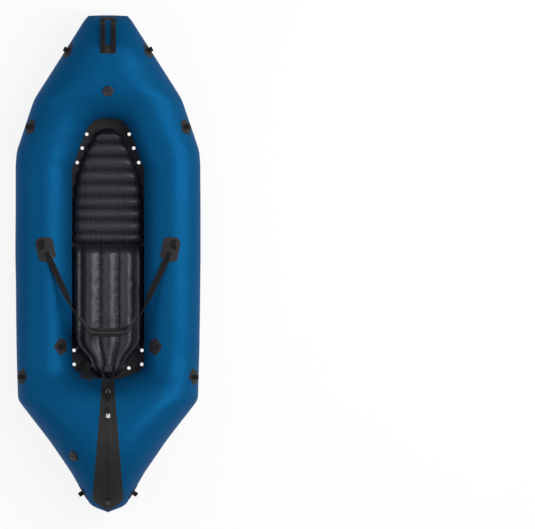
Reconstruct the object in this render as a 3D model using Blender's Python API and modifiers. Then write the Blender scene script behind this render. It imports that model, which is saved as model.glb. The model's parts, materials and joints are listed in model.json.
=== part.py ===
"""Packraft: an inflatable whitewater raft with a self-bailing floor, pads, back band and cargo zip.

Metres, +Z up, +Y towards the bow, +X to starboard. The origin is on the ground under the middle.
"""

import math
from bisect import bisect_right
from collections import namedtuple

import bmesh
import bpy
from mathutils import Matrix, Vector
from mathutils.bvhtree import BVHTree

# Overall sizes
LENGTH = 2.52
COCKPIT_WIDTH = 0.366
TUBE_DIAMETER = 0.287
BOW_HEIGHT = 0.359
STERN_HEIGHT = 0.405

# Clearances and overruns
CLEARANCE = 0.0003
OVERRUN = 0.02

# Fabric
WEAR_SKIN_THICKNESS = 0.0012
PATCH_THICKNESS = 0.0016
REST_FLAT_WIDTH = 0.03
FLOOR_THICKNESS = 0.0025
FLOOR_HEIGHT = 0.048

HALF_LENGTH = LENGTH / 2
TUBE_RADIUS = TUBE_DIAMETER / 2
COCKPIT_HALF = COCKPIT_WIDTH / 2
HALF_WIDTH = COCKPIT_HALF + TUBE_DIAMETER
TUBE_AXIS_X = COCKPIT_HALF + TUBE_RADIUS
HULL_LIFT = CLEARANCE + WEAR_SKIN_THICKNESS

# Seams that part the hull into chambers, as shares of half the length
NOSE_SEAM_SHARE = 0.661
BOW_SEAM_SHARE = 0.4524
STERN_SEAM_SHARE = -0.548

# Outline seen from above: place along, as a share of half the length, then the width's share
OUTER_SHARES = (
    (-1.0, 0.006), (-0.9775, 0.182), (-0.92, 0.275), (-0.84, 0.398), (-0.714, 0.628), (-0.548, 0.972),
    (-0.33, 0.989), (0.03, 1.0), (0.4, 0.998), (0.4524, 0.986), (0.661, 0.799), (0.986, 0.246), (1.0, 0.205),
)
COCKPIT_SHARES = (
    (-0.47, 0.0), (-0.466, 0.2), (-0.4206, 0.972), (-0.336, 1.0), (0.377, 1.0), (0.421, 0.893),
    (0.482, 0.745), (0.547, 0.56), (0.573, 0.39), (0.583, 0.2), (0.586, 0.0),
)
# Rise of the tube crest from the tube's top (0) to the bow height or the stern deck (1)
BOW_CREST_SHARES = (
    (0.4, 0.0), (0.4524, 0.03), (0.5556, 0.13), (0.627, 0.3), (0.6825, 0.64), (0.73, 0.84), (0.786, 0.97),
    (0.825, 1.0), (0.865, 0.97), (0.916, 0.67), (0.957, 0.36), (0.983, -0.03), (0.994, -0.33), (1.0, -0.6),
)
STERN_CREST_SHARES = (
    (-0.635, 1.0), (-0.572, 0.8), (-0.508, 0.52), (-0.443, 0.163), (-0.381, 0.019), (-0.333, 0.0),
)
# Height of the stern deck's tip, as a share of the tube's radius
STERN_TIP_SHARE = 1.4015
# How far the deck's middle has risen from the cockpit wall to the crest
BOW_DECK_SHARES = (
    (0.586, 0.0), (0.5915, 0.33), (0.611, 0.67), (0.635, 0.863), (0.659, 0.95), (0.73, 0.99), (0.79, 1.0),
)
STERN_DECK_SHARES = (
    (-0.5913, 0.972), (-0.558, 0.935), (-0.5357, 0.87), (-0.508, 0.72), (-0.4913, 0.58), (-0.4762, 0.34),
    (-0.47, 0.0),
)
# How far the underside's middle has sunk from the cockpit wall to the keel
BOW_KEEL_FILL_SHARES = ((0.586, 0.0), (0.5915, 0.35), (0.611, 0.68), (0.635, 0.88), (0.667, 1.0))
STERN_KEEL_FILL_SHARES = (
    (-0.635, 1.0), (-0.556, 0.9), (-0.516, 0.76), (-0.492, 0.58), (-0.4762, 0.33), (-0.47, 0.0),
)
# Heights of the keel and of the widest line, as shares of the tube's radius
KEEL_HEIGHT_SHARES = (
    (-1.0, 1.24), (-0.99, 1.06), (-0.966, 0.794), (-0.929, 0.557), (-0.897, 0.446), (-0.832, 0.202),
    (-0.767, 0.056), (-0.702, 0.0), (0.464, 0.0), (0.529, 0.056), (0.595, 0.1), (0.722, 0.11),
    (0.789, 0.15), (0.854, 0.237), (0.918, 0.488), (0.951, 0.676), (0.967, 0.836), (0.983, 1.04),
    (0.994, 1.2), (1.0, 1.32),
)
WIDEST_HEIGHT_SHARES = (
    (-1.0, 1.32), (-0.873, 1.29), (-0.714, 1.185), (-0.595, 1.045), (-0.476, 1.0),
    (0.4524, 1.0), (0.675, 1.08), (0.833, 1.29), (0.952, 1.46), (1.0, 1.51),
)
# Places across of the crest and the keel, as shares of the tube axis
CREST_ACROSS_SHARES = (
    (-1.0, 0.003), (-0.952, 0.05), (-0.833, 0.08), (-0.698, 0.11), (-0.635, 0.3), (-0.572, 0.52),
    (-0.508, 0.61), (-0.443, 0.766), (-0.357, 0.95), (-0.278, 1.0), (0.357, 1.0), (0.4524, 0.965),
    (0.5556, 0.8), (0.627, 0.63), (0.6825, 0.46), (0.73, 0.28), (0.794, 0.11), (0.952, 0.08), (1.0, 0.06),
)
KEEL_ACROSS_SHARES = (
    (-1.0, 0.005), (-0.952, 0.09), (-0.833, 0.18), (-0.714, 0.37), (-0.635, 0.55), (-0.548, 0.8),
    (-0.476, 0.92), (-0.357, 1.0), (0.357, 1.0), (0.4524, 0.965), (0.5556, 0.83), (0.635, 0.64),
    (0.714, 0.46), (0.833, 0.28), (0.952, 0.15), (1.0, 0.09),
)
# Places along the hull where its cross-section is drawn
STATION_SHARES = (
    -1.0, -0.9893, -0.9775, -0.955, -0.92, -0.88, -0.84, -0.8, -0.757, -0.714, -0.675, -0.635, -0.595, -0.558,
    -0.5357, -0.508, -0.4913, -0.4762, -0.47, -0.466, -0.445, -0.4206, -0.38, -0.32, -0.18, 0.0, 0.18, 0.34,
    0.4, 0.4524, 0.5, 0.547, 0.573, 0.583, 0.586, 0.5915, 0.611, 0.635, 0.661, 0.6825, 0.73, 0.786, 0.825,
    0.865, 0.916, 0.951, 0.972, 0.986, 0.994, 1.0,
)
WALL_FADE_SHARE = 0.97
ARC_STEPS = 5
INNER_STEPS = 4
KEEL_FLAT_SHARE = 0.4
FINE_STEPS = 12
ROUND_STEPS = 20
CRISP_ANGLE = 40.0

# Cockpit floor
DRAIN_HOLE_DIAMETER = 0.021
FLOOR_EDGE_OVERLAP = 0.06
FLOOR_EDGE_TRIM = 0.0006
DRAIN_HOLE_SHARES = (
    (0.294, 0.5215), (0.357, 0.4655), (0.4265, 0.4075), (0.471, -0.349), (0.469, -0.4055), (0.29, -0.4205),
)

# Wear skins under the tubes: outline seen from below, as shares of half the width and half the length
WEAR_NOSE_SHARES = ((0.21, 0.812), (0.62, 0.651), (0.79, 0.456))
WEAR_TAIL_SHARES = ((0.825, -0.527), (0.138, -0.66))
WEAR_SIDE_SHARE = 0.82
WEAR_INNER_MARGIN = 0.03
WEAR_CUT_SHARE = 0.5
WEAR_CUT_MIDDLE_SHARE = 0.4

# Pads
PAD_SIDE_GAP = 0.0015
LEG_PAD_THICKNESS = 0.055
LEG_PAD_VALLEY = 0.017
LEG_PAD_SHARES = (
    (0.08, 0.985), (0.1, 1.0), (0.22, 1.0), (0.27, 0.875), (0.333, 0.8), (0.389, 0.705), (0.442, 0.52),
    (0.503, 0.345), (0.53, 0.24), (0.5445, 0.1),
)
LEG_PAD_SEAM_SHARES = (0.0775, 0.125, 0.178, 0.226, 0.275, 0.328, 0.382, 0.438, 0.494, 0.5445)
SEAT_PAD_THICKNESS = 0.078
SEAT_PAD_VALLEY = 0.02
SEAT_PAD_SHARES = (
    (-0.459, 0.16), (-0.448, 0.3), (-0.421, 0.45), (-0.381, 0.6), (-0.317, 0.98), (-0.3, 1.0), (0.0, 1.0),
    (0.066, 0.99),
)
SEAT_PAD_ENDS_SHARES = (-0.459, 0.0655)
SEAT_SEAM_SHARES = (-1.0, -0.765, -0.225, 0.3, 0.775, 1.0)
PAD_SEGMENTS = 4
CHANNEL_SHARE = 0.6
LEG_CROWN_POWER = 6
LEG_SHOULDER_SHARE = 0.9
LEG_SIDE_SHARE = 0.35
LEG_LIP_SHARE = 0.3
LEG_END_SHARE = 0.05
LEG_BASE_SHARE = 0.97
SEAT_CROWN_POWER = 8
SEAT_SIDE_SHARE = 0.4
SEAT_LIP_SHARE = 0.45
SEAT_TAIL_SHARE = 0.0833
SEAT_FRONT_SHARE = 0.0714
SEAT_BASE_SHARE = 0.9
SEAT_ROWS = 14
LEG_COLUMNS = 8

# Zip over the stern deck
ZIP_PATCH_FRONT_WIDTH = 0.06
ZIP_PATCH_BACK_WIDTH = 0.158
ZIP_PATCH_SHARES = (-0.4762, -0.962, -0.994)
ZIP_CHAIN_WIDTH = 0.016
ZIP_CHAIN_THICKNESS = 0.0022
ZIP_CHAIN_SHARES = (-0.56, -0.962)
SLIDER_SHARE = -0.6135
SLIDER_WIDTH = 0.021
SLIDER_LENGTH = 0.027
SLIDER_PLATE = 0.0025
SLIDER_GAP = 0.0006
SLIDER_WALL = 0.002
SLIDER_LUG_HEIGHT = 0.008
SLIDER_LUG_WIDTH = 0.005
SLIDER_BORE = 0.0045
PULLER_LENGTH = 0.05
PULLER_WIDTH = 0.009
PULLER_THICKNESS = 0.003
LUG_SHARE = 0.1667
PIN_SHARE = 0.9
PULLER_PIN_DIAMETER = 0.003
ZIP_STOP_LENGTH = 0.022
ZIP_STOP_WIDTH = 0.024
ZIP_STOP_HEIGHT = 0.006

# Valves
VALVE_FLANGE_DIAMETER = 0.056
VALVE_FLANGE_THICKNESS = 0.003
VALVE_BARREL_DIAMETER = 0.04
VALVE_BORE_DIAMETER = 0.03
VALVE_DEPTH = 0.024
VALVE_NECK_HEIGHT = 0.009
VALVE_WALL = 0.0025
VALVE_CAP_DIAMETER = 0.05
VALVE_CAP_HEIGHT = 0.008
VALVE_GRIP_LENGTH = 0.034
VALVE_GRIP_WIDTH = 0.006
VALVE_GRIP_HEIGHT = 0.004
PLUNGER_STEM_DIAMETER = 0.006
PLUNGER_STEM_CLEARANCE = 0.0008
PLUNGER_DISC_DIAMETER = 0.025
PLUNGER_DISC_THICKNESS = 0.002
PLUNGER_TRAVEL = 0.0045
SPRING_HEIGHT = 0.008
SPRING_RADIUS = 0.006
SPRING_WIRE = 0.0008
SPRING_TURNS = 2.5
SPRING_POINTS = 8
BOW_VALVE_SHARE = 0.695
STERN_VALVE_SHARES = (-0.775, -0.37)
SEAT_VALVE_SHARE = -0.4235
SEAT_VALVE_DIAMETER = 0.036
SEAT_VALVE_HEIGHT = 0.006
SEAT_CAP_DIAMETER = 0.026
SEAT_CAP_HEIGHT = 0.008
SEAT_CAP_RIM_SHARE = 0.8
SEAT_CAP_TOP_SHARE = 0.85

# Grab handle on the bow
HANDLE_PATCH_WIDTH = 0.08
HANDLE_WINDOW_WIDTH = 0.029
HANDLE_PATCH_SHARES = (0.846, 0.986)
HANDLE_WINDOW_SHARES = (0.882, 0.972)
HANDLE_ARCH_SHARES = (0.866, 0.962)
HANDLE_RISE = 0.036
HANDLE_STRAP_WIDTH = 0.024
HANDLE_STRAP_THICKNESS = 0.003
HANDLE_STEPS = 10
HANDLE_CUT_SHARE = 0.95
HANDLE_BOW_SHARE = 0.65
HANDLE_BULGE_SHARE = 0.06

# Patches with webbing loops for a perimeter line
PATCH_RADIUS = 0.046
LOOP_WIDTH = 0.022
LOOP_SPAN = 0.03
LOOP_RISE = 0.022
LOOP_THICKNESS = 0.0022
LOOP_STEPS = 8
ARCH_SHARE = 0.8
FOOT_DEPTH_SHARE = 3
Fitting = namedtuple("Fitting", "name along across angle apex_ahead")
FITTINGS = (
    Fitting("bow_loop", 0.858, 0.0, 28.0, False),
    Fitting("shoulder_loop", 0.551, 0.83, 33.5, False),
    Fitting("quarter_loop", -0.456, 1.0, 37.0, True),
    Fitting("stern_loop", -0.922, 0.0, 24.0, True),
    Fitting("seat_loop", -0.334, 1.0, 129.0, False),
)

# Strap plates, ladder locks and side straps
PLATE_SHARE = 0.0575
PLATE_ANGLE = 95.0
PLATE_WIDTH = 0.11
PLATE_LENGTH = 0.128
PLATE_SHARES = (
    (-0.5, 0.28), (-0.34, 0.47), (0.02, 0.5), (0.29, 0.44), (0.47, -0.29), (0.0, -0.48), (-0.32, -0.48),
)
PLATE_LOOP_SHARES = (-0.19, 0.19)
LOCK_SHARES = (0.13, -0.36)
LOCK_TURN = 25.6
LOCK_WIDTH = 0.038
LOCK_LENGTH = 0.03
LOCK_THICKNESS = 0.005
LOCK_BAR = 0.0045
LOCK_LIFT = 0.0008
TETHER_WIDTH = 0.024
STRAP_WIDTH = 0.032
STRAP_THICKNESS = 0.0018
STRAP_LIFT = 0.012
STRAP_TURN_SHARES = (0.0, 0.0, 0.06, 0.2, 0.65, 1.0)

# Back band
BAND_THICKNESS = 0.02
BAND_HEIGHT = 0.115
BAND_CENTRE_Z = 0.305
BAND_POINTS_SHARES = (
    (-0.77, -0.2215), (-0.68, -0.2385), (-0.6, -0.2515), (-0.5, -0.2635), (-0.25, -0.2735), (0.0, -0.2765),
)
BAND_HEIGHT_SHARES = ((0.0, 1.0), (0.5, 1.0), (0.6, 0.78), (0.68, 0.5), (0.77, 0.36))
BAND_DEPTH_SHARES = ((0.0, 1.0), (0.5, 1.0), (0.6, 0.7), (0.77, 0.5))
BAND_CORNER_SHARE = 0.3
BAND_LEAN_SHARES = ((0.0, 0.21), (0.5, 0.21), (0.68, 0.0))
BAND_BINDING_WIDTH = 0.025
BAND_PIN_DIAMETER = 0.006
BAND_PIN_LENGTH = 0.022
BAND_PIN_CLEARANCE = 0.0004
RING_THICKNESS = 0.003
RING_HEIGHT = 0.04
RING_DEPTH = 0.014
RING_STEPS = 16
REAR_STRAP_ACROSS = 0.078
REAR_RING_BAR = 0.003
REAR_RING_ANGLE = 42.0
REAR_LOOP_ANGLE = 50.0
REAR_LOOP_SHARE = -0.536
REAR_ANCHOR_WIDTH = 0.026
REAR_LOOP_WIDTH = 0.014
REAR_ANCHOR_SHARES = (-0.555, -0.523)
REAR_STRAP_WIDTH = 0.02
REAR_STRAP_THICKNESS = 0.002
REAR_RING_DIAMETER = 0.024

# Seat anchor on the stern wall
ANCHOR_PATCH_WIDTH = 0.076
ANCHOR_PATCH_HEIGHT = 0.05
ANCHOR_ACROSS_SHARE = -0.6
ANCHOR_HEIGHT = 0.205
ANCHOR_CORNER_SHARE = 0.2
ANCHOR_STRAP_WIDTH = 0.025
ANCHOR_STRAP_THICKNESS = 0.0018

# The stern deck is a round arc, its top at one share of half the length and its tip at the stern's end
ZIP_ARC_SHARE = -0.721
ZIP_ARC_FRONT_SHARE = -0.5913
ZIP_ARC_Y = ZIP_ARC_SHARE * HALF_LENGTH
STERN_TIP_HEIGHT = STERN_TIP_SHARE * TUBE_RADIUS
ZIP_ARC_RUN = (ZIP_ARC_SHARE + 1) * HALF_LENGTH
ZIP_ARC_FALL = STERN_HEIGHT - STERN_TIP_HEIGHT
ZIP_ARC_LIFT = (STERN_HEIGHT ** 2 - STERN_TIP_HEIGHT ** 2 - ZIP_ARC_RUN ** 2) / (2 * ZIP_ARC_FALL)
ZIP_ARC_RADIUS = STERN_HEIGHT - ZIP_ARC_LIFT
ZIP_ARC_Z = HULL_LIFT + ZIP_ARC_LIFT


def linear(table, place):
    """Value at a place in a table of (place, value), straight between its points."""
    places = [row[0] for row in table]
    if place <= places[0]:
        return table[0][1]
    if place >= places[-1]:
        return table[-1][1]
    after = bisect_right(places, place)
    (low, start), (high, end) = table[after - 1], table[after]
    return start + (end - start) * (place - low) / (high - low)


def smooth(table, place):
    """Value at a place in a table of (place, value), on a curve that never overshoots its points."""
    places = [row[0] for row in table]
    if place <= places[0]:
        return table[0][1]
    if place >= places[-1]:
        return table[-1][1]
    after = bisect_right(places, place)

    def slope(index):
        """Slope of one stretch of the table."""
        return (table[index + 1][1] - table[index][1]) / (table[index + 1][0] - table[index][0])

    def tangent(index):
        """Slope at one point of the table."""
        if index in (0, len(table) - 1):
            return slope(min(index, len(table) - 2))
        before, behind = slope(index - 1), slope(index)
        if before * behind <= 0:
            return 0.0
        return 2 * before * behind / (before + behind)

    (low, start), (high, end) = table[after - 1], table[after]
    span = high - low
    t = (place - low) / span
    ease = t * t * (3 - 2 * t)
    lead = t * (1 - t) * (1 - t) * span * tangent(after - 1)
    trail = t * t * (t - 1) * span * tangent(after)
    return start + (end - start) * ease + lead + trail


Section = namedtuple("Section", "outer inner crest_x crest_z deck_z keel_x keel_z middle_z widest_z fill")


def stern_arc_height(y):
    """Height of the round stern deck above the hull's underside."""
    return ZIP_ARC_LIFT + math.sqrt(ZIP_ARC_RADIUS ** 2 - (y - ZIP_ARC_Y) ** 2)


def section_at(share):
    """The cross-section's driving places at a share of half the length."""
    y = share * HALF_LENGTH
    outer = linear(OUTER_SHARES, share) * HALF_WIDTH
    inner = linear(COCKPIT_SHARES, share) * COCKPIT_HALF
    widest_z = smooth(WIDEST_HEIGHT_SHARES, share) * TUBE_RADIUS
    keel_z = smooth(KEEL_HEIGHT_SHARES, share) * TUBE_RADIUS
    if share < STERN_CREST_SHARES[0][0]:
        crest_z = stern_arc_height(y)
    elif share < 0:
        join_z = stern_arc_height(STERN_CREST_SHARES[0][0] * HALF_LENGTH)
        crest_z = TUBE_DIAMETER + smooth(STERN_CREST_SHARES, share) * (join_z - TUBE_DIAMETER)
    else:
        crest_z = TUBE_DIAMETER + smooth(BOW_CREST_SHARES, share) * (BOW_HEIGHT - TUBE_DIAMETER)
    deck_table = STERN_DECK_SHARES if share < 0 else BOW_DECK_SHARES
    keel_table = STERN_KEEL_FILL_SHARES if share < 0 else BOW_KEEL_FILL_SHARES
    open_here = COCKPIT_SHARES[0][0] < share < COCKPIT_SHARES[-1][0]
    fill = 0.0 if open_here else smooth(deck_table, share)
    deck_z = TUBE_RADIUS + fill * (crest_z - TUBE_RADIUS)
    if share < ZIP_ARC_FRONT_SHARE:
        fill = 1.0
        deck_z = stern_arc_height(y)
    sunk = 0.0 if open_here else smooth(keel_table, share)
    return Section(
        outer=outer,
        inner=inner,
        crest_x=smooth(CREST_ACROSS_SHARES, share) * TUBE_AXIS_X,
        crest_z=crest_z,
        deck_z=deck_z,
        keel_x=smooth(KEEL_ACROSS_SHARES, share) * TUBE_AXIS_X,
        keel_z=keel_z,
        middle_z=TUBE_RADIUS + sunk * (keel_z - TUBE_RADIUS),
        widest_z=widest_z,
        fill=fill,
    )


def section_ring(share):
    """Points (x, z) of the starboard half's cross-section, from its inner end over the top and round."""
    s = section_at(share)
    wall = max(0.0, 1.0 - s.fill / WALL_FADE_SHARE)
    flat = min(REST_FLAT_WIDTH / 2, s.keel_x * KEEL_FLAT_SHARE)
    points = []
    for step in range(INNER_STEPS):
        t = step / INNER_STEPS
        angle = t * math.pi / 2
        round_x = s.crest_x - (s.crest_x - s.inner) * math.cos(angle)
        round_z = s.deck_z + (s.crest_z - s.deck_z) * math.sin(angle)
        plain_x = s.crest_x * t
        plain_z = s.deck_z + (s.crest_z - s.deck_z) * math.sin(angle) ** 2
        points.append((round_x * wall + plain_x * (1 - wall), round_z * wall + plain_z * (1 - wall)))
    for step in range(ARC_STEPS + 1):
        angle = step / ARC_STEPS * math.pi / 2
        points.append((
            s.crest_x + (s.outer - s.crest_x) * math.sin(angle),
            s.widest_z + (s.crest_z - s.widest_z) * math.cos(angle),
        ))
    for step in range(1, ARC_STEPS + 1):
        angle = step / ARC_STEPS * math.pi / 2
        points.append((
            s.keel_x + flat + (s.outer - s.keel_x - flat) * math.cos(angle),
            s.widest_z - (s.widest_z - s.keel_z) * math.sin(angle),
        ))
    start = s.keel_x - flat
    for step in range(INNER_STEPS + 1):
        t = step / INNER_STEPS
        angle = t * math.pi / 2
        round_x = start - (start - s.inner) * math.sin(angle)
        round_z = s.middle_z - (s.middle_z - s.keel_z) * math.cos(angle)
        plain_x = start * (1 - t)
        plain_z = s.keel_z + (s.middle_z - s.keel_z) * math.sin(angle) ** 2
        points.append((round_x * wall + plain_x * (1 - wall), round_z * wall + plain_z * (1 - wall)))
    return points


PARTS = "packraft"
CUTTERS = "cutters"
PORT, STARBOARD = -1, 1
SIDES = {"port": PORT, "starboard": STARBOARD}
UP = Vector((0, 0, 1))
AHEAD = Vector((0, 1, 0))
ABEAM = Vector((1, 0, 0))

# Finishes: colour, roughness, metallic
BLUE_FABRIC = ("blue_coated_fabric", (0.004, 0.082, 0.19), 0.45, 0.0)
WEAR_FABRIC = ("black_wear_fabric", (0.027, 0.027, 0.029), 0.6, 0.0)
PAD_FABRIC = ("pad_fabric", (0.05, 0.046, 0.054), 0.4, 0.0)
PATCH_FABRIC = ("patch_fabric", (0.018, 0.018, 0.02), 0.7, 0.0)
WEBBING = ("black_webbing", (0.012, 0.012, 0.013), 0.8, 0.0)
HARD_PLASTIC = ("black_plastic", (0.015, 0.014, 0.016), 0.35, 0.0)
MESH_PAD = ("spacer_mesh", (0.016, 0.016, 0.018), 0.85, 0.0)
ZIP_METAL = ("zip_metal", (0.75, 0.75, 0.76), 0.3, 1.0)
STEEL = ("spring_steel", (0.55, 0.55, 0.56), 0.35, 1.0)


def clear_scene():
    """Remove the objects that the file opened with."""
    for obj in list(bpy.data.objects):
        bpy.data.objects.remove(obj, do_unlink=True)


def collection(name):
    """The collection of a name, made on first use."""
    found = bpy.data.collections.get(name)
    if found is None:
        found = bpy.data.collections.new(name)
        bpy.context.scene.collection.children.link(found)
    return found


def finish_material(name, finish):
    """A part's own material in one of the finishes."""
    label, colour, roughness, metallic = finish
    made = bpy.data.materials.new(f"{name}_{label}")
    made.use_nodes = True
    shader = made.node_tree.nodes["Principled BSDF"]
    shader.inputs["Base Color"].default_value = (*colour, 1.0)
    shader.inputs["Roughness"].default_value = roughness
    shader.inputs["Metallic"].default_value = metallic
    return made


def scratch(mesh, name="cutter"):
    """An object for a cutting shape, kept out of the part."""
    obj = bpy.data.objects.new(name, mesh)
    obj.hide_render = True
    obj.display_type = "WIRE"
    collection(CUTTERS).objects.link(obj)
    return obj


def baked(obj):
    """The object's mesh with its modifiers applied."""
    bpy.context.view_layer.update()
    depsgraph = bpy.context.evaluated_depsgraph_get()
    return bpy.data.meshes.new_from_object(obj.evaluated_get(depsgraph))


def combined(mesh, *steps):
    """A mesh after Boolean steps, each an operation and the mesh it uses."""
    target = scratch(mesh, "blank")
    tools = []
    for operation, other in steps:
        tool = scratch(other)
        tools.append(tool)
        cut = target.modifiers.new(operation.lower(), "BOOLEAN")
        cut.operation = operation
        cut.solver = "EXACT"
        cut.object = tool
    result = baked(target)
    for used in (target, *tools):
        bpy.data.objects.remove(used, do_unlink=True)
    return result


def add_part(name, mesh, finish, parent=None):
    """Put a finished mesh in the part's collection under its own name."""
    mesh.name = name
    mesh.materials.clear()
    mesh.materials.append(finish_material(name, finish))
    mesh.shade_smooth()
    mesh.set_sharp_from_angle(angle=math.radians(CRISP_ANGLE))
    obj = bpy.data.objects.new(name, mesh)
    collection(PARTS).objects.link(obj)
    if parent is not None:
        obj.parent = parent
        mesh.transform(parent.matrix_world.inverted())
    return obj


def pivot(name, matrix):
    """An empty on a joint's axis, which the moving pieces hang from."""
    empty = bpy.data.objects.new(name, None)
    empty.empty_display_size = TUBE_RADIUS / 4
    empty.matrix_world = matrix
    collection(PARTS).objects.link(empty)
    bpy.context.view_layer.update()
    return empty


def moved(mesh, matrix):
    """The mesh after a move into place."""
    mesh.transform(matrix)
    if matrix.is_negative:
        mesh.flip_normals()
    return mesh


def basis(origin, x_axis, y_axis, z_axis):
    """Matrix that takes local axes to the given directions at the origin."""
    rotation = Matrix((x_axis, y_axis, z_axis)).transposed().to_4x4()
    return Matrix.Translation(origin) @ rotation


def outline_solid(outlines, half_depth):
    """A flat outline, with any holes in it, thickened to both sides of its plane."""
    data = bpy.data.curves.new("outline", "CURVE")
    data.dimensions = "2D"
    data.fill_mode = "BOTH"
    data.extrude = half_depth
    for points in outlines:
        spline = data.splines.new("POLY")
        spline.points.add(len(points) - 1)
        for point, (x, y) in zip(spline.points, points):
            point.co = (x, y, 0.0, 1.0)
        spline.use_cyclic_u = True
    drawn = scratch(data)
    mesh = baked(drawn)
    bpy.data.objects.remove(drawn, do_unlink=True)
    return welded(mesh)


def welded(mesh):
    """The mesh with its loose caps joined on and its faces turned out."""
    bm = bmesh.new()
    bm.from_mesh(mesh)
    bmesh.ops.remove_doubles(bm, verts=bm.verts, dist=CLEARANCE / 10)
    bmesh.ops.recalc_face_normals(bm, faces=bm.faces)
    bm.to_mesh(mesh)
    bm.free()
    return mesh


def turned_solid(profile, steps=ROUND_STEPS):
    """A turned shape from a closed profile of (radius, height) points, about Z."""
    mesh = bpy.data.meshes.new("profile")
    count = len(profile)
    on_axis = [index for index in range(count) if profile[index][0] == 0]
    edges = [
        (index, (index + 1) % count)
        for index in range(count)
        if not (index in on_axis and (index + 1) % count in on_axis)
    ]
    mesh.from_pydata([(radius, 0.0, height) for radius, height in profile], edges, [])
    drawn = scratch(mesh)
    screw = drawn.modifiers.new("screw", "SCREW")
    screw.steps = steps
    screw.render_steps = steps
    screw.use_merge_vertices = True
    screw.merge_threshold = CLEARANCE / 10
    result = baked(drawn)
    bpy.data.objects.remove(drawn, do_unlink=True)
    return welded(result)


def drill_rod(radius):
    """A rod along Z that cuts a round hole."""
    return turned_solid([(0, -OVERRUN), (radius, -OVERRUN), (radius, OVERRUN), (0, OVERRUN)], FINE_STEPS)


def block(first, second):
    """A box between two opposite corners."""
    bm = bmesh.new()
    bmesh.ops.create_cube(bm, size=1.0)
    size = [abs(b - a) for a, b in zip(first, second)]
    centre = (Vector(first) + Vector(second)) / 2
    bm.transform(Matrix.Translation(centre) @ Matrix.Diagonal((*size, 1.0)))
    mesh = bpy.data.meshes.new("block")
    bm.to_mesh(mesh)
    bm.free()
    return mesh


def lofted(rings, closed_ends=True):
    """A body through rings of points that have the same count, with flat ends."""
    bm = bmesh.new()
    rows = [[bm.verts.new(point) for point in ring] for ring in rings]
    for first, second in zip(rows, rows[1:]):
        count = len(first)
        for index in range(count):
            behind = (index + 1) % count
            bm.faces.new((first[index], first[behind], second[behind], second[index]))
    if closed_ends:
        bm.faces.new(tuple(reversed(rows[0])))
        bm.faces.new(rows[-1])
    bmesh.ops.recalc_face_normals(bm, faces=bm.faces)
    bmesh.ops.triangulate(bm, faces=bm.faces)
    mesh = bpy.data.meshes.new("loft")
    bm.to_mesh(mesh)
    bm.free()
    return mesh


class Hull:
    """The inflated hull's outer surface, with copies set off from it for what is glued on."""

    def __init__(self):
        self.base = self.surface()
        self.offsets = {}
        bm = bmesh.new()
        bm.from_mesh(self.base)
        self.tree = BVHTree.FromBMesh(bm)
        bm.free()

    def surface(self):
        """The whole hull as one closed mesh, its two halves meeting at the middle."""
        bm = bmesh.new()
        rings = []
        for share in STATION_SHARES:
            ring = [(x, share * HALF_LENGTH, z + HULL_LIFT) for x, z in section_ring(share)]
            rings.append([bm.verts.new(point) for point in ring])
        for first, second in zip(rings, rings[1:]):
            for index in range(len(first) - 1):
                bm.faces.new((first[index], first[index + 1], second[index + 1], second[index]))
        bmesh.ops.triangulate(bm, faces=bm.faces)
        mirror = bmesh.ops.duplicate(bm, geom=list(bm.verts) + list(bm.faces))
        copies = mirror["vert_map"]
        for vert in {copies[v] for ring in rings for v in ring}:
            vert.co.x = -vert.co.x
        for ring in (rings[0], rings[-1]):
            bm.faces.new(ring + [copies[v] for v in reversed(ring)])
        bmesh.ops.remove_doubles(bm, verts=bm.verts, dist=CLEARANCE / 10)
        bmesh.ops.dissolve_degenerate(bm, edges=bm.edges, dist=CLEARANCE / 10)
        bmesh.ops.recalc_face_normals(bm, faces=bm.faces)
        bmesh.ops.triangulate(bm, faces=bm.faces)
        mesh = bpy.data.meshes.new("hull")
        bm.to_mesh(mesh)
        bm.free()
        return mesh

    def set_off(self, distance):
        """A copy of the surface, moved out by a distance."""
        if distance not in self.offsets:
            bm = bmesh.new()
            bm.from_mesh(self.base)
            bm.normal_update()
            places = [v.co + v.normal * distance * v.calc_shell_factor() for v in bm.verts]
            for vert, place in zip(bm.verts, places):
                vert.co = place
            mesh = bpy.data.meshes.new("hull_offset")
            bm.to_mesh(mesh)
            bm.free()
            self.offsets[distance] = mesh
        return self.offsets[distance].copy()

    def chamber(self, low, high):
        """The hull's body between two corners."""
        return combined(self.base.copy(), ("INTERSECT", block(low, high)))

    def glued(self, prism, thickness, below=0.0):
        """A sheet of the prism's outline that lies on the hull, or on what is glued below it."""
        start = below + CLEARANCE
        return combined(
            prism,
            ("INTERSECT", self.set_off(start + thickness)),
            ("DIFFERENCE", self.set_off(start)),
        )

    def frame(self, origin, direction, along, level=0.0):
        """Axes where a ray from inside meets the hull: Z out of the fabric and Y near along."""
        spread = REST_FLAT_WIDTH / 2
        direction = direction.normalized()
        side = along.cross(direction).normalized()
        ahead = direction.cross(side)

        def hit(a, b):
            """Where a ray set aside by a and b meets the hull."""
            return self.tree.ray_cast(origin + side * a + ahead * b, direction)[0]

        out = (hit(spread, 0) - hit(-spread, 0)).cross(hit(0, spread) - hit(0, -spread)).normalized()
        y_axis = (along - out * along.dot(out)).normalized()
        place = hit(0, 0) + out * level
        return basis(place, y_axis.cross(out), y_axis, out)


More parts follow.
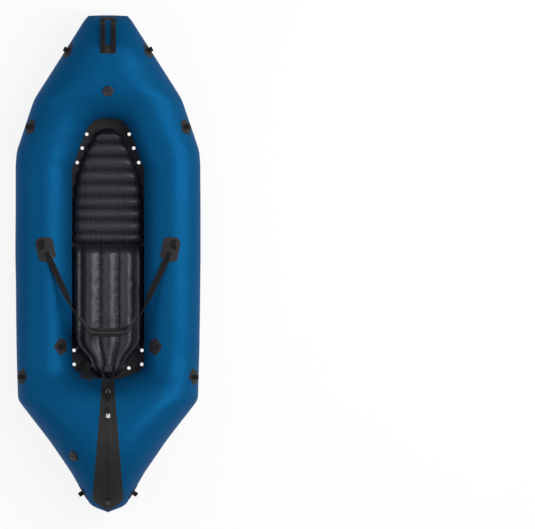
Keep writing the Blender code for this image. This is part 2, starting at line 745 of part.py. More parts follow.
def make_hull(hull):
    """Cut the hull at its seams into the chambers' bodies."""
    seams = [HALF_LENGTH * share for share in (STERN_SEAM_SHARE, BOW_SEAM_SHARE, NOSE_SEAM_SHARE)]
    far = LENGTH
    half = CLEARANCE / 2
    stern, bow, nose = seams
    add_part("stern_tube", hull.chamber((-far, -far, -far), (far, stern - half, far)), BLUE_FABRIC)
    add_part("bow_nose_tube", hull.chamber((-far, nose + half, -far), (far, far, far)), BLUE_FABRIC)
    for name, side in SIDES.items():
        low_x, high_x = sorted((side * half, side * far))
        for part, start, end in (("side", stern, bow), ("bow", bow, nose)):
            body = hull.chamber((low_x, start + half, -far), (high_x, end - half, far))
            add_part(f"{name}_{part}_tube", body, BLUE_FABRIC)


def hull_edge(share, margin, height):
    """Half width of the space between the tubes at a height, with a margin taken in."""
    s = section_at(share)
    drop = min(max(TUBE_RADIUS + HULL_LIFT - height, 0.0), TUBE_RADIUS)
    reach = s.keel_x - s.inner
    fall = math.sqrt(max(1 - (drop / TUBE_RADIUS) ** 2, 0.0))
    return s.inner + reach * (1 - fall) - margin


def make_floor(hull):
    """The laced-in floor sheet, cut to the tubes, with its drain holes."""
    front, back = COCKPIT_SHARES[-1][0], COCKPIT_SHARES[0][0]
    starboard = [
        (hull_edge(share, -FLOOR_EDGE_OVERLAP, FLOOR_HEIGHT), share * HALF_LENGTH)
        for share in (back, *(row[0] for row in COCKPIT_SHARES[2:-2]), front)
    ]
    starboard[0] = (starboard[0][0], starboard[0][1] - FLOOR_EDGE_OVERLAP)
    starboard[-1] = (starboard[-1][0], starboard[-1][1] + FLOOR_EDGE_OVERLAP)
    outline = starboard + [(-x, y) for x, y in reversed(starboard)]
    sheet = moved(outline_solid([outline], FLOOR_THICKNESS / 2), Matrix.Translation(UP * FLOOR_HEIGHT))
    steps = [("DIFFERENCE", hull.set_off(FLOOR_EDGE_TRIM))]
    for across, along in DRAIN_HOLE_SHARES:
        for side in SIDES.values():
            place = Vector((side * across * COCKPIT_WIDTH, along * HALF_LENGTH, FLOOR_HEIGHT))
            drill = moved(drill_rod(DRAIN_HOLE_DIAMETER / 2), Matrix.Translation(place))
            steps.append(("DIFFERENCE", drill))
    add_part("floor_panel", combined(sheet, *steps), WEAR_FABRIC)


def make_wear_skins(hull):
    """Four black skins on the tubes' undersides, which the raft rests on."""
    def at(row):
        """Place on the ground of a pair of shares."""
        return row[0] * HALF_WIDTH, row[1] * HALF_LENGTH

    nose = [at(row) for row in WEAR_NOSE_SHARES]
    tail = [at(row) for row in WEAR_TAIL_SHARES]
    side_x = WEAR_SIDE_SHARE * HALF_WIDTH
    bow_y = BOW_SEAM_SHARE * HALF_LENGTH
    outer = [*nose, (side_x, bow_y), tail[0], tail[1]]
    outline = outer + [(-x, y) for x, y in reversed(outer)]
    inner = [
        (hull_edge(share, -WEAR_INNER_MARGIN - FLOOR_THICKNESS, FLOOR_HEIGHT), share * HALF_LENGTH)
        for share in (row[0] for row in COCKPIT_SHARES[2:-2])
    ]
    beyond = WEAR_INNER_MARGIN + FLOOR_EDGE_OVERLAP / 2
    front = (inner[-1][0] / 2, COCKPIT_SHARES[-1][0] * HALF_LENGTH + beyond)
    back = (inner[0][0] / 2, COCKPIT_SHARES[0][0] * HALF_LENGTH - beyond)
    inner = [back, *inner, front]
    hole = inner + [(-x, y) for x, y in reversed(inner)]
    half = CLEARANCE / 2
    cockpit_front = inner[-2][1] - OVERRUN
    cockpit_back = inner[1][1] + OVERRUN
    cuts = {
        "bow_wear_skin": ((-LENGTH, cockpit_front + half), (LENGTH, LENGTH)),
        "stern_wear_skin": ((-LENGTH, -LENGTH), (LENGTH, cockpit_back - half)),
        "port_wear_skin": ((-LENGTH, cockpit_back + half), (-half, cockpit_front - half)),
        "starboard_wear_skin": ((half, cockpit_back + half), (LENGTH, cockpit_front - half)),
    }
    for name, (low, high) in cuts.items():
        prism = outline_solid([outline, hole], TUBE_RADIUS * WEAR_CUT_SHARE)
        moved(prism, Matrix.Translation(UP * TUBE_RADIUS * WEAR_CUT_MIDDLE_SHARE))
        piece = combined(prism, ("INTERSECT", block((*low, -LENGTH), (*high, LENGTH))))
        add_part(name, hull.glued(piece, WEAR_SKIN_THICKNESS), WEAR_FABRIC)


def cushion(rows, half_widths, height_at):
    """A closed pad from rows along it and shares across it, flat below and crowned above."""
    base = FLOOR_HEIGHT + FLOOR_THICKNESS / 2 + CLEARANCE
    rings = []
    for y, half in zip(rows, half_widths):
        columns = height_at["across"]
        top = [(half * share, y, base + height_at["height"](share, y)) for share in columns]
        low_half = half * height_at["base_share"]
        bottom = [(low_half * share, y, base) for share in (columns[-1], 0.0, columns[0])]
        rings.append(top + bottom)
    return lofted(rings)


def bulge(t):
    """Height share of one sewn channel at a share of its width."""
    return math.sin(math.pi * t) ** CHANNEL_SHARE if 0 < t < 1 else 0.0


def raised(lowest, t):
    """Share that grows from the lowest one to the whole as t goes from 0 to 1."""
    return lowest + (1 - lowest) * t


def make_leg_pad():
    """The foot end's pad, with channels across it."""
    rows = []
    for start, end in zip(LEG_PAD_SEAM_SHARES, LEG_PAD_SEAM_SHARES[1:]):
        rows += [start + (end - start) * step / PAD_SEGMENTS for step in range(PAD_SEGMENTS)]
    rows.append(LEG_PAD_SEAM_SHARES[-1])
    first, last = rows[0], rows[-1]

    def height(across, y):
        """Height of the leg pad above the floor."""
        share = y / HALF_LENGTH
        for start, end in zip(LEG_PAD_SEAM_SHARES, LEG_PAD_SEAM_SHARES[1:]):
            if start <= share <= end:
                channel = bulge((share - start) / (end - start))
        crown = math.sqrt(max(1 - abs(across) ** LEG_CROWN_POWER, 0.0))
        inward = min(share - first, last - share) / (last - first)
        ends = min(1.0, inward / LEG_END_SHARE)
        ridge = LEG_PAD_THICKNESS - LEG_PAD_VALLEY * (1 - channel)
        return ridge * raised(LEG_SIDE_SHARE, crown) * raised(LEG_LIP_SHARE, ends)

    columns = [-1 + 2 * step / LEG_COLUMNS for step in range(LEG_COLUMNS + 1)]
    columns[1], columns[-2] = -LEG_SHOULDER_SHARE, LEG_SHOULDER_SHARE
    half_widths = [smooth(LEG_PAD_SHARES, row) * (COCKPIT_HALF - PAD_SIDE_GAP) for row in rows]
    shape = {"across": columns, "height": height, "base_share": LEG_BASE_SHARE}
    add_part("leg_pad", cushion([row * HALF_LENGTH for row in rows], half_widths, shape), PAD_FABRIC)


def seat_height(across, y):
    """Height of the seat pad above the floor."""
    share = y / HALF_LENGTH
    first, last = SEAT_PAD_ENDS_SHARES
    for start, end in zip(SEAT_SEAM_SHARES, SEAT_SEAM_SHARES[1:]):
        if start <= across <= end:
            channel = bulge((across - start) / (end - start))
    edge = math.sqrt(max(1 - abs(across) ** SEAT_CROWN_POWER, 0.0))
    behind = (share - first) / (last - first) / SEAT_TAIL_SHARE
    before = (last - share) / (last - first) / SEAT_FRONT_SHARE
    ends = min(1.0, max(behind, 0.0), max(before, 0.0))
    ridge = SEAT_PAD_THICKNESS - SEAT_PAD_VALLEY * (1 - channel)
    return ridge * raised(SEAT_SIDE_SHARE, edge) * raised(SEAT_LIP_SHARE, math.sin(ends * math.pi / 2))


def make_seat_pad():
    """The seat's pad, with channels along it."""
    first, last = SEAT_PAD_ENDS_SHARES
    eased = [0.5 - 0.5 * math.cos(math.pi * step / SEAT_ROWS) for step in range(SEAT_ROWS + 1)]
    rows = [first + (last - first) * step for step in eased]
    columns = []
    for start, end in zip(SEAT_SEAM_SHARES, SEAT_SEAM_SHARES[1:]):
        columns += [start + (end - start) * step / PAD_SEGMENTS for step in range(PAD_SEGMENTS)]
    columns.append(SEAT_SEAM_SHARES[-1])
    half_widths = [smooth(SEAT_PAD_SHARES, row) * (COCKPIT_HALF - PAD_SIDE_GAP) for row in rows]
    shape = {"across": columns, "height": seat_height, "base_share": SEAT_BASE_SHARE}
    pad = cushion([row * HALF_LENGTH for row in rows], half_widths, shape)
    frame = seat_valve_frame()
    radius = SEAT_VALVE_DIAMETER / 2 + CLEARANCE
    recess = turned_solid([(0, -CLEARANCE), (radius, -CLEARANCE), (radius, OVERRUN), (0, OVERRUN)])
    add_part("seat_pad", combined(pad, ("DIFFERENCE", moved(recess, frame))), PAD_FABRIC)


def seat_valve_frame():
    """Axes of the valve at the seat's narrow end."""
    y = SEAT_VALVE_SHARE * HALF_LENGTH
    base = FLOOR_HEIGHT + FLOOR_THICKNESS / 2 + CLEARANCE
    z = base + seat_height((SEAT_SEAM_SHARES[2] + SEAT_SEAM_SHARES[3]) / 2, y)
    return Matrix.Translation((0, y, z - SEAT_VALVE_HEIGHT / 2))


def make_seat_valve():
    """The seat pad's twist valve: its base and its cap."""
    frame = seat_valve_frame()
    radius, cap = SEAT_VALVE_DIAMETER / 2, SEAT_CAP_DIAMETER / 2
    stem = cap / 2
    top = SEAT_VALVE_HEIGHT
    body = turned_solid([(0, 0), (radius, 0), (radius, top / 2), (stem + VALVE_WALL, top), (0, top)])
    add_part("seat_valve_body", moved(body, frame), HARD_PLASTIC)
    holder = pivot("seat_valve_turn", frame)
    start = top + CLEARANCE
    crown = start + SEAT_CAP_HEIGHT
    knob = turned_solid([
        (0, start), (cap, start), (cap, start + SEAT_CAP_HEIGHT * SEAT_CAP_RIM_SHARE),
        (cap * SEAT_CAP_TOP_SHARE, crown), (0, crown),
    ])
    add_part("seat_valve_cap", moved(knob, frame), HARD_PLASTIC, holder)


def valve_pocket():
    """The hollow that a hull valve needs in the fabric."""
    barrel = VALVE_BARREL_DIAMETER / 2 + CLEARANCE
    flange = VALVE_FLANGE_DIAMETER / 2 + CLEARANCE
    deep = VALVE_DEPTH + PLUNGER_TRAVEL + CLEARANCE
    return turned_solid([
        (0, -deep), (barrel, -deep), (barrel, 0), (flange, 0), (flange, OVERRUN), (0, OVERRUN),
    ])


def coil_spring(foot):
    """A valve's coil spring standing on the given height."""
    wire = SPRING_WIRE / 2
    count = int(SPRING_TURNS * SPRING_POINTS)
    rise = SPRING_HEIGHT - SPRING_WIRE
    data = bpy.data.curves.new("coil", "CURVE")
    data.dimensions = "3D"
    data.bevel_depth = wire
    data.bevel_resolution = 1
    data.use_fill_caps = True
    spline = data.splines.new("POLY")
    spline.points.add(count)
    for index, point in enumerate(spline.points):
        turn = math.tau * index / SPRING_POINTS
        height = foot + wire + rise * index / count
        point.co = (SPRING_RADIUS * math.cos(turn), SPRING_RADIUS * math.sin(turn), height, 1.0)
    drawn = scratch(data)
    mesh = baked(drawn)
    bpy.data.objects.remove(drawn, do_unlink=True)
    return welded(mesh)


def make_valve(name, frame):
    """A hull valve at the given axes: body, sprung plunger and bayonet cap."""
    flange, barrel, bore = VALVE_FLANGE_DIAMETER / 2, VALVE_BARREL_DIAMETER / 2, VALVE_BORE_DIAMETER / 2
    neck = bore + VALVE_WALL
    guide = PLUNGER_STEM_DIAMETER / 2 + PLUNGER_STEM_CLEARANCE
    floor = VALVE_WALL - VALVE_DEPTH
    body = turned_solid([
        (guide, -VALVE_DEPTH), (barrel, -VALVE_DEPTH), (barrel, CLEARANCE), (flange, CLEARANCE),
        (flange, VALVE_FLANGE_THICKNESS), (neck, VALVE_FLANGE_THICKNESS), (neck, VALVE_NECK_HEIGHT),
        (bore, VALVE_NECK_HEIGHT), (bore, floor), (guide, floor),
    ])
    add_part(f"{name}_valve_body", moved(body, frame), HARD_PLASTIC)
    stem, disc = PLUNGER_STEM_DIAMETER / 2, PLUNGER_DISC_DIAMETER / 2
    low = floor + SPRING_HEIGHT + CLEARANCE * 2
    top = low + PLUNGER_DISC_THICKNESS
    knob = VALVE_NECK_HEIGHT - VALVE_WALL
    plunger = turned_solid([
        (0, -VALVE_DEPTH), (stem, -VALVE_DEPTH), (stem, low), (disc, low), (disc, top), (stem, top),
        (stem, knob), (0, knob),
    ])
    slide = pivot(f"{name}_plunger_slide", frame)
    add_part(f"{name}_valve_plunger", moved(plunger, frame), HARD_PLASTIC, slide)
    coil = coil_spring(floor + CLEARANCE)
    add_part(f"{name}_valve_spring", moved(coil, frame), STEEL)
    cap, inside = VALVE_CAP_DIAMETER / 2, neck + PLUNGER_STEM_CLEARANCE
    under = VALVE_NECK_HEIGHT + CLEARANCE
    crown = VALVE_FLANGE_THICKNESS + CLEARANCE + VALVE_CAP_HEIGHT
    skirt = VALVE_FLANGE_THICKNESS + CLEARANCE
    cap_body = turned_solid([
        (0, under), (inside, under), (inside, skirt), (cap, skirt), (cap, crown - VALVE_WALL / 2),
        (cap - VALVE_WALL / 2, crown), (0, crown),
    ])
    grip = block(
        (-VALVE_GRIP_LENGTH / 2, -VALVE_GRIP_WIDTH / 2, crown - VALVE_WALL / 2),
        (VALVE_GRIP_LENGTH / 2, VALVE_GRIP_WIDTH / 2, crown + VALVE_GRIP_HEIGHT))
    turn = pivot(f"{name}_cap_turn", frame)
    add_part(f"{name}_valve_cap", moved(combined(cap_body, ("UNION", grip)), frame), HARD_PLASTIC, turn)


def valve_frames(hull):
    """Axes of the bow and stern valves."""
    bow = hull.frame(Vector((0, BOW_VALVE_SHARE * HALF_LENGTH, TUBE_RADIUS)), UP, AHEAD)
    along, across = STERN_VALVE_SHARES
    stern = hull.frame(Vector((across * HALF_WIDTH, along * HALF_LENGTH, TUBE_RADIUS)), UP, AHEAD)
    return {"bow": bow, "stern": stern}


def pocket_hull(frames):
    """Cut the valves' hollows into the chambers that hold them."""
    for part, name in (("bow_nose_tube", "bow"), ("stern_tube", "stern")):
        obj = bpy.data.objects[part]
        old = obj.data
        materials = list(old.materials)
        obj.data = combined(old.copy(), ("DIFFERENCE", moved(valve_pocket(), frames[name])))
        obj.data.name = part
        obj.data.materials.clear()
        for made in materials:
            obj.data.materials.append(made)
        obj.data.shade_smooth()
        obj.data.set_sharp_from_angle(angle=math.radians(CRISP_ANGLE))
        bpy.data.meshes.remove(old)


def stern_deck_span():
    """Lowest and highest place of a cutting shape that meets the stern's deck and not its underside."""
    return WIDEST_HEIGHT_SHARES[0][1] * TUBE_RADIUS + HULL_LIFT, STERN_HEIGHT + OVERRUN


def make_zip(hull):
    """The stern's cargo zip: patch, chain, slider, puller and end stop."""
    front, back, tip = (share * HALF_LENGTH for share in ZIP_PATCH_SHARES)
    near, far = ZIP_PATCH_FRONT_WIDTH / 2, ZIP_PATCH_BACK_WIDTH / 2
    outline = [(near, front), (-near, front), (-far, back), (0, tip), (far, back)]
    low, high = stern_deck_span()
    prism = moved(outline_solid([outline], (high - low) / 2), Matrix.Translation(UP * (high + low) / 2))
    add_part("zip_patch", hull.glued(prism, PATCH_THICKNESS), PATCH_FABRIC)
    chain_front, chain_back = (share * HALF_LENGTH for share in ZIP_CHAIN_SHARES)
    wide = ZIP_CHAIN_WIDTH / 2
    prism = block((-wide, chain_back, low), (wide, chain_front, high))
    on_patch = CLEARANCE + PATCH_THICKNESS
    add_part("zip_chain", hull.glued(prism, ZIP_CHAIN_THICKNESS, on_patch), HARD_PLASTIC)
    centre = Vector((0, ZIP_ARC_Y, ZIP_ARC_Z))
    deck = ZIP_ARC_RADIUS + on_patch + CLEARANCE + ZIP_CHAIN_THICKNESS
    offset = SLIDER_SHARE * HALF_LENGTH - ZIP_ARC_Y
    out = Vector((0, offset, math.sqrt(deck ** 2 - offset ** 2))).normalized()
    frame = basis(centre + out * deck, ABEAM, out.cross(ABEAM), out)
    run = pivot("zip_slider_run", basis(centre, ABEAM, AHEAD, UP))
    long, side = SLIDER_LENGTH / 2, SLIDER_WIDTH / 2
    sag = deck - math.sqrt(deck ** 2 - long ** 2)
    under = SLIDER_GAP
    plate = block((-side, -long, under), (side, long, under + SLIDER_PLATE))
    skirt_low, skirt_high = CLEARANCE - ZIP_CHAIN_THICKNESS + sag, under + SLIDER_WALL
    skirts = [
        block((end * side, -long, skirt_low), (end * (side - SLIDER_WALL), long, skirt_high))
        for end in (PORT, STARBOARD)
    ]
    lug_y = long - SLIDER_LUG_WIDTH
    lug_low = under + SLIDER_PLATE / 2
    lug_high = under + SLIDER_PLATE + SLIDER_LUG_HEIGHT
    cheek = PULLER_WIDTH * LUG_SHARE
    lug = block((-cheek, lug_y - SLIDER_LUG_WIDTH, lug_low), (cheek, lug_y + SLIDER_LUG_WIDTH, lug_high))
    pin_z = under + SLIDER_PLATE + SLIDER_LUG_HEIGHT / 2
    turn = Matrix.Rotation(math.pi / 2, 4, "Y")
    drill = moved(drill_rod(SLIDER_BORE / 2), Matrix.Translation((0, lug_y, pin_z)) @ turn)
    steps = [("UNION", other) for other in (*skirts, lug)]
    slider = combined(plate, *steps, ("DIFFERENCE", drill))
    add_part("zip_slider", moved(slider, frame), ZIP_METAL, run)
    make_puller(frame, lug_y, pin_z)
    stop_wide, stop_long = ZIP_STOP_WIDTH / 2, ZIP_STOP_LENGTH / 2
    prism = block((-stop_wide, chain_back - stop_long, low), (stop_wide, chain_back + stop_long, high))
    above = on_patch + CLEARANCE + ZIP_CHAIN_THICKNESS
    add_part("zip_end_stop", hull.glued(prism, ZIP_STOP_HEIGHT, above), HARD_PLASTIC)


def make_puller(frame, lug_y, pin_z):
    """The slider's puller: a fork on a pin, and a long grip lying forward."""
    hinge = frame @ Matrix.Translation((0, lug_y, pin_z))
    holder = pivot("zip_puller_tilt", hinge)
    wide, thick, pin = PULLER_WIDTH / 2, PULLER_THICKNESS / 2, PULLER_PIN_DIAMETER / 2
    eye = SLIDER_LUG_WIDTH + pin * 2
    cheek = PULLER_WIDTH * LUG_SHARE + CLEARANCE * 2
    body = block((-wide, -thick, -thick), (wide, PULLER_LENGTH, thick))
    slot = block((-cheek, -OVERRUN, -OVERRUN), (cheek, eye, OVERRUN))
    turn = Matrix.Rotation(math.pi / 2, 4, "Y")
    reach = wide * PIN_SHARE
    rod = moved(turned_solid([(0, -reach), (pin, -reach), (pin, reach), (0, reach)], FINE_STEPS), turn)
    puller = combined(body, ("DIFFERENCE", slot), ("UNION", rod))
    add_part("zip_puller", moved(puller, hinge), WEBBING, holder)


def arch_outline(span, rise, thickness):
    """A webbing arch seen from its open side, with feet that reach below its patch."""
    foot = -PATCH_THICKNESS * FOOT_DEPTH_SHARE
    outer = [(-span / 2, foot)]
    inner = [(-span / 2 + thickness, foot)]
    for step in range(LOOP_STEPS + 1):
        angle = math.pi * (1 - step / LOOP_STEPS)
        lift = math.sin(angle) ** ARCH_SHARE
        outer.append((math.cos(angle) * span / 2, rise * lift))
        inner.append((math.cos(angle) * (span / 2 - thickness), (rise - thickness) * lift))
    outer.append((span / 2, foot))
    inner.append((span / 2 - thickness, foot))
    return outer + list(reversed(inner))


def loop_arch(hull, frame):
    """A webbing arch standing on a frame, open along its Y, its feet ending inside the patch."""
    stand = frame @ Matrix.Rotation(math.pi / 2, 4, "X")
    outline = arch_outline(LOOP_SPAN, LOOP_RISE, LOOP_THICKNESS)
    arch = moved(outline_solid([outline], LOOP_WIDTH / 2), stand)
    return combined(arch, ("DIFFERENCE", hull.set_off(CLEARANCE + PATCH_THICKNESS / 2)))


def make_fitting(hull, row, label, side):
    """A five-sided patch with a webbing loop for a line."""
    origin = Vector((side * row.across * TUBE_AXIS_X, row.along * HALF_LENGTH, TUBE_RADIUS + HULL_LIFT))
    angle = math.radians(row.angle)
    way = Vector((side * math.cos(angle), 0, math.sin(angle)))
    frame = hull.frame(origin, way, AHEAD, CLEARANCE + PATCH_THICKNESS)
    start = 90 if row.apex_ahead else -90
    corners = [math.radians(start + 72 * corner) for corner in range(5)]
    outline = [(PATCH_RADIUS * math.cos(a), PATCH_RADIUS * math.sin(a)) for a in corners]
    prism = moved(outline_solid([outline], PATCH_RADIUS / 2), frame)
    patch = hull.glued(prism, PATCH_THICKNESS)
    add_part(f"{label}_{row.name}", combined(patch, ("UNION", loop_arch(hull, frame))), PATCH_FABRIC)


def make_handle(hull):
    """The bow's grab handle: a glued base with a window, and an arch of two webbing legs."""
    back, front = (share * HALF_LENGTH for share in HANDLE_PATCH_SHARES)
    hole_back, hole_front = (share * HALF_LENGTH for share in HANDLE_WINDOW_SHARES)
    wide, hole = HANDLE_PATCH_WIDTH / 2, HANDLE_WINDOW_WIDTH / 2
    corner = wide / 4
    outline = [
        (-wide, front), (wide, front), (wide, back + corner), (wide - corner, back), (corner - wide, back),
        (-wide, back + corner),
    ]
    window = [(-hole, hole_back), (hole, hole_back), (hole, hole_front), (-hole, hole_front)]
    half = BOW_HEIGHT / 3
    lift = Matrix.Translation(UP * BOW_HEIGHT * HANDLE_CUT_SHARE)
    prism = moved(outline_solid([outline, window], half), lift)
    add_part("handle_patch", hull.glued(prism, PATCH_THICKNESS), PATCH_FABRIC)
    start, end = (share * HALF_LENGTH for share in HANDLE_ARCH_SHARES)
    seat = hull.set_off(CLEARANCE * 2 + PATCH_THICKNESS)
    feet = [hull.tree.ray_cast(Vector((0, y, BOW_HEIGHT * 2)), -UP)[0] for y in (start, end)]
    chord = feet[1] - feet[0]
    lift = ABEAM.cross(chord).normalized()
    path = []
    for step in range(HANDLE_STEPS + 1):
        t = step / HANDLE_STEPS
        eased = (1 - math.cos(math.pi * t)) / 2
        rise = math.sin(math.pi * eased) ** HANDLE_BOW_SHARE
        along = eased - HANDLE_BULGE_SHARE * math.sin(math.tau * eased)
        path.append(feet[0] + chord * along + lift * HANDLE_RISE * rise)
    legs = []
    middle = (HANDLE_PATCH_WIDTH - HANDLE_STRAP_WIDTH) / 2
    for side in SIDES.values():
        shifted = [point + ABEAM * side * middle for point in path]
        legs.append(ribbon(shifted, [ABEAM] * len(path), HANDLE_STRAP_WIDTH, HANDLE_STRAP_THICKNESS))
    across = HANDLE_PATCH_WIDTH / 2
    bars = []
    for place, toward in ((path[0], path[1]), (path[-1], path[-2])):
        along = (toward - place).normalized() * HANDLE_STRAP_THICKNESS * 2
        ends = [place + along - ABEAM * across, place + along + ABEAM * across]
        sides = [along.normalized()] * len(ends)
        bars.append(ribbon(ends, sides, HANDLE_STRAP_THICKNESS * 4, HANDLE_STRAP_THICKNESS))
    steps = [("UNION", other) for other in (legs[1], *bars)]
    add_part("grab_handle", combined(legs[0], *steps, ("DIFFERENCE", seat)), WEBBING)


def ribbon(path, sides, width, thickness):
    """A flat strap along a path, with the direction of its width at each point."""
    rings = []
    for index, (place, side) in enumerate(zip(path, sides)):
        before, after = path[max(index - 1, 0)], path[min(index + 1, len(path) - 1)]
        along = (after - before).normalized()
        across = (side - along * side.dot(along)).normalized()
        out = along.cross(across)
        half, deep = across * width / 2, out * thickness / 2
        rings.append([place - half - deep, place + half - deep, place + half + deep, place - half + deep])
    return lofted(rings)


def blended(start, end, t):
    """Unit vector between two directions."""
    return (start * (1 - t) + end * t).normalized()


def plate_frame(hull, side):
    """Axes of a strap plate on top of a side tube: X outboard, Y ahead, Z out."""
    origin = Vector((side * TUBE_AXIS_X, PLATE_SHARE * HALF_LENGTH, TUBE_RADIUS + HULL_LIFT))
    angle = math.radians(PLATE_ANGLE)
    way = Vector((side * math.cos(angle), 0, math.sin(angle)))
    return hull.frame(origin, way, AHEAD, CLEARANCE + PATCH_THICKNESS)


def make_side_rigging(hull, label, side):
    """Strap plate with its loops, ladder lock, side strap and the ring at the back band's wing."""
    frame = plate_frame(hull, side)
    outline = [(-side * x * PLATE_WIDTH, y * PLATE_LENGTH) for x, y in PLATE_SHARES]
    prism = moved(outline_solid([outline], PLATE_WIDTH / 4), frame)
    plate = hull.glued(prism, PATCH_THICKNESS)
    loop_at = Vector((-side * PLATE_LOOP_SHARES[0] * PLATE_WIDTH, PLATE_LOOP_SHARES[1] * PLATE_LENGTH, 0))
    across = Matrix.Rotation(math.pi / 2, 4, "Z")
    loop = loop_arch(hull, frame @ Matrix.Translation(loop_at) @ across)
    lock_at = Vector((-side * LOCK_SHARES[0] * PLATE_WIDTH, LOCK_SHARES[1] * PLATE_LENGTH, 0))
    lock_turn = Matrix.Rotation(math.radians(-side * LOCK_TURN), 4, "Z")
    lock = frame @ Matrix.Translation(lock_at) @ lock_turn
    bar, long, wide = LOCK_BAR, LOCK_LENGTH / 2, LOCK_WIDTH / 2
    tether_at = Matrix.Translation((0, long - bar / 2, 0))
    span = bar + 2 * (LOOP_THICKNESS + LOCK_LIFT)
    rise = LOCK_LIFT * 2 + LOCK_THICKNESS + LOOP_THICKNESS
    foot, inner = -PATCH_THICKNESS * FOOT_DEPTH_SHARE, span / 2 - LOOP_THICKNESS
    tether_outline = [
        (-span / 2, foot), (-span / 2, rise), (span / 2, rise), (span / 2, foot),
        (inner, foot), (inner, rise - LOOP_THICKNESS), (-inner, rise - LOOP_THICKNESS), (-inner, foot),
    ]
    stand = lock @ tether_at @ across @ Matrix.Rotation(math.pi / 2, 4, "X")
    tether = moved(outline_solid([tether_outline], TETHER_WIDTH / 2), stand)
    tether = combined(tether, ("DIFFERENCE", hull.set_off(CLEARANCE + PATCH_THICKNESS / 2)))
    add_part(f"{label}_strap_plate", combined(plate, ("UNION", loop), ("UNION", tether)), PATCH_FABRIC)
    window = wide - bar
    rim = [(-wide, -long), (wide, -long), (wide, long), (-wide, long)]
    mid = (2 * long - 3 * bar) / 2
    holes = []
    for low in (-long + bar, long - bar - mid):
        holes.append([(-window, low), (window, low), (window, low + mid), (-window, low + mid)])
    lift = Matrix.Translation((0, 0, LOCK_LIFT + LOCK_THICKNESS / 2))
    body = moved(outline_solid([rim, *holes], LOCK_THICKNESS / 2), lock @ lift)
    add_part(f"{label}_ladder_lock", body, HARD_PLASTIC)
    make_side_strap(label, side, lock)


def wing_point(side):
    """Middle of the back band's wing end, where its pin sits."""
    across, along = BAND_POINTS_SHARES[0]
    return Vector((-side * across * COCKPIT_HALF, along * HALF_LENGTH, BAND_CENTRE_Z))


def make_side_strap(label, side, lock):
    """The strap from a ladder lock down to the back band's wing, turning onto its edge."""
    on_lock = LOCK_LIFT + LOCK_THICKNESS + CLEARANCE + STRAP_THICKNESS / 2
    start = lock @ Vector((0, 0, on_lock))
    leave = lock @ Vector((0, -LOCK_LENGTH, on_lock))
    ring = ring_middle(side)
    toward = (leave - ring).normalized()
    end = ring + AHEAD * (RING_DEPTH / 2 + CLEARANCE) + toward * STRAP_THICKNESS / 2
    middle = leave.lerp(end, 0.5) + UP * STRAP_LIFT / 2
    upper = leave.lerp(middle, 0.5) + UP * STRAP_LIFT / 4
    path = [start, leave, upper, middle, middle.lerp(end, 0.5), end]
    flat = (lock.to_3x3() @ ABEAM).normalized()
    sides = [blended(flat, UP * side, share) for share in STRAP_TURN_SHARES]
    add_part(f"{label}_side_strap", ribbon(path, sides, STRAP_WIDTH, STRAP_THICKNESS), WEBBING)


def ring_middle(side):
    """Middle of the ring at a wing end, on the back band's tilt axis."""
    return wing_point(side) + ABEAM * side * (BAND_PIN_LENGTH - RING_THICKNESS)


def band_path():
    """Points of the back band's middle from the port wing to the starboard wing, with their shares across."""
    half = [(across, along) for across, along in BAND_POINTS_SHARES]
    full = half + [(-across, along) for across, along in reversed(half[:-1])]
    return [
        (across, Vector((across * COCKPIT_HALF, along * HALF_LENGTH, BAND_CENTRE_Z)))
        for across, along in full
    ]


def band_loft(path, set_back, height_of, depth_of):
    """A body along the back band's curve, with bevelled corners."""
    rings = []
    for index, (across, place) in enumerate(path):
        before, after = path[max(index - 1, 0)][1], path[min(index + 1, len(path) - 1)][1]
        back = (after - before).normalized().cross(UP)
        centre = place + back * set_back
        upright = UP + back * smooth(BAND_LEAN_SHARES, abs(across))
        high, deep = upright * height_of(across) / 2, back * depth_of(across) / 2
        cut = upright * depth_of(across) * BAND_CORNER_SHARE
        near = deep * (1 - BAND_CORNER_SHARE * 2)
        rings.append([
            centre - deep + high - cut,
            centre - near + high,
            centre + near + high,
            centre + deep + high - cut,
            centre + deep - high + cut,
            centre + near - high,
            centre - near - high,
            centre - deep - high + cut,
        ])
    return lofted(rings)


def make_back_band():
    """The padded back band with its binding, on its tilt axis through the two end rings."""
    path = band_path()
    tilt = pivot("back_band_tilt", Matrix.Translation(Vector((0, wing_point(PORT).y, BAND_CENTRE_Z))))
    pad = band_loft(
        path,
        0.0,
        lambda across: BAND_HEIGHT * smooth(BAND_HEIGHT_SHARES, abs(across)),
        lambda across: BAND_THICKNESS * smooth(BAND_DEPTH_SHARES, abs(across)),
    )
    radius = BAND_PIN_DIAMETER / 2
    turn = Matrix.Rotation(math.pi / 2, 4, "Y")
    pins = []
    for side in SIDES.values():
        start, end = sorted((side * -BAND_THICKNESS / 2, side * BAND_PIN_LENGTH))
        pin = turned_solid([(0, start), (radius, start), (radius, end), (0, end)], FINE_STEPS)
        pins.append(("UNION", moved(pin, Matrix.Translation(wing_point(side)) @ turn)))
    add_part("back_band_pad", combined(pad, *pins), MESH_PAD, tilt)
    wide = BAND_THICKNESS / 2 + CLEARANCE + STRAP_THICKNESS / 2
    binding = band_loft(path[3:-3], wide, lambda across: BAND_BINDING_WIDTH, lambda across: STRAP_THICKNESS)
    add_part("back_band_binding", binding, WEBBING, tilt)
    bore = radius + BAND_PIN_CLEARANCE
    angles = [math.tau * step / RING_STEPS for step in range(RING_STEPS)]
    rim = [(math.cos(a) * RING_DEPTH / 2, math.sin(a) * RING_HEIGHT / 2) for a in angles]
    hole = [(math.cos(a) * bore, math.sin(a) * bore) for a in angles]
    for label, side in SIDES.items():
        frame = basis(ring_middle(side), AHEAD, UP, ABEAM)
        ring = moved(outline_solid([rim, hole], RING_THICKNESS / 2), frame)
        add_part(f"{label}_band_ring", ring, HARD_PLASTIC)


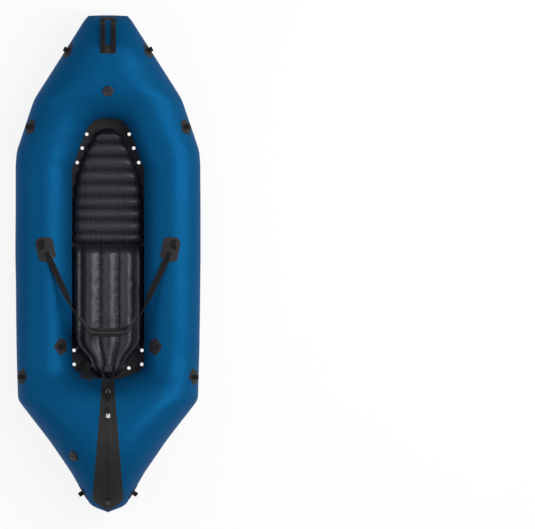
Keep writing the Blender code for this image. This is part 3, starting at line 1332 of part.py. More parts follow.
def make_rear_rigging(hull):
    """The anchor on the zip patch, its ring and the two straps that hold the back band's middle."""
    on_patch = CLEARANCE * 2 + PATCH_THICKNESS
    low_y, high_y = (share * HALF_LENGTH for share in REAR_ANCHOR_SHARES)
    half = REAR_ANCHOR_WIDTH / 2
    low, high = stern_deck_span()
    prism = block((-half, low_y, low), (half, high_y, high))
    strip = hull.glued(prism, STRAP_THICKNESS, CLEARANCE + PATCH_THICKNESS)
    origin = Vector((0, ZIP_ARC_Y, TUBE_RADIUS))
    target = hull.tree.ray_cast(Vector((0, REAR_LOOP_SHARE * HALF_LENGTH, STERN_HEIGHT * 2)), -UP)[0]
    frame = hull.frame(origin, target - origin, AHEAD, on_patch + STRAP_THICKNESS)
    stand = frame @ Matrix.Rotation(math.pi / 2, 4, "Z") @ Matrix.Rotation(math.pi / 2, 4, "X")
    outline = arch_outline(LOOP_SPAN, LOOP_RISE, LOOP_THICKNESS)
    arch = moved(outline_solid([outline], REAR_LOOP_WIDTH / 2), stand)
    arch = combined(arch, ("DIFFERENCE", hull.set_off(on_patch + STRAP_THICKNESS / 2)))
    add_part("rear_anchor", combined(strip, ("UNION", arch)), WEBBING)
    bar = REAR_RING_BAR / 2
    mean = REAR_RING_DIAMETER / 2 - bar
    back = [point for across, point in band_path() if across == 0][0]
    hold = math.radians(REAR_LOOP_ANGLE)
    hold_y = (LOOP_SPAN / 2 - LOOP_THICKNESS) * math.cos(hold)
    hold_z = (LOOP_RISE - LOOP_THICKNESS) * math.sin(hold) ** ARCH_SHARE
    loop = frame @ Vector((0, hold_y, hold_z))
    pull = (back - loop).normalized()
    sag = mean - math.sqrt(mean ** 2 - (REAR_LOOP_WIDTH / 2) ** 2)
    centre = loop + pull * (mean - sag - bar - CLEARANCE * 3)
    ring_frame = basis(centre, ABEAM, pull, ABEAM.cross(pull))
    angles = [math.tau * step / RING_STEPS for step in range(RING_STEPS)]
    profile = [(mean + bar * math.cos(a), bar * math.sin(a)) for a in angles[::2]]
    add_part("rear_ring", moved(turned_solid(profile, RING_STEPS), ring_frame), ZIP_METAL)
    for label, side in SIDES.items():
        angle = math.radians(REAR_RING_ANGLE)
        out = ABEAM * side * math.sin(angle) + pull * math.cos(angle)
        at_ring = centre + out * (mean + bar + CLEARANCE)
        across = REAR_STRAP_ACROSS / COCKPIT_HALF
        along = smooth([(-across, along) for across, along in BAND_POINTS_SHARES][::-1], across)
        lean = smooth(BAND_LEAN_SHARES, across) * REAR_STRAP_WIDTH / 2
        gap = BAND_THICKNESS / 2 + STRAP_THICKNESS * 2 + CLEARANCE * 4 + lean
        at_band = Vector((side * REAR_STRAP_ACROSS, along * HALF_LENGTH - gap, BAND_CENTRE_Z))
        path = [at_band, at_band.lerp(at_ring, 0.5), at_ring]
        strap = ribbon(path, [UP] * len(path), REAR_STRAP_WIDTH, REAR_STRAP_THICKNESS)
        add_part(f"{label}_rear_strap", strap, WEBBING)


def make_seat_anchor(hull):
    """The patch on the stern wall that holds the seat's port corner, and its strap."""
    inside = Vector((ANCHOR_ACROSS_SHARE * COCKPIT_HALF, STERN_SEAM_SHARE * HALF_LENGTH, ANCHOR_HEIGHT))
    frame = hull.frame(inside, AHEAD, UP, CLEARANCE + PATCH_THICKNESS)
    wide, high = ANCHOR_PATCH_WIDTH / 2, ANCHOR_PATCH_HEIGHT / 2
    brow = high * ANCHOR_CORNER_SHARE
    outline = [(-wide, -brow), (0, -high), (wide, -brow), (wide, high), (-wide, high)]
    patch = hull.glued(moved(outline_solid([outline], high), frame), PATCH_THICKNESS)
    add_part("seat_anchor_patch", patch, PATCH_FABRIC)
    corner = SEAT_PAD_SHARES[3][0]
    base = FLOOR_HEIGHT + FLOOR_THICKNESS / 2 + CLEARANCE
    edge = smooth(SEAT_PAD_SHARES, corner) * (COCKPIT_HALF - PAD_SIDE_GAP)
    start = frame @ Vector((0, 0, ANCHOR_STRAP_THICKNESS / 2 + CLEARANCE))
    top = start + frame.to_3x3() @ AHEAD * high / 2
    end = Vector((-edge + ANCHOR_STRAP_WIDTH / 4, corner * HALF_LENGTH, base + SEAT_PAD_VALLEY))
    path = [top, start, start.lerp(end, 0.5), end]
    strap = ribbon(path, [ABEAM] * len(path), ANCHOR_STRAP_WIDTH, ANCHOR_STRAP_THICKNESS)
    shifts = (UP * CLEARANCE * 2, -AHEAD * CLEARANCE * 2, (-UP - AHEAD) * CLEARANCE)
    pads = [moved(bpy.data.objects["seat_pad"].data.copy(), Matrix.Translation(shift)) for shift in shifts]
    steps = [("DIFFERENCE", pad) for pad in pads]
    seat = hull.set_off(CLEARANCE * 2 + PATCH_THICKNESS)
    add_part("seat_anchor_strap", combined(strap, *steps, ("DIFFERENCE", seat)), WEBBING)


def main():
    """Build every sub-part of the packraft."""
    clear_scene()
    hull = Hull()
    make_hull(hull)
    frames = valve_frames(hull)
    pocket_hull(frames)
    for name, frame in frames.items():
        make_valve(name, frame)
    make_floor(hull)
    make_wear_skins(hull)
    make_leg_pad()
    make_seat_pad()
    make_seat_valve()
    make_zip(hull)
    make_handle(hull)
    for row in FITTINGS:
        for label, side in SIDES.items():
            make_fitting(hull, row, label, side)
    for label, side in SIDES.items():
        make_side_rigging(hull, label, side)
    make_back_band()
    make_rear_rigging(hull)
    make_seat_anchor(hull)


main()
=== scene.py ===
"""Packraft, dressed: fabric hull, channelled air pads, webbing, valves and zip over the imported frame.

Metres, +Z up, +Y towards the bow, +X to starboard.
"""

import bpy
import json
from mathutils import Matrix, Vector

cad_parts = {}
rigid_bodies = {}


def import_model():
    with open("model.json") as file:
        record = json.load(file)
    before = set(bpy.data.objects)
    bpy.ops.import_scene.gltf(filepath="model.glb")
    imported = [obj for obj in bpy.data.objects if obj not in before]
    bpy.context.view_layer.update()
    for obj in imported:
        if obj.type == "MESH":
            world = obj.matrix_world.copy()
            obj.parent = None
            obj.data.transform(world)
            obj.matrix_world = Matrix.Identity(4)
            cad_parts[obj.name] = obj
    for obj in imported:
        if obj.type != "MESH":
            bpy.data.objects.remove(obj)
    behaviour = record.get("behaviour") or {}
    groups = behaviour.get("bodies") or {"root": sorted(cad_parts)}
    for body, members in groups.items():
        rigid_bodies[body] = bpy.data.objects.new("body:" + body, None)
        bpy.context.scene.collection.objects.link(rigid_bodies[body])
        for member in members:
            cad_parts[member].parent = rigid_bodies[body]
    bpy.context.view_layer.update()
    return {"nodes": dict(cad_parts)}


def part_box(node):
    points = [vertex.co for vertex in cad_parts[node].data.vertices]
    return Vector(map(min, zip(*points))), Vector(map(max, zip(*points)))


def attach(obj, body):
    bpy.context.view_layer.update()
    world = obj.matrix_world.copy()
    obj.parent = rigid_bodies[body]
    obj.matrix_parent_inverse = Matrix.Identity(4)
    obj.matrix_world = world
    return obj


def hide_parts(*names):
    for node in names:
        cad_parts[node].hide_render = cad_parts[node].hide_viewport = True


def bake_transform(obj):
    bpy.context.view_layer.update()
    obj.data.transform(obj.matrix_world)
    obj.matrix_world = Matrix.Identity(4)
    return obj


for leftover in list(bpy.data.objects):
    bpy.data.objects.remove(leftover, do_unlink=True)

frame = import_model()

import json
import logging
import math
from bisect import bisect_right
from dataclasses import dataclass, field
from enum import Enum
from typing import Any, Callable, Dict, List, NamedTuple, Optional, Sequence, Tuple

import bmesh
import numpy as np
from mathutils import Matrix, Vector, noise
from mathutils.bvhtree import BVHTree

LOG = logging.getLogger("packraft")

Pair = Tuple[float, float]
Table = Sequence[Pair]
Colour = Tuple[float, float, float]

UP = Vector((0.0, 0.0, 1.0))
AHEAD = Vector((0.0, 1.0, 0.0))
ABEAM = Vector((1.0, 0.0, 0.0))

PATCH_THICKNESS = 0.0017
RAY_HEIGHT = 0.7
THREAD_RADIUS = 0.0006
STITCH_SHARE = 0.62
WELD = 1e-6
FINE_WELD = 1e-7


class Side(Enum):
    """The two sides of the raft, with the sign of their place across."""

    PORT = -1
    STARBOARD = 1

    @property
    def label(self) -> str:
        """The side's name as the CAD nodes spell it."""
        return self.name.lower()


class Slot(Enum):
    """The record's material slots."""

    HULL = "blue_fabric"
    WEAR = "wear_fabric"
    PAD = "pad_fabric"
    PATCH = "patch_fabric"
    WEBBING = "webbing"
    PLASTIC = "black_plastic"
    MESH = "spacer_mesh"
    METAL = "zip_metal"
    STEEL = "spring_steel"


# Outline and cross-section tables: place along as a share of half the length, then a share of a size
OUTER: Table = (
    (-1.0, 0.006), (-0.9775, 0.182), (-0.92, 0.275), (-0.84, 0.398), (-0.714, 0.628), (-0.548, 0.972),
    (-0.33, 0.989), (0.03, 1.0), (0.4, 0.998), (0.4524, 0.986), (0.661, 0.799), (0.986, 0.246), (1.0, 0.205),
)
COCKPIT: Table = (
    (-0.47, 0.0), (-0.466, 0.2), (-0.4206, 0.972), (-0.336, 1.0), (0.377, 1.0), (0.421, 0.893),
    (0.482, 0.745), (0.547, 0.56), (0.573, 0.39), (0.583, 0.2), (0.586, 0.0),
)
BOW_CREST: Table = (
    (0.4, 0.0), (0.4524, 0.03), (0.5556, 0.13), (0.627, 0.3), (0.6825, 0.64), (0.73, 0.84), (0.786, 0.97),
    (0.825, 1.0), (0.865, 0.97), (0.916, 0.67), (0.957, 0.36), (0.983, -0.03), (0.994, -0.33), (1.0, -0.6),
)
STERN_CREST: Table = (
    (-0.635, 1.0), (-0.572, 0.8), (-0.508, 0.52), (-0.443, 0.163), (-0.381, 0.019), (-0.333, 0.0),
)
BOW_DECK: Table = (
    (0.586, 0.0), (0.5915, 0.33), (0.611, 0.67), (0.635, 0.863), (0.659, 0.95), (0.73, 0.99), (0.79, 1.0),
)
STERN_DECK: Table = (
    (-0.5913, 0.972), (-0.558, 0.935), (-0.5357, 0.87), (-0.508, 0.72), (-0.4913, 0.58), (-0.4762, 0.34),
    (-0.47, 0.0),
)
BOW_KEEL_FILL: Table = ((0.586, 0.0), (0.5915, 0.35), (0.611, 0.68), (0.635, 0.88), (0.667, 1.0))
STERN_KEEL_FILL: Table = (
    (-0.635, 1.0), (-0.556, 0.9), (-0.516, 0.76), (-0.492, 0.58), (-0.4762, 0.33), (-0.47, 0.0),
)
KEEL_HEIGHT: Table = (
    (-1.0, 1.24), (-0.99, 1.06), (-0.966, 0.794), (-0.929, 0.557), (-0.897, 0.446), (-0.832, 0.202),
    (-0.767, 0.056),
    (-0.702, 0.0), (0.464, 0.0), (0.529, 0.056), (0.595, 0.1), (0.722, 0.11), (0.789, 0.15), (0.854, 0.237),
    (0.918, 0.488), (0.951, 0.676), (0.967, 0.836), (0.983, 1.04), (0.994, 1.2), (1.0, 1.32),
)
WIDEST_HEIGHT: Table = (
    (-1.0, 1.32), (-0.873, 1.29), (-0.714, 1.185), (-0.595, 1.045), (-0.476, 1.0),
    (0.4524, 1.0), (0.675, 1.08), (0.833, 1.29), (0.952, 1.46), (1.0, 1.51),
)
CREST_ACROSS: Table = (
    (-1.0, 0.003), (-0.952, 0.05), (-0.833, 0.1), (-0.76, 0.15), (-0.698, 0.22), (-0.635, 0.42),
    (-0.572, 0.64),
    (-0.508, 0.8), (-0.443, 0.92), (-0.357, 0.98), (-0.278, 1.0), (0.357, 1.0), (0.4524, 0.965),
    (0.5556, 0.8), (0.627, 0.63),
    (0.6825, 0.46), (0.73, 0.28), (0.794, 0.11), (0.952, 0.08), (1.0, 0.06),
)
KEEL_ACROSS: Table = (
    (-1.0, 0.005), (-0.952, 0.09), (-0.833, 0.18), (-0.714, 0.37), (-0.635, 0.55), (-0.548, 0.8),
    (-0.476, 0.92),
    (-0.357, 1.0), (0.357, 1.0), (0.4524, 0.965), (0.5556, 0.83), (0.635, 0.64), (0.714, 0.46), (0.833, 0.28),
    (0.952, 0.15), (1.0, 0.09),
)
# Seams between the hull's panels seen from above, on the starboard half, in metres
MITRE_SEAMS: Sequence[Tuple[Pair, Pair]] = (
    ((0.475, 0.576), (0.15, 0.462)),
    ((0.39, 0.842), (0.085, 0.71)),
    ((0.468, -0.694), (0.15, -0.545)),
)
UNDER_SEAMS: Sequence[Tuple[Pair, Pair]] = (
    ((0.09, 1.26), (0.105, 0.78)),
    ((0.05, -1.215), (0.06, -0.70)),
)


def placed(name: str, data: bpy.types.ID) -> bpy.types.Object:
    """A new object in the scene, at the origin.

    Args:
        name: its name.
        data: its mesh, lamp or camera.

    Returns:
        The object.
    """
    piece = bpy.data.objects.new(name, data)
    bpy.context.scene.collection.objects.link(piece)
    return piece


def values_of(items: Any, label: str) -> np.ndarray:
    """One vector of each item of a mesh, such as its place.

    Args:
        items: the mesh's vertices or faces.
        label: the vector's name.

    Returns:
        The vectors as rows.
    """
    values = np.zeros(len(items) * 3)
    items.foreach_get(label, values)
    return values.reshape(-1, 3)


def linear(table: Table, place: float) -> float:
    """Value at a place in a table, straight between its points.

    Args:
        table: rows of place and value.
        place: where to read it.

    Returns:
        The value there, held at the table's ends.
    """
    places = [row[0] for row in table]
    if place <= places[0]:
        return table[0][1]
    if place >= places[-1]:
        return table[-1][1]
    after = bisect_right(places, place)
    (low, start), (high, end) = table[after - 1], table[after]
    return start + (end - start) * (place - low) / (high - low)


def smooth(table: Table, place: float) -> float:
    """Value at a place in a table, on a curve that never overshoots its points.

    Args:
        table: rows of place and value.
        place: where to read it.

    Returns:
        The value there, held at the table's ends.
    """
    places = [row[0] for row in table]
    if place <= places[0]:
        return table[0][1]
    if place >= places[-1]:
        return table[-1][1]
    after = bisect_right(places, place)
    slopes = [
        (table[i + 1][1] - table[i][1]) / (table[i + 1][0] - table[i][0])
        for i in range(max(after - 2, 0), min(after + 1, len(table) - 1))
    ]
    middle = slopes[1] if after >= 2 else slopes[0]
    before = slopes[0] if after >= 2 else middle
    behind = slopes[-1] if after < len(table) - 1 else middle

    def tangent(first: float, second: float, at_end: bool) -> float:
        """Slope at a table point from the slopes on its two sides."""
        if at_end:
            return middle
        if first * second <= 0:
            return 0.0
        return 2 * first * second / (first + second)

    (low, start), (high, end) = table[after - 1], table[after]
    span = high - low
    t = (place - low) / span
    lead = t * (1 - t) * (1 - t) * span * tangent(before, middle, after < 2)
    trail = t * t * (t - 1) * span * tangent(middle, behind, after >= len(table) - 1)
    return start + (end - start) * t * t * (3 - 2 * t) + lead + trail


def eased(t: float) -> float:
    """A share from 0 to 1, slow at both ends."""
    t = min(max(t, 0.0), 1.0)
    return t * t * (3 - 2 * t)


def basis(origin: Vector, x_axis: Vector, y_axis: Vector, z_axis: Vector) -> Matrix:
    """Matrix that takes local axes to the given directions at the origin.

    Args:
        origin: the place of the local origin.
        x_axis: direction of local X.
        y_axis: direction of local Y.
        z_axis: direction of local Z.

    Returns:
        The four by four matrix.
    """
    return Matrix.Translation(origin) @ Matrix((x_axis, y_axis, z_axis)).transposed().to_4x4()


def facing(matrix: Matrix, way: Vector) -> Vector:
    """A local direction in the raft's axes."""
    return (matrix.to_3x3() @ way).normalized()


def curve_through(points: Sequence[Vector], step: float) -> List[Vector]:
    """Points on a smooth curve through the given points, an even step apart.

    Args:
        points: the places that the curve passes.
        step: distance between the points returned.

    Returns:
        The resampled points, ends kept.
    """
    knots = [points[0] * 2 - points[1], *points, points[-1] * 2 - points[-2]]
    fine: List[Vector] = []
    for a, b, c, d in zip(knots, knots[1:], knots[2:], knots[3:]):
        for index in range(16):
            t = index / 16
            fine.append(
                0.5 * (
                    (b * 2) + (c - a) * t + (a * 2 - b * 5 + c * 4 - d) * t * t
                    + (b * 3 - a - c * 3 + d) * t ** 3)
            )
    fine.append(points[-1].copy())
    runs = [0.0]
    for first, second in zip(fine, fine[1:]):
        runs.append(runs[-1] + (second - first).length)
    count = max(int(round(runs[-1] / step)), 2)
    result = []
    for index in range(count + 1):
        place = runs[-1] * index / count
        after = min(max(bisect_right(runs, place), 1), len(runs) - 1)
        share = (place - runs[after - 1]) / max(runs[after] - runs[after - 1], 1e-9)
        result.append(fine[after - 1].lerp(fine[after], min(max(share, 0.0), 1.0)))
    return result


def rounded_outline(corners: Sequence[Pair], radius: float, steps: int = 5) -> List[Pair]:
    """A polygon with its corners rounded.

    Args:
        corners: the polygon's corners in order.
        radius: how far from each corner the rounding starts.
        steps: points on each rounded corner.

    Returns:
        The outline's points in order.
    """
    result: List[Pair] = []
    count = len(corners)
    for index in range(count):
        here = Vector(corners[index])
        before = Vector(corners[index - 1]) - here
        behind = Vector(corners[(index + 1) % count]) - here
        start = here + before.normalized() * min(radius, before.length * 0.45)
        end = here + behind.normalized() * min(radius, behind.length * 0.45)
        for step in range(steps + 1):
            t = step / steps
            point = start * (1 - t) ** 2 + here * 2 * t * (1 - t) + end * t * t
            result.append((point.x, point.y))
    return result


def even_outline(points: Sequence[Pair], count: int) -> List[Pair]:
    """A closed outline read at even distances.

    Args:
        points: the outline's points in order.
        count: how many to return.

    Returns:
        The even points, the first kept.
    """
    ring = [Vector(point) for point in points] + [Vector(points[0])]
    runs = [0.0]
    for first, second in zip(ring, ring[1:]):
        runs.append(runs[-1] + (second - first).length)
    result = []
    for index in range(count):
        place = runs[-1] * index / count
        after = min(bisect_right(runs, place), len(runs) - 1)
        share = (place - runs[after - 1]) / max(runs[after] - runs[after - 1], 1e-9)
        point = ring[after - 1].lerp(ring[after], share)
        result.append((point.x, point.y))
    return result


def distance_to_outline(point: Pair, outline: Sequence[Pair]) -> float:
    """Shortest distance from a point to a closed outline."""
    place = np.array(point)
    start = np.array(outline)
    end = np.roll(start, -1, axis=0)
    span = end - start
    share = np.clip(((place - start) * span).sum(1) / np.maximum((span ** 2).sum(1), 1e-12), 0, 1)
    return float(np.sqrt((((start + span * share[:, None]) - place) ** 2).sum(1)).min())


@dataclass
class Shape:
    """Points and faces of a piece, with a map in metres and named values for its finish."""

    points: np.ndarray
    faces: List[Tuple[int, ...]]
    chart: Optional[np.ndarray] = None
    marks: Dict[str, np.ndarray] = field(default_factory=dict)

    def moved(self, matrix: Matrix) -> "Shape":
        """The shape after a move.

        Args:
            matrix: the move.

        Returns:
            A new shape, its faces turned round where the move mirrors.
        """
        turn = np.array(matrix.to_3x3())
        points = self.points @ turn.T + np.array(matrix.translation)
        faces = [tuple(reversed(face)) for face in self.faces] if matrix.is_negative else list(self.faces)
        return Shape(points, faces, self.chart, dict(self.marks))

    def joined(self, *others: "Shape") -> "Shape":
        """This shape and others as one.

        Args:
            others: what is added.

        Returns:
            A new shape with all points and faces.
        """
        pieces = [self, *others]
        names = sorted({name for piece in pieces for name in piece.marks})
        faces: List[Tuple[int, ...]] = []
        start = 0
        for piece in pieces:
            faces += [tuple(index + start for index in face) for face in piece.faces]
            start += len(piece.points)
        charts = [p.chart if p.chart is not None else p.points[:, :2] for p in pieces]
        marks = {
            name: np.concatenate([p.marks.get(name, np.ones(len(p.points))) for p in pieces])
            for name in names
        }
        return Shape(np.concatenate([p.points for p in pieces]), faces, np.concatenate(charts), marks)

    def mesh(self, name: str, weld: float = 0.0) -> bpy.types.Mesh:
        """A mesh of the shape.

        Args:
            name: the mesh's name.
            weld: distance within which points are joined.

        Returns:
            The mesh with its map and marks.
        """
        made = bpy.data.meshes.new(name)
        made.from_pydata(self.points.tolist(), [], self.faces)
        chart = self.chart if self.chart is not None else self.points[:, :2]
        layer = made.uv_layers.new(name="metres")
        loops = np.zeros(len(made.loops), dtype=np.int32)
        made.loops.foreach_get("vertex_index", loops)
        layer.data.foreach_set("uv", np.asarray(chart, dtype=np.float32)[loops].ravel())
        for label, values in self.marks.items():
            mark = made.attributes.new(label, "FLOAT", "POINT")
            mark.data.foreach_set("value", np.asarray(values, dtype=np.float32))
        bm = bmesh.new()
        bm.from_mesh(made)
        if weld:
            bmesh.ops.remove_doubles(bm, verts=bm.verts, dist=weld)
        bmesh.ops.recalc_face_normals(bm, faces=bm.faces)
        bm.to_mesh(made)
        bm.free()
        return made


def united(pieces: Sequence[Shape]) -> Shape:
    """Several shapes as one."""
    return pieces[0].joined(*pieces[1:])


def grid(rows: np.ndarray, round_columns: bool = False, capped: bool = False) -> Shape:
    """A surface through rows of points.

    Args:
        rows: array of rows, columns and three.
        round_columns: whether the last column joins the first.
        capped: whether the first and last rows are closed with a face.

    Returns:
        The shape, charted by the distances along its columns and rows.
    """
    count, wide = rows.shape[:2]
    faces: List[Tuple[int, ...]] = []
    last = wide if round_columns else wide - 1
    for row in range(count - 1):
        base = row * wide
        for column in range(last):
            behind = (column + 1) % wide
            faces.append((base + column, base + behind, base + wide + behind, base + wide + column))
    if capped:
        faces.append(tuple(reversed(range(wide))))
        faces.append(tuple(range((count - 1) * wide, count * wide)))
    across = np.zeros((count, wide))
    across[:, 1:] = np.cumsum(np.linalg.norm(np.diff(rows, axis=1), axis=2), axis=1)
    along = np.zeros((count, wide))
    along[1:, :] = np.cumsum(np.linalg.norm(np.diff(rows, axis=0), axis=2).mean(axis=1))[:, None]
    chart = np.stack([across, along], axis=2).reshape(-1, 2)
    return Shape(rows.reshape(-1, 3).copy(), faces, chart)


def ribbon(path: Sequence[Vector], sides: Sequence[Vector], width: float, thickness: float) -> Shape:
    """A flat strap along a path, its edges rounded.

    Args:
        path: points along the strap's middle.
        sides: direction of the width at each point.
        width: the strap's width.
        thickness: the strap's thickness.

    Returns:
        The closed strap, charted across and along.
    """
    profile: List[Pair] = []
    half, deep = width / 2 - thickness / 2, thickness / 2
    for share in (-1.0, -0.5, 0.0, 0.5, 1.0):
        profile.append((half * share, deep))
    for step in range(1, 4):
        angle = math.pi / 2 - math.pi * step / 4
        profile.append((half + deep * math.cos(angle), deep * math.sin(angle)))
    for share in (1.0, 0.5, 0.0, -0.5, -1.0):
        profile.append((half * share, -deep))
    for step in range(1, 4):
        angle = -math.pi / 2 - math.pi * step / 4
        profile.append((-half + deep * math.cos(angle), deep * math.sin(angle)))
    rows = []
    for index, place in enumerate(path):
        along = (path[min(index + 1, len(path) - 1)] - path[max(index - 1, 0)]).normalized()
        side = sides[index]
        across = (side - along * side.dot(along)).normalized()
        out = across.cross(along)
        rows.append([tuple(place + across * x + out * z) for x, z in profile])
    shape = grid(np.array(rows), round_columns=True, capped=True)
    columns = np.array([x + width / 2 for x, _ in profile])
    shape.chart[:, 0] = np.tile(columns, len(path))
    shape.marks["edge"] = np.tile(np.minimum(columns, width - columns), len(path))
    return shape


def cable(path: Sequence[Vector], radius: float, sides: int = 10, closed: bool = False) -> Shape:
    """A round tube along a path.

    Args:
        path: points along its middle.
        radius: the tube's radius.
        sides: points round it.
        closed: whether the end joins the start.

    Returns:
        The closed tube.
    """
    rows = []
    count = len(path)
    normal = ABEAM if abs((path[1] - path[0]).normalized().dot(ABEAM)) < 0.9 else UP
    for index, place in enumerate(path):
        if closed:
            along = (path[(index + 1) % count] - path[index - 1]).normalized()
        else:
            along = (path[min(index + 1, count - 1)] - path[max(index - 1, 0)]).normalized()
        normal = (normal - along * normal.dot(along)).normalized()
        other = along.cross(normal)
        angles = [math.tau * step / sides for step in range(sides)]
        rows.append([tuple(place + (normal * math.cos(a) + other * math.sin(a)) * radius) for a in angles])
    if closed:
        rows.append(rows[0])
    return grid(np.array(rows), round_columns=True, capped=not closed)


def turned(
    profile: Sequence[Pair], steps: int = 64,
    ripple: Optional[Callable[[float, float, float], float]] = None,
) -> Shape:
    """A turned shape about Z.

    Args:
        profile: closed profile of radius and height.
        steps: how many places round it.
        ripple: change of radius at an angle, radius and height.

    Returns:
        The closed shape.
    """
    rows = []
    for step in range(steps):
        angle = math.tau * step / steps
        ring = []
        for radius, height in profile:
            grown = radius + (ripple(angle, radius, height) if ripple and radius else 0.0)
            ring.append((grown * math.cos(angle), grown * math.sin(angle), height))
        rows.append(ring)
    rows.append(rows[0])
    return grid(np.array(rows), round_columns=True)


def rounded_profile(corners: Sequence[Pair], radius: float) -> List[Pair]:
    """A turned profile with its corners off the axis rounded."""
    result: List[Pair] = []
    count = len(corners)
    for index, corner in enumerate(corners):
        if corner[0] == 0:
            result.append(corner)
            continue
        here = Vector(corner)
        before, behind = Vector(corners[index - 1]) - here, Vector(corners[(index + 1) % count]) - here
        reach = min(radius, before.length * 0.45, behind.length * 0.45)
        start, end = here + before.normalized() * reach, here + behind.normalized() * reach
        for step in range(4):
            t = step / 3
            point = start * (1 - t) ** 2 + here * 2 * t * (1 - t) + end * t * t
            result.append((max(point.x, 0.0), point.y))
    return result


def stitches(places: Sequence[Vector], outs: Sequence[Vector], thread: float = 0.0005) -> Shape:
    """A row of sewn stitches, each a short thread that dives in at both ends.

    Args:
        places: the holes along the row.
        outs: direction out of the cloth at each hole.
        thread: the thread's radius.

    Returns:
        All the stitches as one shape.
    """
    pieces = []
    for index in range(len(places) - 1):
        first, second = places[index], places[index + 1]
        middle = first.lerp(second, 0.5)
        half = (second - first) * STITCH_SHARE / 2
        out = outs[index]
        lift = out * thread
        path = [
            middle - half - lift, middle - half * 0.6 + lift, middle + half * 0.6 + lift,
            middle + half - lift]
        pieces.append(cable(path, thread, 6))
    return united(pieces)


class Section(NamedTuple):
    """One cross-section's driving places."""

    outer: float
    inner: float
    crest_x: float
    crest_z: float
    deck_z: float
    keel_x: float
    keel_z: float
    middle_z: float
    widest_z: float
    fill: float


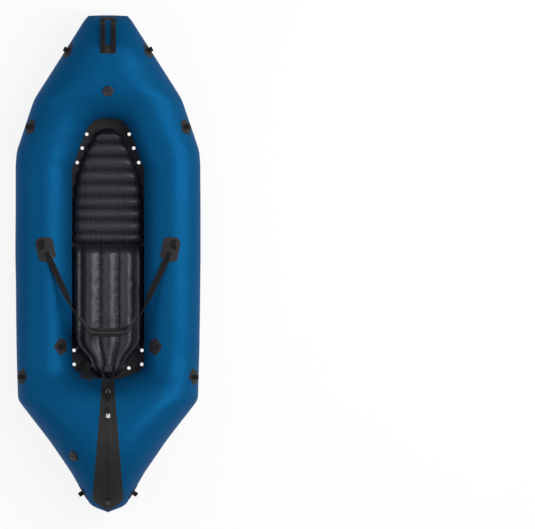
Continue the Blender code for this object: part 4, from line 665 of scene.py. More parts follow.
@dataclass
class HullForm:
    """The inflated hull's cross-sections, its fine surface, and rays onto it."""

    length: float = 2.52
    cockpit_width: float = 0.366
    tube_diameter: float = 0.287
    bow_height: float = 0.359
    stern_height: float = 0.405
    lift: float = 0.0015
    rest_width: float = 0.03
    stern_tip_share: float = 1.4015
    arc_top_share: float = -0.721
    arc_front_share: float = -0.5913
    station_step: float = 0.006
    arc_steps: int = 22
    wall_steps: int = 14
    turn_depth: float = 0.15
    rim: Optional[np.ndarray] = None
    tree: Optional[BVHTree] = None
    shape: Optional[Shape] = None

    @property
    def half_length(self) -> float:
        """Half the raft's length."""
        return self.length / 2

    @property
    def tube_radius(self) -> float:
        """Radius of a side tube."""
        return self.tube_diameter / 2

    @property
    def cockpit_half(self) -> float:
        """Half the cockpit's width."""
        return self.cockpit_width / 2

    @property
    def half_width(self) -> float:
        """Half the raft's width."""
        return self.cockpit_half + self.tube_diameter

    @property
    def tube_x(self) -> float:
        """Place across of a side tube's middle."""
        return self.cockpit_half + self.tube_radius

    @property
    def arc_y(self) -> float:
        """Place along of the round stern deck's top."""
        return self.arc_top_share * self.half_length

    @property
    def arc_lift(self) -> float:
        """Height of the round stern deck's centre above the underside."""
        tip = self.stern_tip_share * self.tube_radius
        run = (self.arc_top_share + 1) * self.half_length
        return (self.stern_height ** 2 - tip ** 2 - run ** 2) / (2 * (self.stern_height - tip))

    def arc_height(self, y: float) -> float:
        """Height of the round stern deck above the underside."""
        radius = self.stern_height - self.arc_lift
        return self.arc_lift + math.sqrt(max(radius ** 2 - (y - self.arc_y) ** 2, 0.0))

    def section(self, share: float) -> Section:
        """The cross-section's driving places.

        Args:
            share: place along as a share of half the length.

        Returns:
            The section there.
        """
        y = share * self.half_length
        radius, diameter = self.tube_radius, self.tube_diameter
        window = (-0.008, -0.004, 0.0, 0.004, 0.008)
        at_end = min(1 - abs(share), 0.008) / 0.008
        outer = sum(linear(OUTER, share + step * at_end) for step in window) / len(window) * self.half_width
        inner = smooth(COCKPIT, share) * self.cockpit_half
        keel_z = smooth(KEEL_HEIGHT, share) * radius
        if share < STERN_CREST[0][0]:
            crest_z = self.arc_height(y)
        elif share < 0:
            join = self.arc_height(STERN_CREST[0][0] * self.half_length)
            crest_z = diameter + smooth(STERN_CREST, share) * (join - diameter)
        else:
            crest_z = diameter + smooth(BOW_CREST, share) * (self.bow_height - diameter)
        open_here = COCKPIT[0][0] < share < COCKPIT[-1][0]
        deck, keel = (STERN_DECK, STERN_KEEL_FILL) if share < 0 else (BOW_DECK, BOW_KEEL_FILL)
        fill = 0.0 if open_here else smooth(deck, share)
        deck_z = radius + fill * (crest_z - radius)
        if share < self.arc_front_share:
            fill, deck_z = 1.0, self.arc_height(y)
        sunk = 0.0 if open_here else smooth(keel, share)
        return Section(
            outer=outer, inner=inner, crest_x=smooth(CREST_ACROSS, share) * self.tube_x, crest_z=crest_z,
            deck_z=deck_z, keel_x=smooth(KEEL_ACROSS, share) * self.tube_x, keel_z=keel_z,
            middle_z=radius + sunk * (keel_z - radius), widest_z=smooth(WIDEST_HEIGHT, share) * radius,
            fill=fill,
        )

    def rim_gap(self, x: float, y: float) -> float:
        """Distance in plan from a place to the cockpit's edge."""
        if self.rim is None:
            shares = np.linspace(COCKPIT[0][0], COCKPIT[-1][0], 400)
            self.rim = np.array(
                [(smooth(COCKPIT, s) * self.cockpit_half, s * self.half_length) for s in shares])
        start, span = self.rim[:-1], np.diff(self.rim, axis=0)
        share = np.clip((((x, y) - start) * span).sum(axis=1) / (span ** 2).sum(axis=1), 0, 1)
        return float(np.linalg.norm(start + span * share[:, None] - (x, y), axis=1).min())

    def turn_share(self, y: float) -> float:
        """How far the top is shaped by its distance from the cockpit's edge, 1 where the tube turns."""
        if y > 0:
            return eased((y - 0.6) / 0.09) * eased((0.95 - y) / 0.1)
        return eased((-y - 0.44) / 0.09) * eased((0.745 + y) / 0.085)

    def ring(self, share: float) -> List[Pair]:
        """Points of the starboard half's cross-section, from its inner end over the top and round.

        Args:
            share: place along as a share of half the length.

        Returns:
            Places across and heights.
        """
        s = self.section(share)
        wall = max(0.0, 1.0 - s.fill / 0.97)
        flat = min(self.rest_width / 2, s.keel_x * 0.4)
        points: List[Pair] = []
        y = share * self.half_length
        turn = self.turn_share(y)
        for step in range(self.wall_steps):
            t = step / self.wall_steps
            swing = math.sin(t * math.pi / 2)
            round_x = s.crest_x - (s.crest_x - s.inner) * math.cos(t * math.pi / 2)
            round_z = s.deck_z + (s.crest_z - s.deck_z) * swing
            plain_z = s.deck_z + (s.crest_z - s.deck_z) * swing ** 2
            x, z = round_x * wall + s.crest_x * t * (1 - wall), round_z * wall + plain_z * (1 - wall)
            if turn > 0:
                depth = min(max(self.rim_gap(x, y) - 2e-5, 0.0) / self.turn_depth, 1.0)
                bulge = (s.crest_z - self.tube_radius) * math.sqrt(1 - (1 - depth) ** 2)
                z += (self.tube_radius + bulge - z) * turn
            points.append((x, z))
        for step in range(self.arc_steps + 1):
            angle = step / self.arc_steps * math.pi / 2
            points.append((
                s.crest_x + (s.outer - s.crest_x) * math.sin(angle),
                s.widest_z + (s.crest_z - s.widest_z) * math.cos(angle),
            ))
        for step in range(1, self.arc_steps + 1):
            angle = step / self.arc_steps * math.pi / 2
            points.append((
                s.keel_x + flat + (s.outer - s.keel_x - flat) * math.cos(angle),
                s.widest_z - (s.widest_z - s.keel_z) * math.sin(angle),
            ))
        start = s.keel_x - flat
        for step in range(self.wall_steps + 1):
            t = step / self.wall_steps
            swing = math.sin(t * math.pi / 2)
            round_x = start - (start - s.inner) * swing
            round_z = s.middle_z - (s.middle_z - s.keel_z) * math.cos(t * math.pi / 2)
            plain_z = s.keel_z + (s.middle_z - s.keel_z) * swing ** 2
            points.append(
                (round_x * wall + start * (1 - t) * (1 - wall), round_z * wall + plain_z * (1 - wall)))
        return points

    def stations(self) -> List[float]:
        """Places along where the fine hull is drawn, closer at the cockpit's ends."""
        shares = set(np.round(np.arange(-1.0, 1.0 + self.station_step / 2, self.station_step), 5).tolist())
        for end, toward in ((COCKPIT[-1][0], 1), (COCKPIT[0][0], -1)):
            shares = {share for share in shares if not -0.016 < (share - end) * toward < 0.02}
            shares |= {round(end - toward * 0.016 * (step / 12) ** 2, 6) for step in range(13)}
            shares |= {round(end + toward * 0.02 * (step / 12) ** 2, 6) for step in range(13)}
        return sorted(shares)

    def build(self) -> Shape:
        """The whole fine surface, its two halves joined, with its seams pressed in.

        Returns:
            The closed shape.
        """
        shares = self.stations()
        rows = np.array([
            [(x, share * self.half_length, z + self.lift) for x, z in self.ring(share)] for share in shares
        ])
        gaps = np.diff(np.array(shares))
        even = (np.abs(gaps[1:] - self.station_step) < 1e-4) & (np.abs(gaps[:-1] - self.station_step) < 1e-4)
        for _ in range(4):
            inside = rows[1:-1].copy()
            blur = 0.25 * rows[:-2] + 0.5 * inside + 0.25 * rows[2:]
            rows[1:-1] = np.where(even[:, None, None], blur, inside)
        half = grid(rows)
        other = Shape(half.points * np.array((-1.0, 1.0, 1.0)), half.faces, half.chart)
        wide = rows.shape[1]
        caps = [self.end_cap(rows[index], direction) for index, direction in ((0, -1), (-1, 1))]
        whole = half.joined(other, *caps)
        mesh = whole.mesh("hull_draft", weld=2e-5)
        self.shape = self.with_seams(mesh)
        bpy.data.meshes.remove(mesh)
        self.tree = BVHTree.FromPolygons(self.shape.points.tolist(), self.shape.faces)
        LOG.info("hull surface: %d rows of %d, %d points", len(shares), wide, len(self.shape.points))
        return self.shape

    def end_cap(self, ring: np.ndarray, direction: int) -> Shape:
        """The face that closes the bow's or stern's tip, a little crowned.

        Args:
            ring: the last half cross-section.
            direction: 1 at the bow, -1 at the stern.

        Returns:
            The cap's shape.
        """
        full = np.concatenate([ring, ring[-2:0:-1] * np.array((-1.0, 1.0, 1.0))])
        centre = full.mean(axis=0)
        rows = []
        for share in (1.0, 0.9, 0.7, 0.45, 0.2, 0.02):
            row = centre + (full - centre) * share
            row[:, 1] += direction * 0.003 * (1 - share ** 2)
            rows.append(row)
        return grid(np.array(rows), round_columns=True, capped=False)

    def with_seams(self, mesh: bpy.types.Mesh) -> Shape:
        """The hull with its panel seams drawn in and the fabric gathered beside them.

        Args:
            mesh: the plain surface.

        Returns:
            The shape with the marks seam and run.
        """
        count = len(mesh.vertices)
        points, normals = values_of(mesh.vertices, "co"), values_of(mesh.vertices, "normal")
        spots = np.stack([np.abs(points[:, 0]), points[:, 1]], axis=1)
        seam = np.full(count, 0.2)
        run = np.zeros(count)
        for lines, below_only in ((MITRE_SEAMS, False), (UNDER_SEAMS, True)):
            for (ax, ay), (bx, by) in lines:
                start, span = np.array((ax, ay)), np.array((bx - ax, by - ay))
                share = np.clip(((spots - start) @ span) / (span @ span), 0, 1)
                gap = np.linalg.norm(start + span * share[:, None] - spots, axis=1)
                if below_only:
                    gap = np.where(normals[:, 2] < -0.2, gap, 0.2)
                nearer = gap < seam
                seam = np.where(nearer, gap, seam)
                run = np.where(nearer, share * math.sqrt(span @ span) + points[:, 2], run)
        press = -0.0006 * np.exp(-(seam / 0.006) ** 2)
        gather = 0.0006 * np.sin(run * math.tau / 0.034 + 3 * np.sin(run * 23)) * np.exp(-(seam / 0.03) ** 2)
        swell = np.array([noise.noise(Vector(point) * 5.0) for point in points.tolist()]) * 0.0012
        swell *= 1 - 0.8 * np.exp(-(points[:, 0] / 0.1) ** 4) * (points[:, 1] < -0.55)
        points = points + normals * (press + gather + swell + self.creases(points))[:, None]
        for valve in HULL_VALVES:
            points = valve.flattened(points)
        loops = np.zeros(len(mesh.loops), dtype=np.int32)
        mesh.loops.foreach_get("vertex_index", loops)
        chart_loops = np.zeros(len(mesh.loops) * 2)
        mesh.uv_layers["metres"].data.foreach_get("uv", chart_loops)
        chart = np.zeros((count, 2))
        chart[loops] = chart_loops.reshape(-1, 2)
        faces = [tuple(polygon.vertices) for polygon in mesh.polygons]
        return Shape(points, faces, chart, {"seam": seam, "run": run})

    def creases(self, points: np.ndarray) -> np.ndarray:
        """Depth of the small creases at the cockpit's ends and by the bow handle.

        Args:
            points: places on the hull.

        Returns:
            How far each point moves out.
        """
        x, y, z = points[:, 0], points[:, 1], points[:, 2]
        depth = np.zeros(len(points))
        for centre_x, centre_y, turn, reach, count, deep in (
            (-0.17, -0.585, 0.9, 0.09, 3.0, 0.0022), (0.15, -0.60, -0.8, 0.06, 2.0, 0.0012),
            (0.105, 1.165, 0.5, 0.05, 2.0, 0.0012), (-0.1, 0.74, -0.6, 0.06, 2.0, 0.0009),
            (0.1, 0.74, 0.6, 0.06, 2.0, 0.0009),
        ):
            along = (x - centre_x) * math.cos(turn) + (y - centre_y) * math.sin(turn)
            across = -(x - centre_x) * math.sin(turn) + (y - centre_y) * math.cos(turn)
            near = np.exp(-(along / reach) ** 2 - (across / (reach * 0.55)) ** 2) * (z > 0.08)
            depth += deep * near * np.sin(across * math.tau * count / reach + along * 9)
        return depth

    def cast(self, origin: Vector, direction: Vector) -> Tuple[Vector, Vector]:
        """Where a ray meets the hull, and the way out of the fabric there.

        Args:
            origin: start of the ray.
            direction: its direction.

        Returns:
            The place and the outward normal.
        """
        place, normal, _, _ = self.tree.ray_cast(origin, direction)
        if place is None:
            place, normal, _, _ = self.tree.find_nearest(origin)
        return place, normal

    def frame_at(self, origin: Vector, direction: Vector, along: Vector) -> Matrix:
        """Axes where a ray from inside meets the hull: Z out of the fabric and Y near along.

        Args:
            origin: start of the ray, inside the hull.
            direction: its direction.
            along: the direction that Y keeps near.

        Returns:
            The frame's matrix.
        """
        spread = self.rest_width / 2
        direction = direction.normalized()
        side = along.cross(direction).normalized()
        ahead = direction.cross(side)
        hits = [
            self.cast(origin + side * a + ahead * b, direction)[0]
            for a, b in ((spread, 0), (-spread, 0), (0, spread), (0, -spread), (0, 0))
        ]
        out = (hits[0] - hits[1]).cross(hits[2] - hits[3]).normalized()
        y_axis = (along - out * along.dot(out)).normalized()
        return basis(hits[4], y_axis.cross(out), y_axis, out)

    def drape(self, matrix: Matrix, x: float, y: float, level: float) -> Tuple[float, float, float]:
        """A point of a flat pattern laid on the fabric.

        Args:
            matrix: the pattern's frame.
            x: place across in the pattern.
            y: place along in the pattern.
            level: height above the fabric.

        Returns:
            The place in the raft's axes.
        """
        out = facing(matrix, UP)
        start = matrix @ Vector((x, y, 0.0)) + out * 0.05
        place, normal = self.cast(start, -out)
        if normal.dot(out) < 0:
            normal = -normal
        return tuple(place + normal * level)

    def contact(self, y: float, height: float) -> float:
        """Place across where the hull's underside comes down to a height.

        Args:
            y: place along.
            height: the height.

        Returns:
            The place across, zero where the hull's middle is lower.
        """
        def low(x: float) -> bool:
            """Whether the underside is below the height there."""
            place, _, _, _ = self.tree.ray_cast(Vector((x, y, -0.2)), UP)
            return place is not None and place.z <= height

        if low(0.0006):
            return 0.0
        start, end = 0.0, self.tube_x
        for _ in range(14):
            middle = (start + end) / 2
            if low(middle):
                end = middle
            else:
                start = middle
        return end


class NodeSheet:
    """One material's nodes, with short ways to lay them out."""

    def __init__(self, name: str) -> None:
        """Start an empty finish.

        Args:
            name: the material's name.
        """
        self.material = bpy.data.materials.new(name)
        self.material.use_nodes = True
        self.tree = self.material.node_tree
        self.shader = self.tree.nodes["Principled BSDF"]

    def add(self, kind: str, **settings: Any) -> bpy.types.Node:
        """A new node with its settings.

        Args:
            kind: the node's type.
            settings: properties set on it.

        Returns:
            The node.
        """
        node = self.tree.nodes.new(kind)
        for name, value in settings.items():
            setattr(node, name, value)
        return node

    def feed(self, value: Any, socket: bpy.types.NodeSocket) -> None:
        """Link a socket or set a number on an input."""
        if isinstance(value, bpy.types.NodeSocket):
            self.tree.links.new(value, socket)
        else:
            socket.default_value = value

    def math(self, operation: str, first: Any, second: Any = 0.0) -> bpy.types.NodeSocket:
        """Result of one sum on sockets or numbers.

        Args:
            operation: the sum's name.
            first: first value.
            second: second value.

        Returns:
            The result's socket.
        """
        node = self.add("ShaderNodeMath", operation=operation)
        self.feed(first, node.inputs[0])
        self.feed(second, node.inputs[1])
        return node.outputs[0]

    def times(self, first: Any, second: Any) -> bpy.types.NodeSocket:
        """Product of two values."""
        return self.math("MULTIPLY", first, second)

    def plus(self, first: Any, second: Any) -> bpy.types.NodeSocket:
        """Sum of two values."""
        return self.math("ADD", first, second)

    def spread(
        self, value: Any, low: float, high: float, start: float = 0.0, end: float = 1.0,
    ) -> bpy.types.NodeSocket:
        """A value mapped from one range to another, eased at both ends.

        Args:
            value: what is mapped.
            low: value that becomes start.
            high: value that becomes end.
            start: result at low.
            end: result at high.

        Returns:
            The mapped value's socket.
        """
        node = self.add("ShaderNodeMapRange", interpolation_type="SMOOTHSTEP")
        for socket, number in zip(node.inputs, (value, low, high, start, end)):
            self.feed(number, socket)
        return node.outputs[0]

    def blend(self, share: Any, first: Any, second: Any) -> bpy.types.NodeSocket:
        """A colour between two colours.

        Args:
            share: 0 for the first, 1 for the second.
            first: colour or socket.
            second: colour or socket.

        Returns:
            The colour's socket.
        """
        node = self.add("ShaderNodeMix", data_type="RGBA")
        self.feed(share, node.inputs[0])
        self.feed((*first, 1.0) if isinstance(first, tuple) else first, node.inputs[6])
        self.feed((*second, 1.0) if isinstance(second, tuple) else second, node.inputs[7])
        return node.outputs[2]

    def place(self, stretch: Tuple[float, float, float] = (1.0, 1.0, 1.0)) -> bpy.types.NodeSocket:
        """The point's place on the piece, in metres, stretched."""
        mapping = self.add("ShaderNodeMapping")
        self.tree.links.new(self.add("ShaderNodeTexCoord").outputs["Object"], mapping.inputs["Vector"])
        mapping.inputs["Scale"].default_value = stretch
        return mapping.outputs[0]

    def noise(self, scale: float, detail: float = 3.0, vector: Any = None) -> bpy.types.NodeSocket:
        """Cloudy variation from 0 to 1.

        Args:
            scale: lumps in a metre.
            detail: octaves of finer lumps.
            vector: place that it reads, the piece's own by default.

        Returns:
            The value's socket.
        """
        node = self.add("ShaderNodeTexNoise")
        self.feed(self.place() if vector is None else vector, node.inputs["Vector"])
        node.inputs["Scale"].default_value = scale
        node.inputs["Detail"].default_value = detail
        return node.outputs[0]

    def chart(self) -> Tuple[bpy.types.NodeSocket, bpy.types.NodeSocket]:
        """Distances across and along the cloth, in metres."""
        split = self.add("ShaderNodeSeparateXYZ")
        self.tree.links.new(self.add("ShaderNodeUVMap", uv_map="metres").outputs[0], split.inputs[0])
        return split.outputs[0], split.outputs[1]

    def wave(self, value: Any, pitch: float) -> bpy.types.NodeSocket:
        """A sine of a distance with the given pitch."""
        return self.math("SINE", self.times(value, math.tau / pitch))

    def weave(self, pitch: float) -> bpy.types.NodeSocket:
        """Height of a plain weave of the given thread pitch, from -1 to 1."""
        across, along = self.chart()
        return self.times(self.wave(across, pitch), self.wave(along, pitch))

    def mark(self, name: str) -> bpy.types.NodeSocket:
        """A named value of the piece."""
        return self.add("ShaderNodeAttribute", attribute_name=name).outputs["Fac"]

    def coat(self, colour: Any, rough: Any) -> None:
        """Set the surface's colour and roughness."""
        self.feed(colour, self.shader.inputs["Base Color"])
        self.feed(rough, self.shader.inputs["Roughness"])

    def dents(self, *layers: Tuple[Any, float]) -> None:
        """Bump the surface.

        Args:
            layers: heights, each with the height in metres that a value of 1 stands for.
        """
        normal = None
        for height, depth in layers:
            node = self.add("ShaderNodeBump")
            node.inputs["Strength"].default_value = 1.0
            node.inputs["Distance"].default_value = depth
            self.feed(height, node.inputs["Height"])
            if normal is not None:
                self.tree.links.new(normal, node.inputs["Normal"])
            normal = node.outputs[0]
        self.tree.links.new(normal, self.shader.inputs["Normal"])


@dataclass(frozen=True)
class Finish:
    """What a piece is made of, as it looks."""

    name: str
    slot: Slot
    colour: Colour
    roughness: float
    shine = 0.2

    def tint(self, factor: float) -> Colour:
        """The finish's colour made darker or lighter."""
        return tuple(min(part * factor, 1.0) for part in self.colour)

    def lay(self, sheet: NodeSheet) -> None:
        """Lay out the finish on a sheet of nodes."""
        raise NotImplementedError

    def material(self) -> bpy.types.Material:
        """The finish's material, made on first use."""
        found = bpy.data.materials.get(self.name)
        if found is not None:
            return found
        sheet = NodeSheet(self.name)
        sheet.shader.inputs["Specular IOR Level"].default_value = self.shine
        self.lay(sheet)
        return sheet.material


@dataclass(frozen=True)
class HullFabric(Finish):
    """Coated hull fabric: satin, a fine weave under the coating, seams taped from inside."""

    pitch: float = 0.0011
    tape: float = 0.0125
    shine = 0.08

    def lay(self, sheet: NodeSheet) -> None:
        """Lay out the hull's colour, sheen, weave and seams."""
        broad = sheet.noise(1.6, 2.0)
        fine = sheet.noise(55.0, 4.0)
        scuff = sheet.spread(sheet.noise(16.0, 6.0, sheet.place((1.0, 0.25, 1.0))), 0.62, 0.8)
        seam = sheet.mark("seam")
        line = sheet.spread(seam, 0.0012, 0.0042, 1.0, 0.0)
        colour = sheet.blend(broad, self.tint(0.9), self.tint(1.12))
        colour = sheet.blend(sheet.times(fine, 0.12), colour, self.tint(1.6))
        colour = sheet.blend(sheet.times(scuff, 0.05), colour, (0.05, 0.15, 0.26))
        colour = sheet.blend(sheet.times(line, 0.2), colour, self.tint(0.35))
        rough = sheet.plus(sheet.times(sheet.noise(7.0, 3.0), 0.12), self.roughness - 0.06)
        rough = sheet.plus(rough, sheet.times(scuff, 0.08))
        sheet.coat(colour, rough)
        sheet.shader.inputs["Metallic"].default_value = 0.35
        sheet.shader.inputs["Specular Tint"].default_value = (0.08, 0.4, 0.8, 1.0)
        tape = sheet.spread(seam, self.tape - 0.0012, self.tape, 1.0, 0.0)
        sheet.dents(
            (tape, 0.00035), (sheet.weave(self.pitch), 0.000025), (sheet.noise(120.0, 3.0), 0.00012),
            (sheet.noise(24.0, 2.0), 0.0009))


@dataclass(frozen=True)
class WearFabric(Finish):
    """Heavy black fabric, coarser and scuffed pale where it drags."""

    pitch: float = 0.0016

    def lay(self, sheet: NodeSheet) -> None:
        """Lay out the wear fabric's colour, scuffs, weave and cut edge."""
        drag = sheet.noise(30.0, 6.0, sheet.place((1.0, 0.12, 1.0)))
        scuff = sheet.spread(drag, 0.55, 0.78)
        edge = sheet.spread(sheet.mark("edge"), 0.0015, 0.0035, 1.0, 0.0)
        colour = sheet.blend(sheet.noise(2.5, 3.0), self.tint(0.82), self.tint(1.15))
        colour = sheet.blend(sheet.times(scuff, 0.16), colour, (0.075, 0.073, 0.072))
        colour = sheet.blend(sheet.times(edge, 0.75), colour, (0.03, 0.024, 0.02))
        rough = sheet.plus(sheet.times(drag, 0.2), self.roughness - 0.08)
        sheet.coat(colour, rough)
        sheet.dents(
            (edge, 0.0002), (sheet.weave(self.pitch), 0.00006), (sheet.noise(95.0, 3.0), 0.00018),
            (sheet.noise(18.0, 3.0), 0.0011))


@dataclass(frozen=True)
class PadFabric(Finish):
    """Satin air-pad fabric with welded seams."""

    pitch: float = 0.0008
    shine = 0.42

    def lay(self, sheet: NodeSheet) -> None:
        """Lay out the pad's colour, satin, weave and weld lines."""
        seam = sheet.mark("seam")
        weld = sheet.spread(seam, 0.0022, 0.0034, 1.0, 0.0)
        near = sheet.spread(seam, 0.002, 0.016, 1.0, 0.0)
        colour = sheet.blend(sheet.noise(5.0, 3.0), self.tint(0.85), self.tint(1.2))
        colour = sheet.blend(sheet.times(weld, 0.7), colour, self.tint(0.4))
        rough = sheet.plus(sheet.times(sheet.noise(22.0, 4.0), 0.16), self.roughness - 0.08)
        rough = sheet.plus(rough, sheet.times(weld, 0.12))
        sheet.coat(colour, rough)
        crinkle = sheet.times(sheet.noise(75.0, 5.0), near)
        sheet.dents(
            (sheet.noise(18.0, 2.0), 0.0006), (crinkle, 0.0006), (sheet.weave(self.pitch), 0.00003),
            (sheet.noise(240.0, 2.0), 0.00004))


@dataclass(frozen=True)
class PatchCloth(Finish):
    """Glued patch cloth with a visible weave, its raised threads painted lighter as painted highlight, and a
    pale cut edge.
    """

    pitch: float = 0.0013
    rim: float = 0.0011

    def lay(self, sheet: NodeSheet) -> None:
        """Lay out the patch's colour, weave and edge."""
        edge = sheet.spread(sheet.mark("edge"), self.rim * 0.6, self.rim, 1.0, 0.0)
        weave = sheet.weave(self.pitch)
        colour = sheet.blend(sheet.noise(28.0, 4.0), self.tint(0.75), self.tint(1.3))
        # Painted highlight: the weave's raised threads are drawn lighter, following the bump's height.
        colour = sheet.blend(sheet.spread(weave, -1.0, 1.0, 0.0, 0.3), colour, self.tint(1.9))
        colour = sheet.blend(sheet.times(edge, 0.6), colour, self.tint(2.6))
        rough = sheet.plus(sheet.times(sheet.noise(60.0, 3.0), 0.15), self.roughness - 0.08)
        sheet.coat(colour, rough)
        sheet.dents((weave, 0.00007), (sheet.noise(45.0, 3.0), 0.0006))


@dataclass(frozen=True)
class WebbingWeave(Finish):
    """Woven strap: lengthwise ribs crossed by a slanted thread, edges a little worn."""

    rib: float = 0.0021
    thread: float = 0.0016
    shine = 0.12

    def lay(self, sheet: NodeSheet) -> None:
        """Lay out the webbing's ribs, threads, colour and wear."""
        across, along = sheet.chart()
        ribs = sheet.wave(across, self.rib)
        slant = sheet.wave(sheet.plus(along, sheet.times(across, 0.8)), self.thread)
        height = sheet.plus(sheet.times(ribs, 0.6), sheet.times(slant, 0.4))
        worn = sheet.spread(sheet.mark("edge"), 0.0004, 0.0022, 1.0, 0.0)
        # Painted shade and highlight: the colour is darker in the weave's grooves and lighter on its ribs,
        # following the bump's height.
        colour = sheet.blend(sheet.spread(height, -0.8, 0.9), self.tint(0.5), self.tint(1.5))
        colour = sheet.blend(sheet.times(sheet.noise(35.0, 4.0), 0.25), colour, self.tint(2.2))
        colour = sheet.blend(sheet.times(worn, 0.35), colour, self.tint(3.0))
        rough = sheet.plus(sheet.times(sheet.noise(90.0, 2.0), 0.12), self.roughness - 0.06)
        sheet.coat(colour, rough)
        sheet.shader.inputs["Sheen Weight"].default_value = 0.04
        sheet.dents((height, 0.00022), (sheet.noise(50.0, 2.0), 0.0004))


@dataclass(frozen=True)
class MouldedPlastic(Finish):
    """Moulded nylon with a fine spark texture and rubbed edges."""

    grain: float = 900.0
    shine = 0.5

    def lay(self, sheet: NodeSheet) -> None:
        """Lay out the plastic's colour, grain and rub marks."""
        grain = sheet.noise(self.grain, 2.0)
        rub = sheet.spread(sheet.noise(85.0, 5.0), 0.58, 0.75)
        colour = sheet.blend(sheet.noise(18.0, 2.0), self.tint(0.85), self.tint(1.2))
        colour = sheet.blend(sheet.times(rub, 0.18), colour, self.tint(3.2))
        rough = sheet.plus(sheet.times(grain, 0.12), self.roughness - 0.06)
        sheet.coat(colour, sheet.math("SUBTRACT", rough, sheet.times(rub, 0.06)))
        sheet.dents((grain, 0.00004), (sheet.noise(60.0, 2.0), 0.00012))


@dataclass(frozen=True)
class SpacerKnit(Finish):
    """Open spacer mesh over foam, with rows of small holes."""

    pitch: float = 0.0034

    def lay(self, sheet: NodeSheet) -> None:
        """Lay out the mesh's holes, threads and colour, the holes darkened as painted shade."""
        across, along = sheet.chart()
        skew = sheet.plus(along, sheet.times(across, 0.5))
        holes = sheet.times(sheet.wave(across, self.pitch), sheet.wave(skew, self.pitch))
        open_here = sheet.spread(holes, 0.15, 0.6)
        colour = sheet.blend(sheet.noise(40.0, 3.0), self.tint(0.8), self.tint(1.4))
        # Painted shade: the holes are drawn dark as the shade inside them.
        colour = sheet.blend(open_here, colour, self.tint(0.2))
        rough = sheet.plus(sheet.times(open_here, 0.1), self.roughness - 0.05)
        sheet.coat(colour, rough)
        sheet.shader.inputs["Sheen Weight"].default_value = 0.05
        sheet.dents((sheet.math("SUBTRACT", 1.0, open_here), 0.0006), (sheet.noise(30.0, 2.0), 0.0008))


@dataclass(frozen=True)
class CastMetal(Finish):
    """Plated metal, brushed and lightly worn."""

    shine = 0.5

    def lay(self, sheet: NodeSheet) -> None:
        """Lay out the metal's colour, brushing and wear."""
        brushed = sheet.noise(260.0, 4.0, sheet.place((1.0, 0.08, 1.0)))
        worn = sheet.spread(sheet.noise(140.0, 5.0), 0.5, 0.75)
        colour = sheet.blend(sheet.times(worn, 0.4), self.colour, self.tint(0.55))
        sheet.shader.inputs["Metallic"].default_value = 1.0
        rough = sheet.plus(sheet.times(brushed, 0.2), self.roughness - 0.08)
        sheet.coat(colour, rough)
        sheet.dents((brushed, 0.00003))


@dataclass(frozen=True)
class BraidedCord(Finish):
    """Braided cord sheath, its plaits crossing both ways."""

    plait: float = 0.0016

    def lay(self, sheet: NodeSheet) -> None:
        """Lay out the braid's plaits and colour."""
        across, along = sheet.chart()
        one = sheet.wave(sheet.plus(along, across), self.plait)
        other = sheet.wave(sheet.math("SUBTRACT", along, across), self.plait)
        height = sheet.math("MAXIMUM", one, other)
        # Painted shade and highlight: the colour is darker between the plaits and lighter on their crowns,
        # following the bump's height.
        colour = sheet.blend(sheet.spread(height, -0.2, 1.0), self.tint(0.4), self.tint(1.7))
        colour = sheet.blend(sheet.times(sheet.noise(150.0, 3.0), 0.3), colour, self.tint(2.5))
        rough = sheet.plus(sheet.times(height, 0.08), self.roughness)
        sheet.coat(colour, rough)
        sheet.dents((height, 0.0002))


@dataclass(frozen=True)
class SewnThread(Finish):
    """Bonded thread, twisted."""

    twist: float = 0.0007

    def lay(self, sheet: NodeSheet) -> None:
        """Lay out the thread's twist and colour."""
        across, along = sheet.chart()
        twist = sheet.wave(sheet.plus(along, across), self.twist)
        # Painted shade and highlight: the colour is darker in the twist's grooves and lighter on its crowns,
        # following the bump's height.
        colour = sheet.blend(sheet.spread(twist, -1.0, 1.0), self.tint(0.6), self.tint(1.4))
        rough = sheet.plus(sheet.times(sheet.noise(300.0, 2.0), 0.1), self.roughness)
        sheet.coat(colour, rough)
        sheet.dents((twist, 0.0001))


BLUE = HullFabric("hull_fabric_blue", Slot.HULL, (0.0025, 0.068, 0.17), 0.5)
WEAR = WearFabric("wear_fabric_black", Slot.WEAR, (0.024, 0.024, 0.026), 0.56)
FLOOR = WearFabric("floor_fabric_black", Slot.WEAR, (0.022, 0.021, 0.024), 0.5, 0.0014)
PAD = PadFabric("pad_fabric_satin", Slot.PAD, (0.0195, 0.017, 0.0228), 0.39)
PATCH = PatchCloth("patch_cloth_black", Slot.PATCH, (0.0165, 0.015, 0.0172), 0.66)
ZIP_CLOTH = PatchCloth("zip_cloth_charcoal", Slot.PATCH, (0.0125, 0.0124, 0.0124), 0.58, 0.0012, 0.0016)
WEB = WebbingWeave("strap_webbing_black", Slot.WEBBING, (0.0075, 0.0072, 0.0078), 0.74)
BINDING = WebbingWeave("edge_binding_black", Slot.WEBBING, (0.044, 0.041, 0.045), 0.68, 0.0016, 0.0012)
PLASTIC = MouldedPlastic("moulded_nylon_black", Slot.PLASTIC, (0.014, 0.0135, 0.015), 0.4)
SOFT_PLASTIC = MouldedPlastic("zip_tape_plastic", Slot.PLASTIC, (0.011, 0.011, 0.0115), 0.34, 1400.0)
KNIT = SpacerKnit("spacer_mesh_black", Slot.MESH, (0.0085, 0.0078, 0.0098), 0.82)
METAL = CastMetal("plated_metal", Slot.METAL, (0.78, 0.78, 0.79), 0.26)
DARK_METAL = CastMetal("blackened_metal", Slot.METAL, (0.16, 0.16, 0.165), 0.34)
STEEL = CastMetal("spring_steel_wire", Slot.STEEL, (0.56, 0.56, 0.57), 0.3)
CORD = BraidedCord("pull_cord_black", Slot.WEBBING, (0.012, 0.012, 0.013), 0.7)
THREAD = SewnThread("bonded_thread_black", Slot.WEBBING, (0.03, 0.03, 0.032), 0.6)


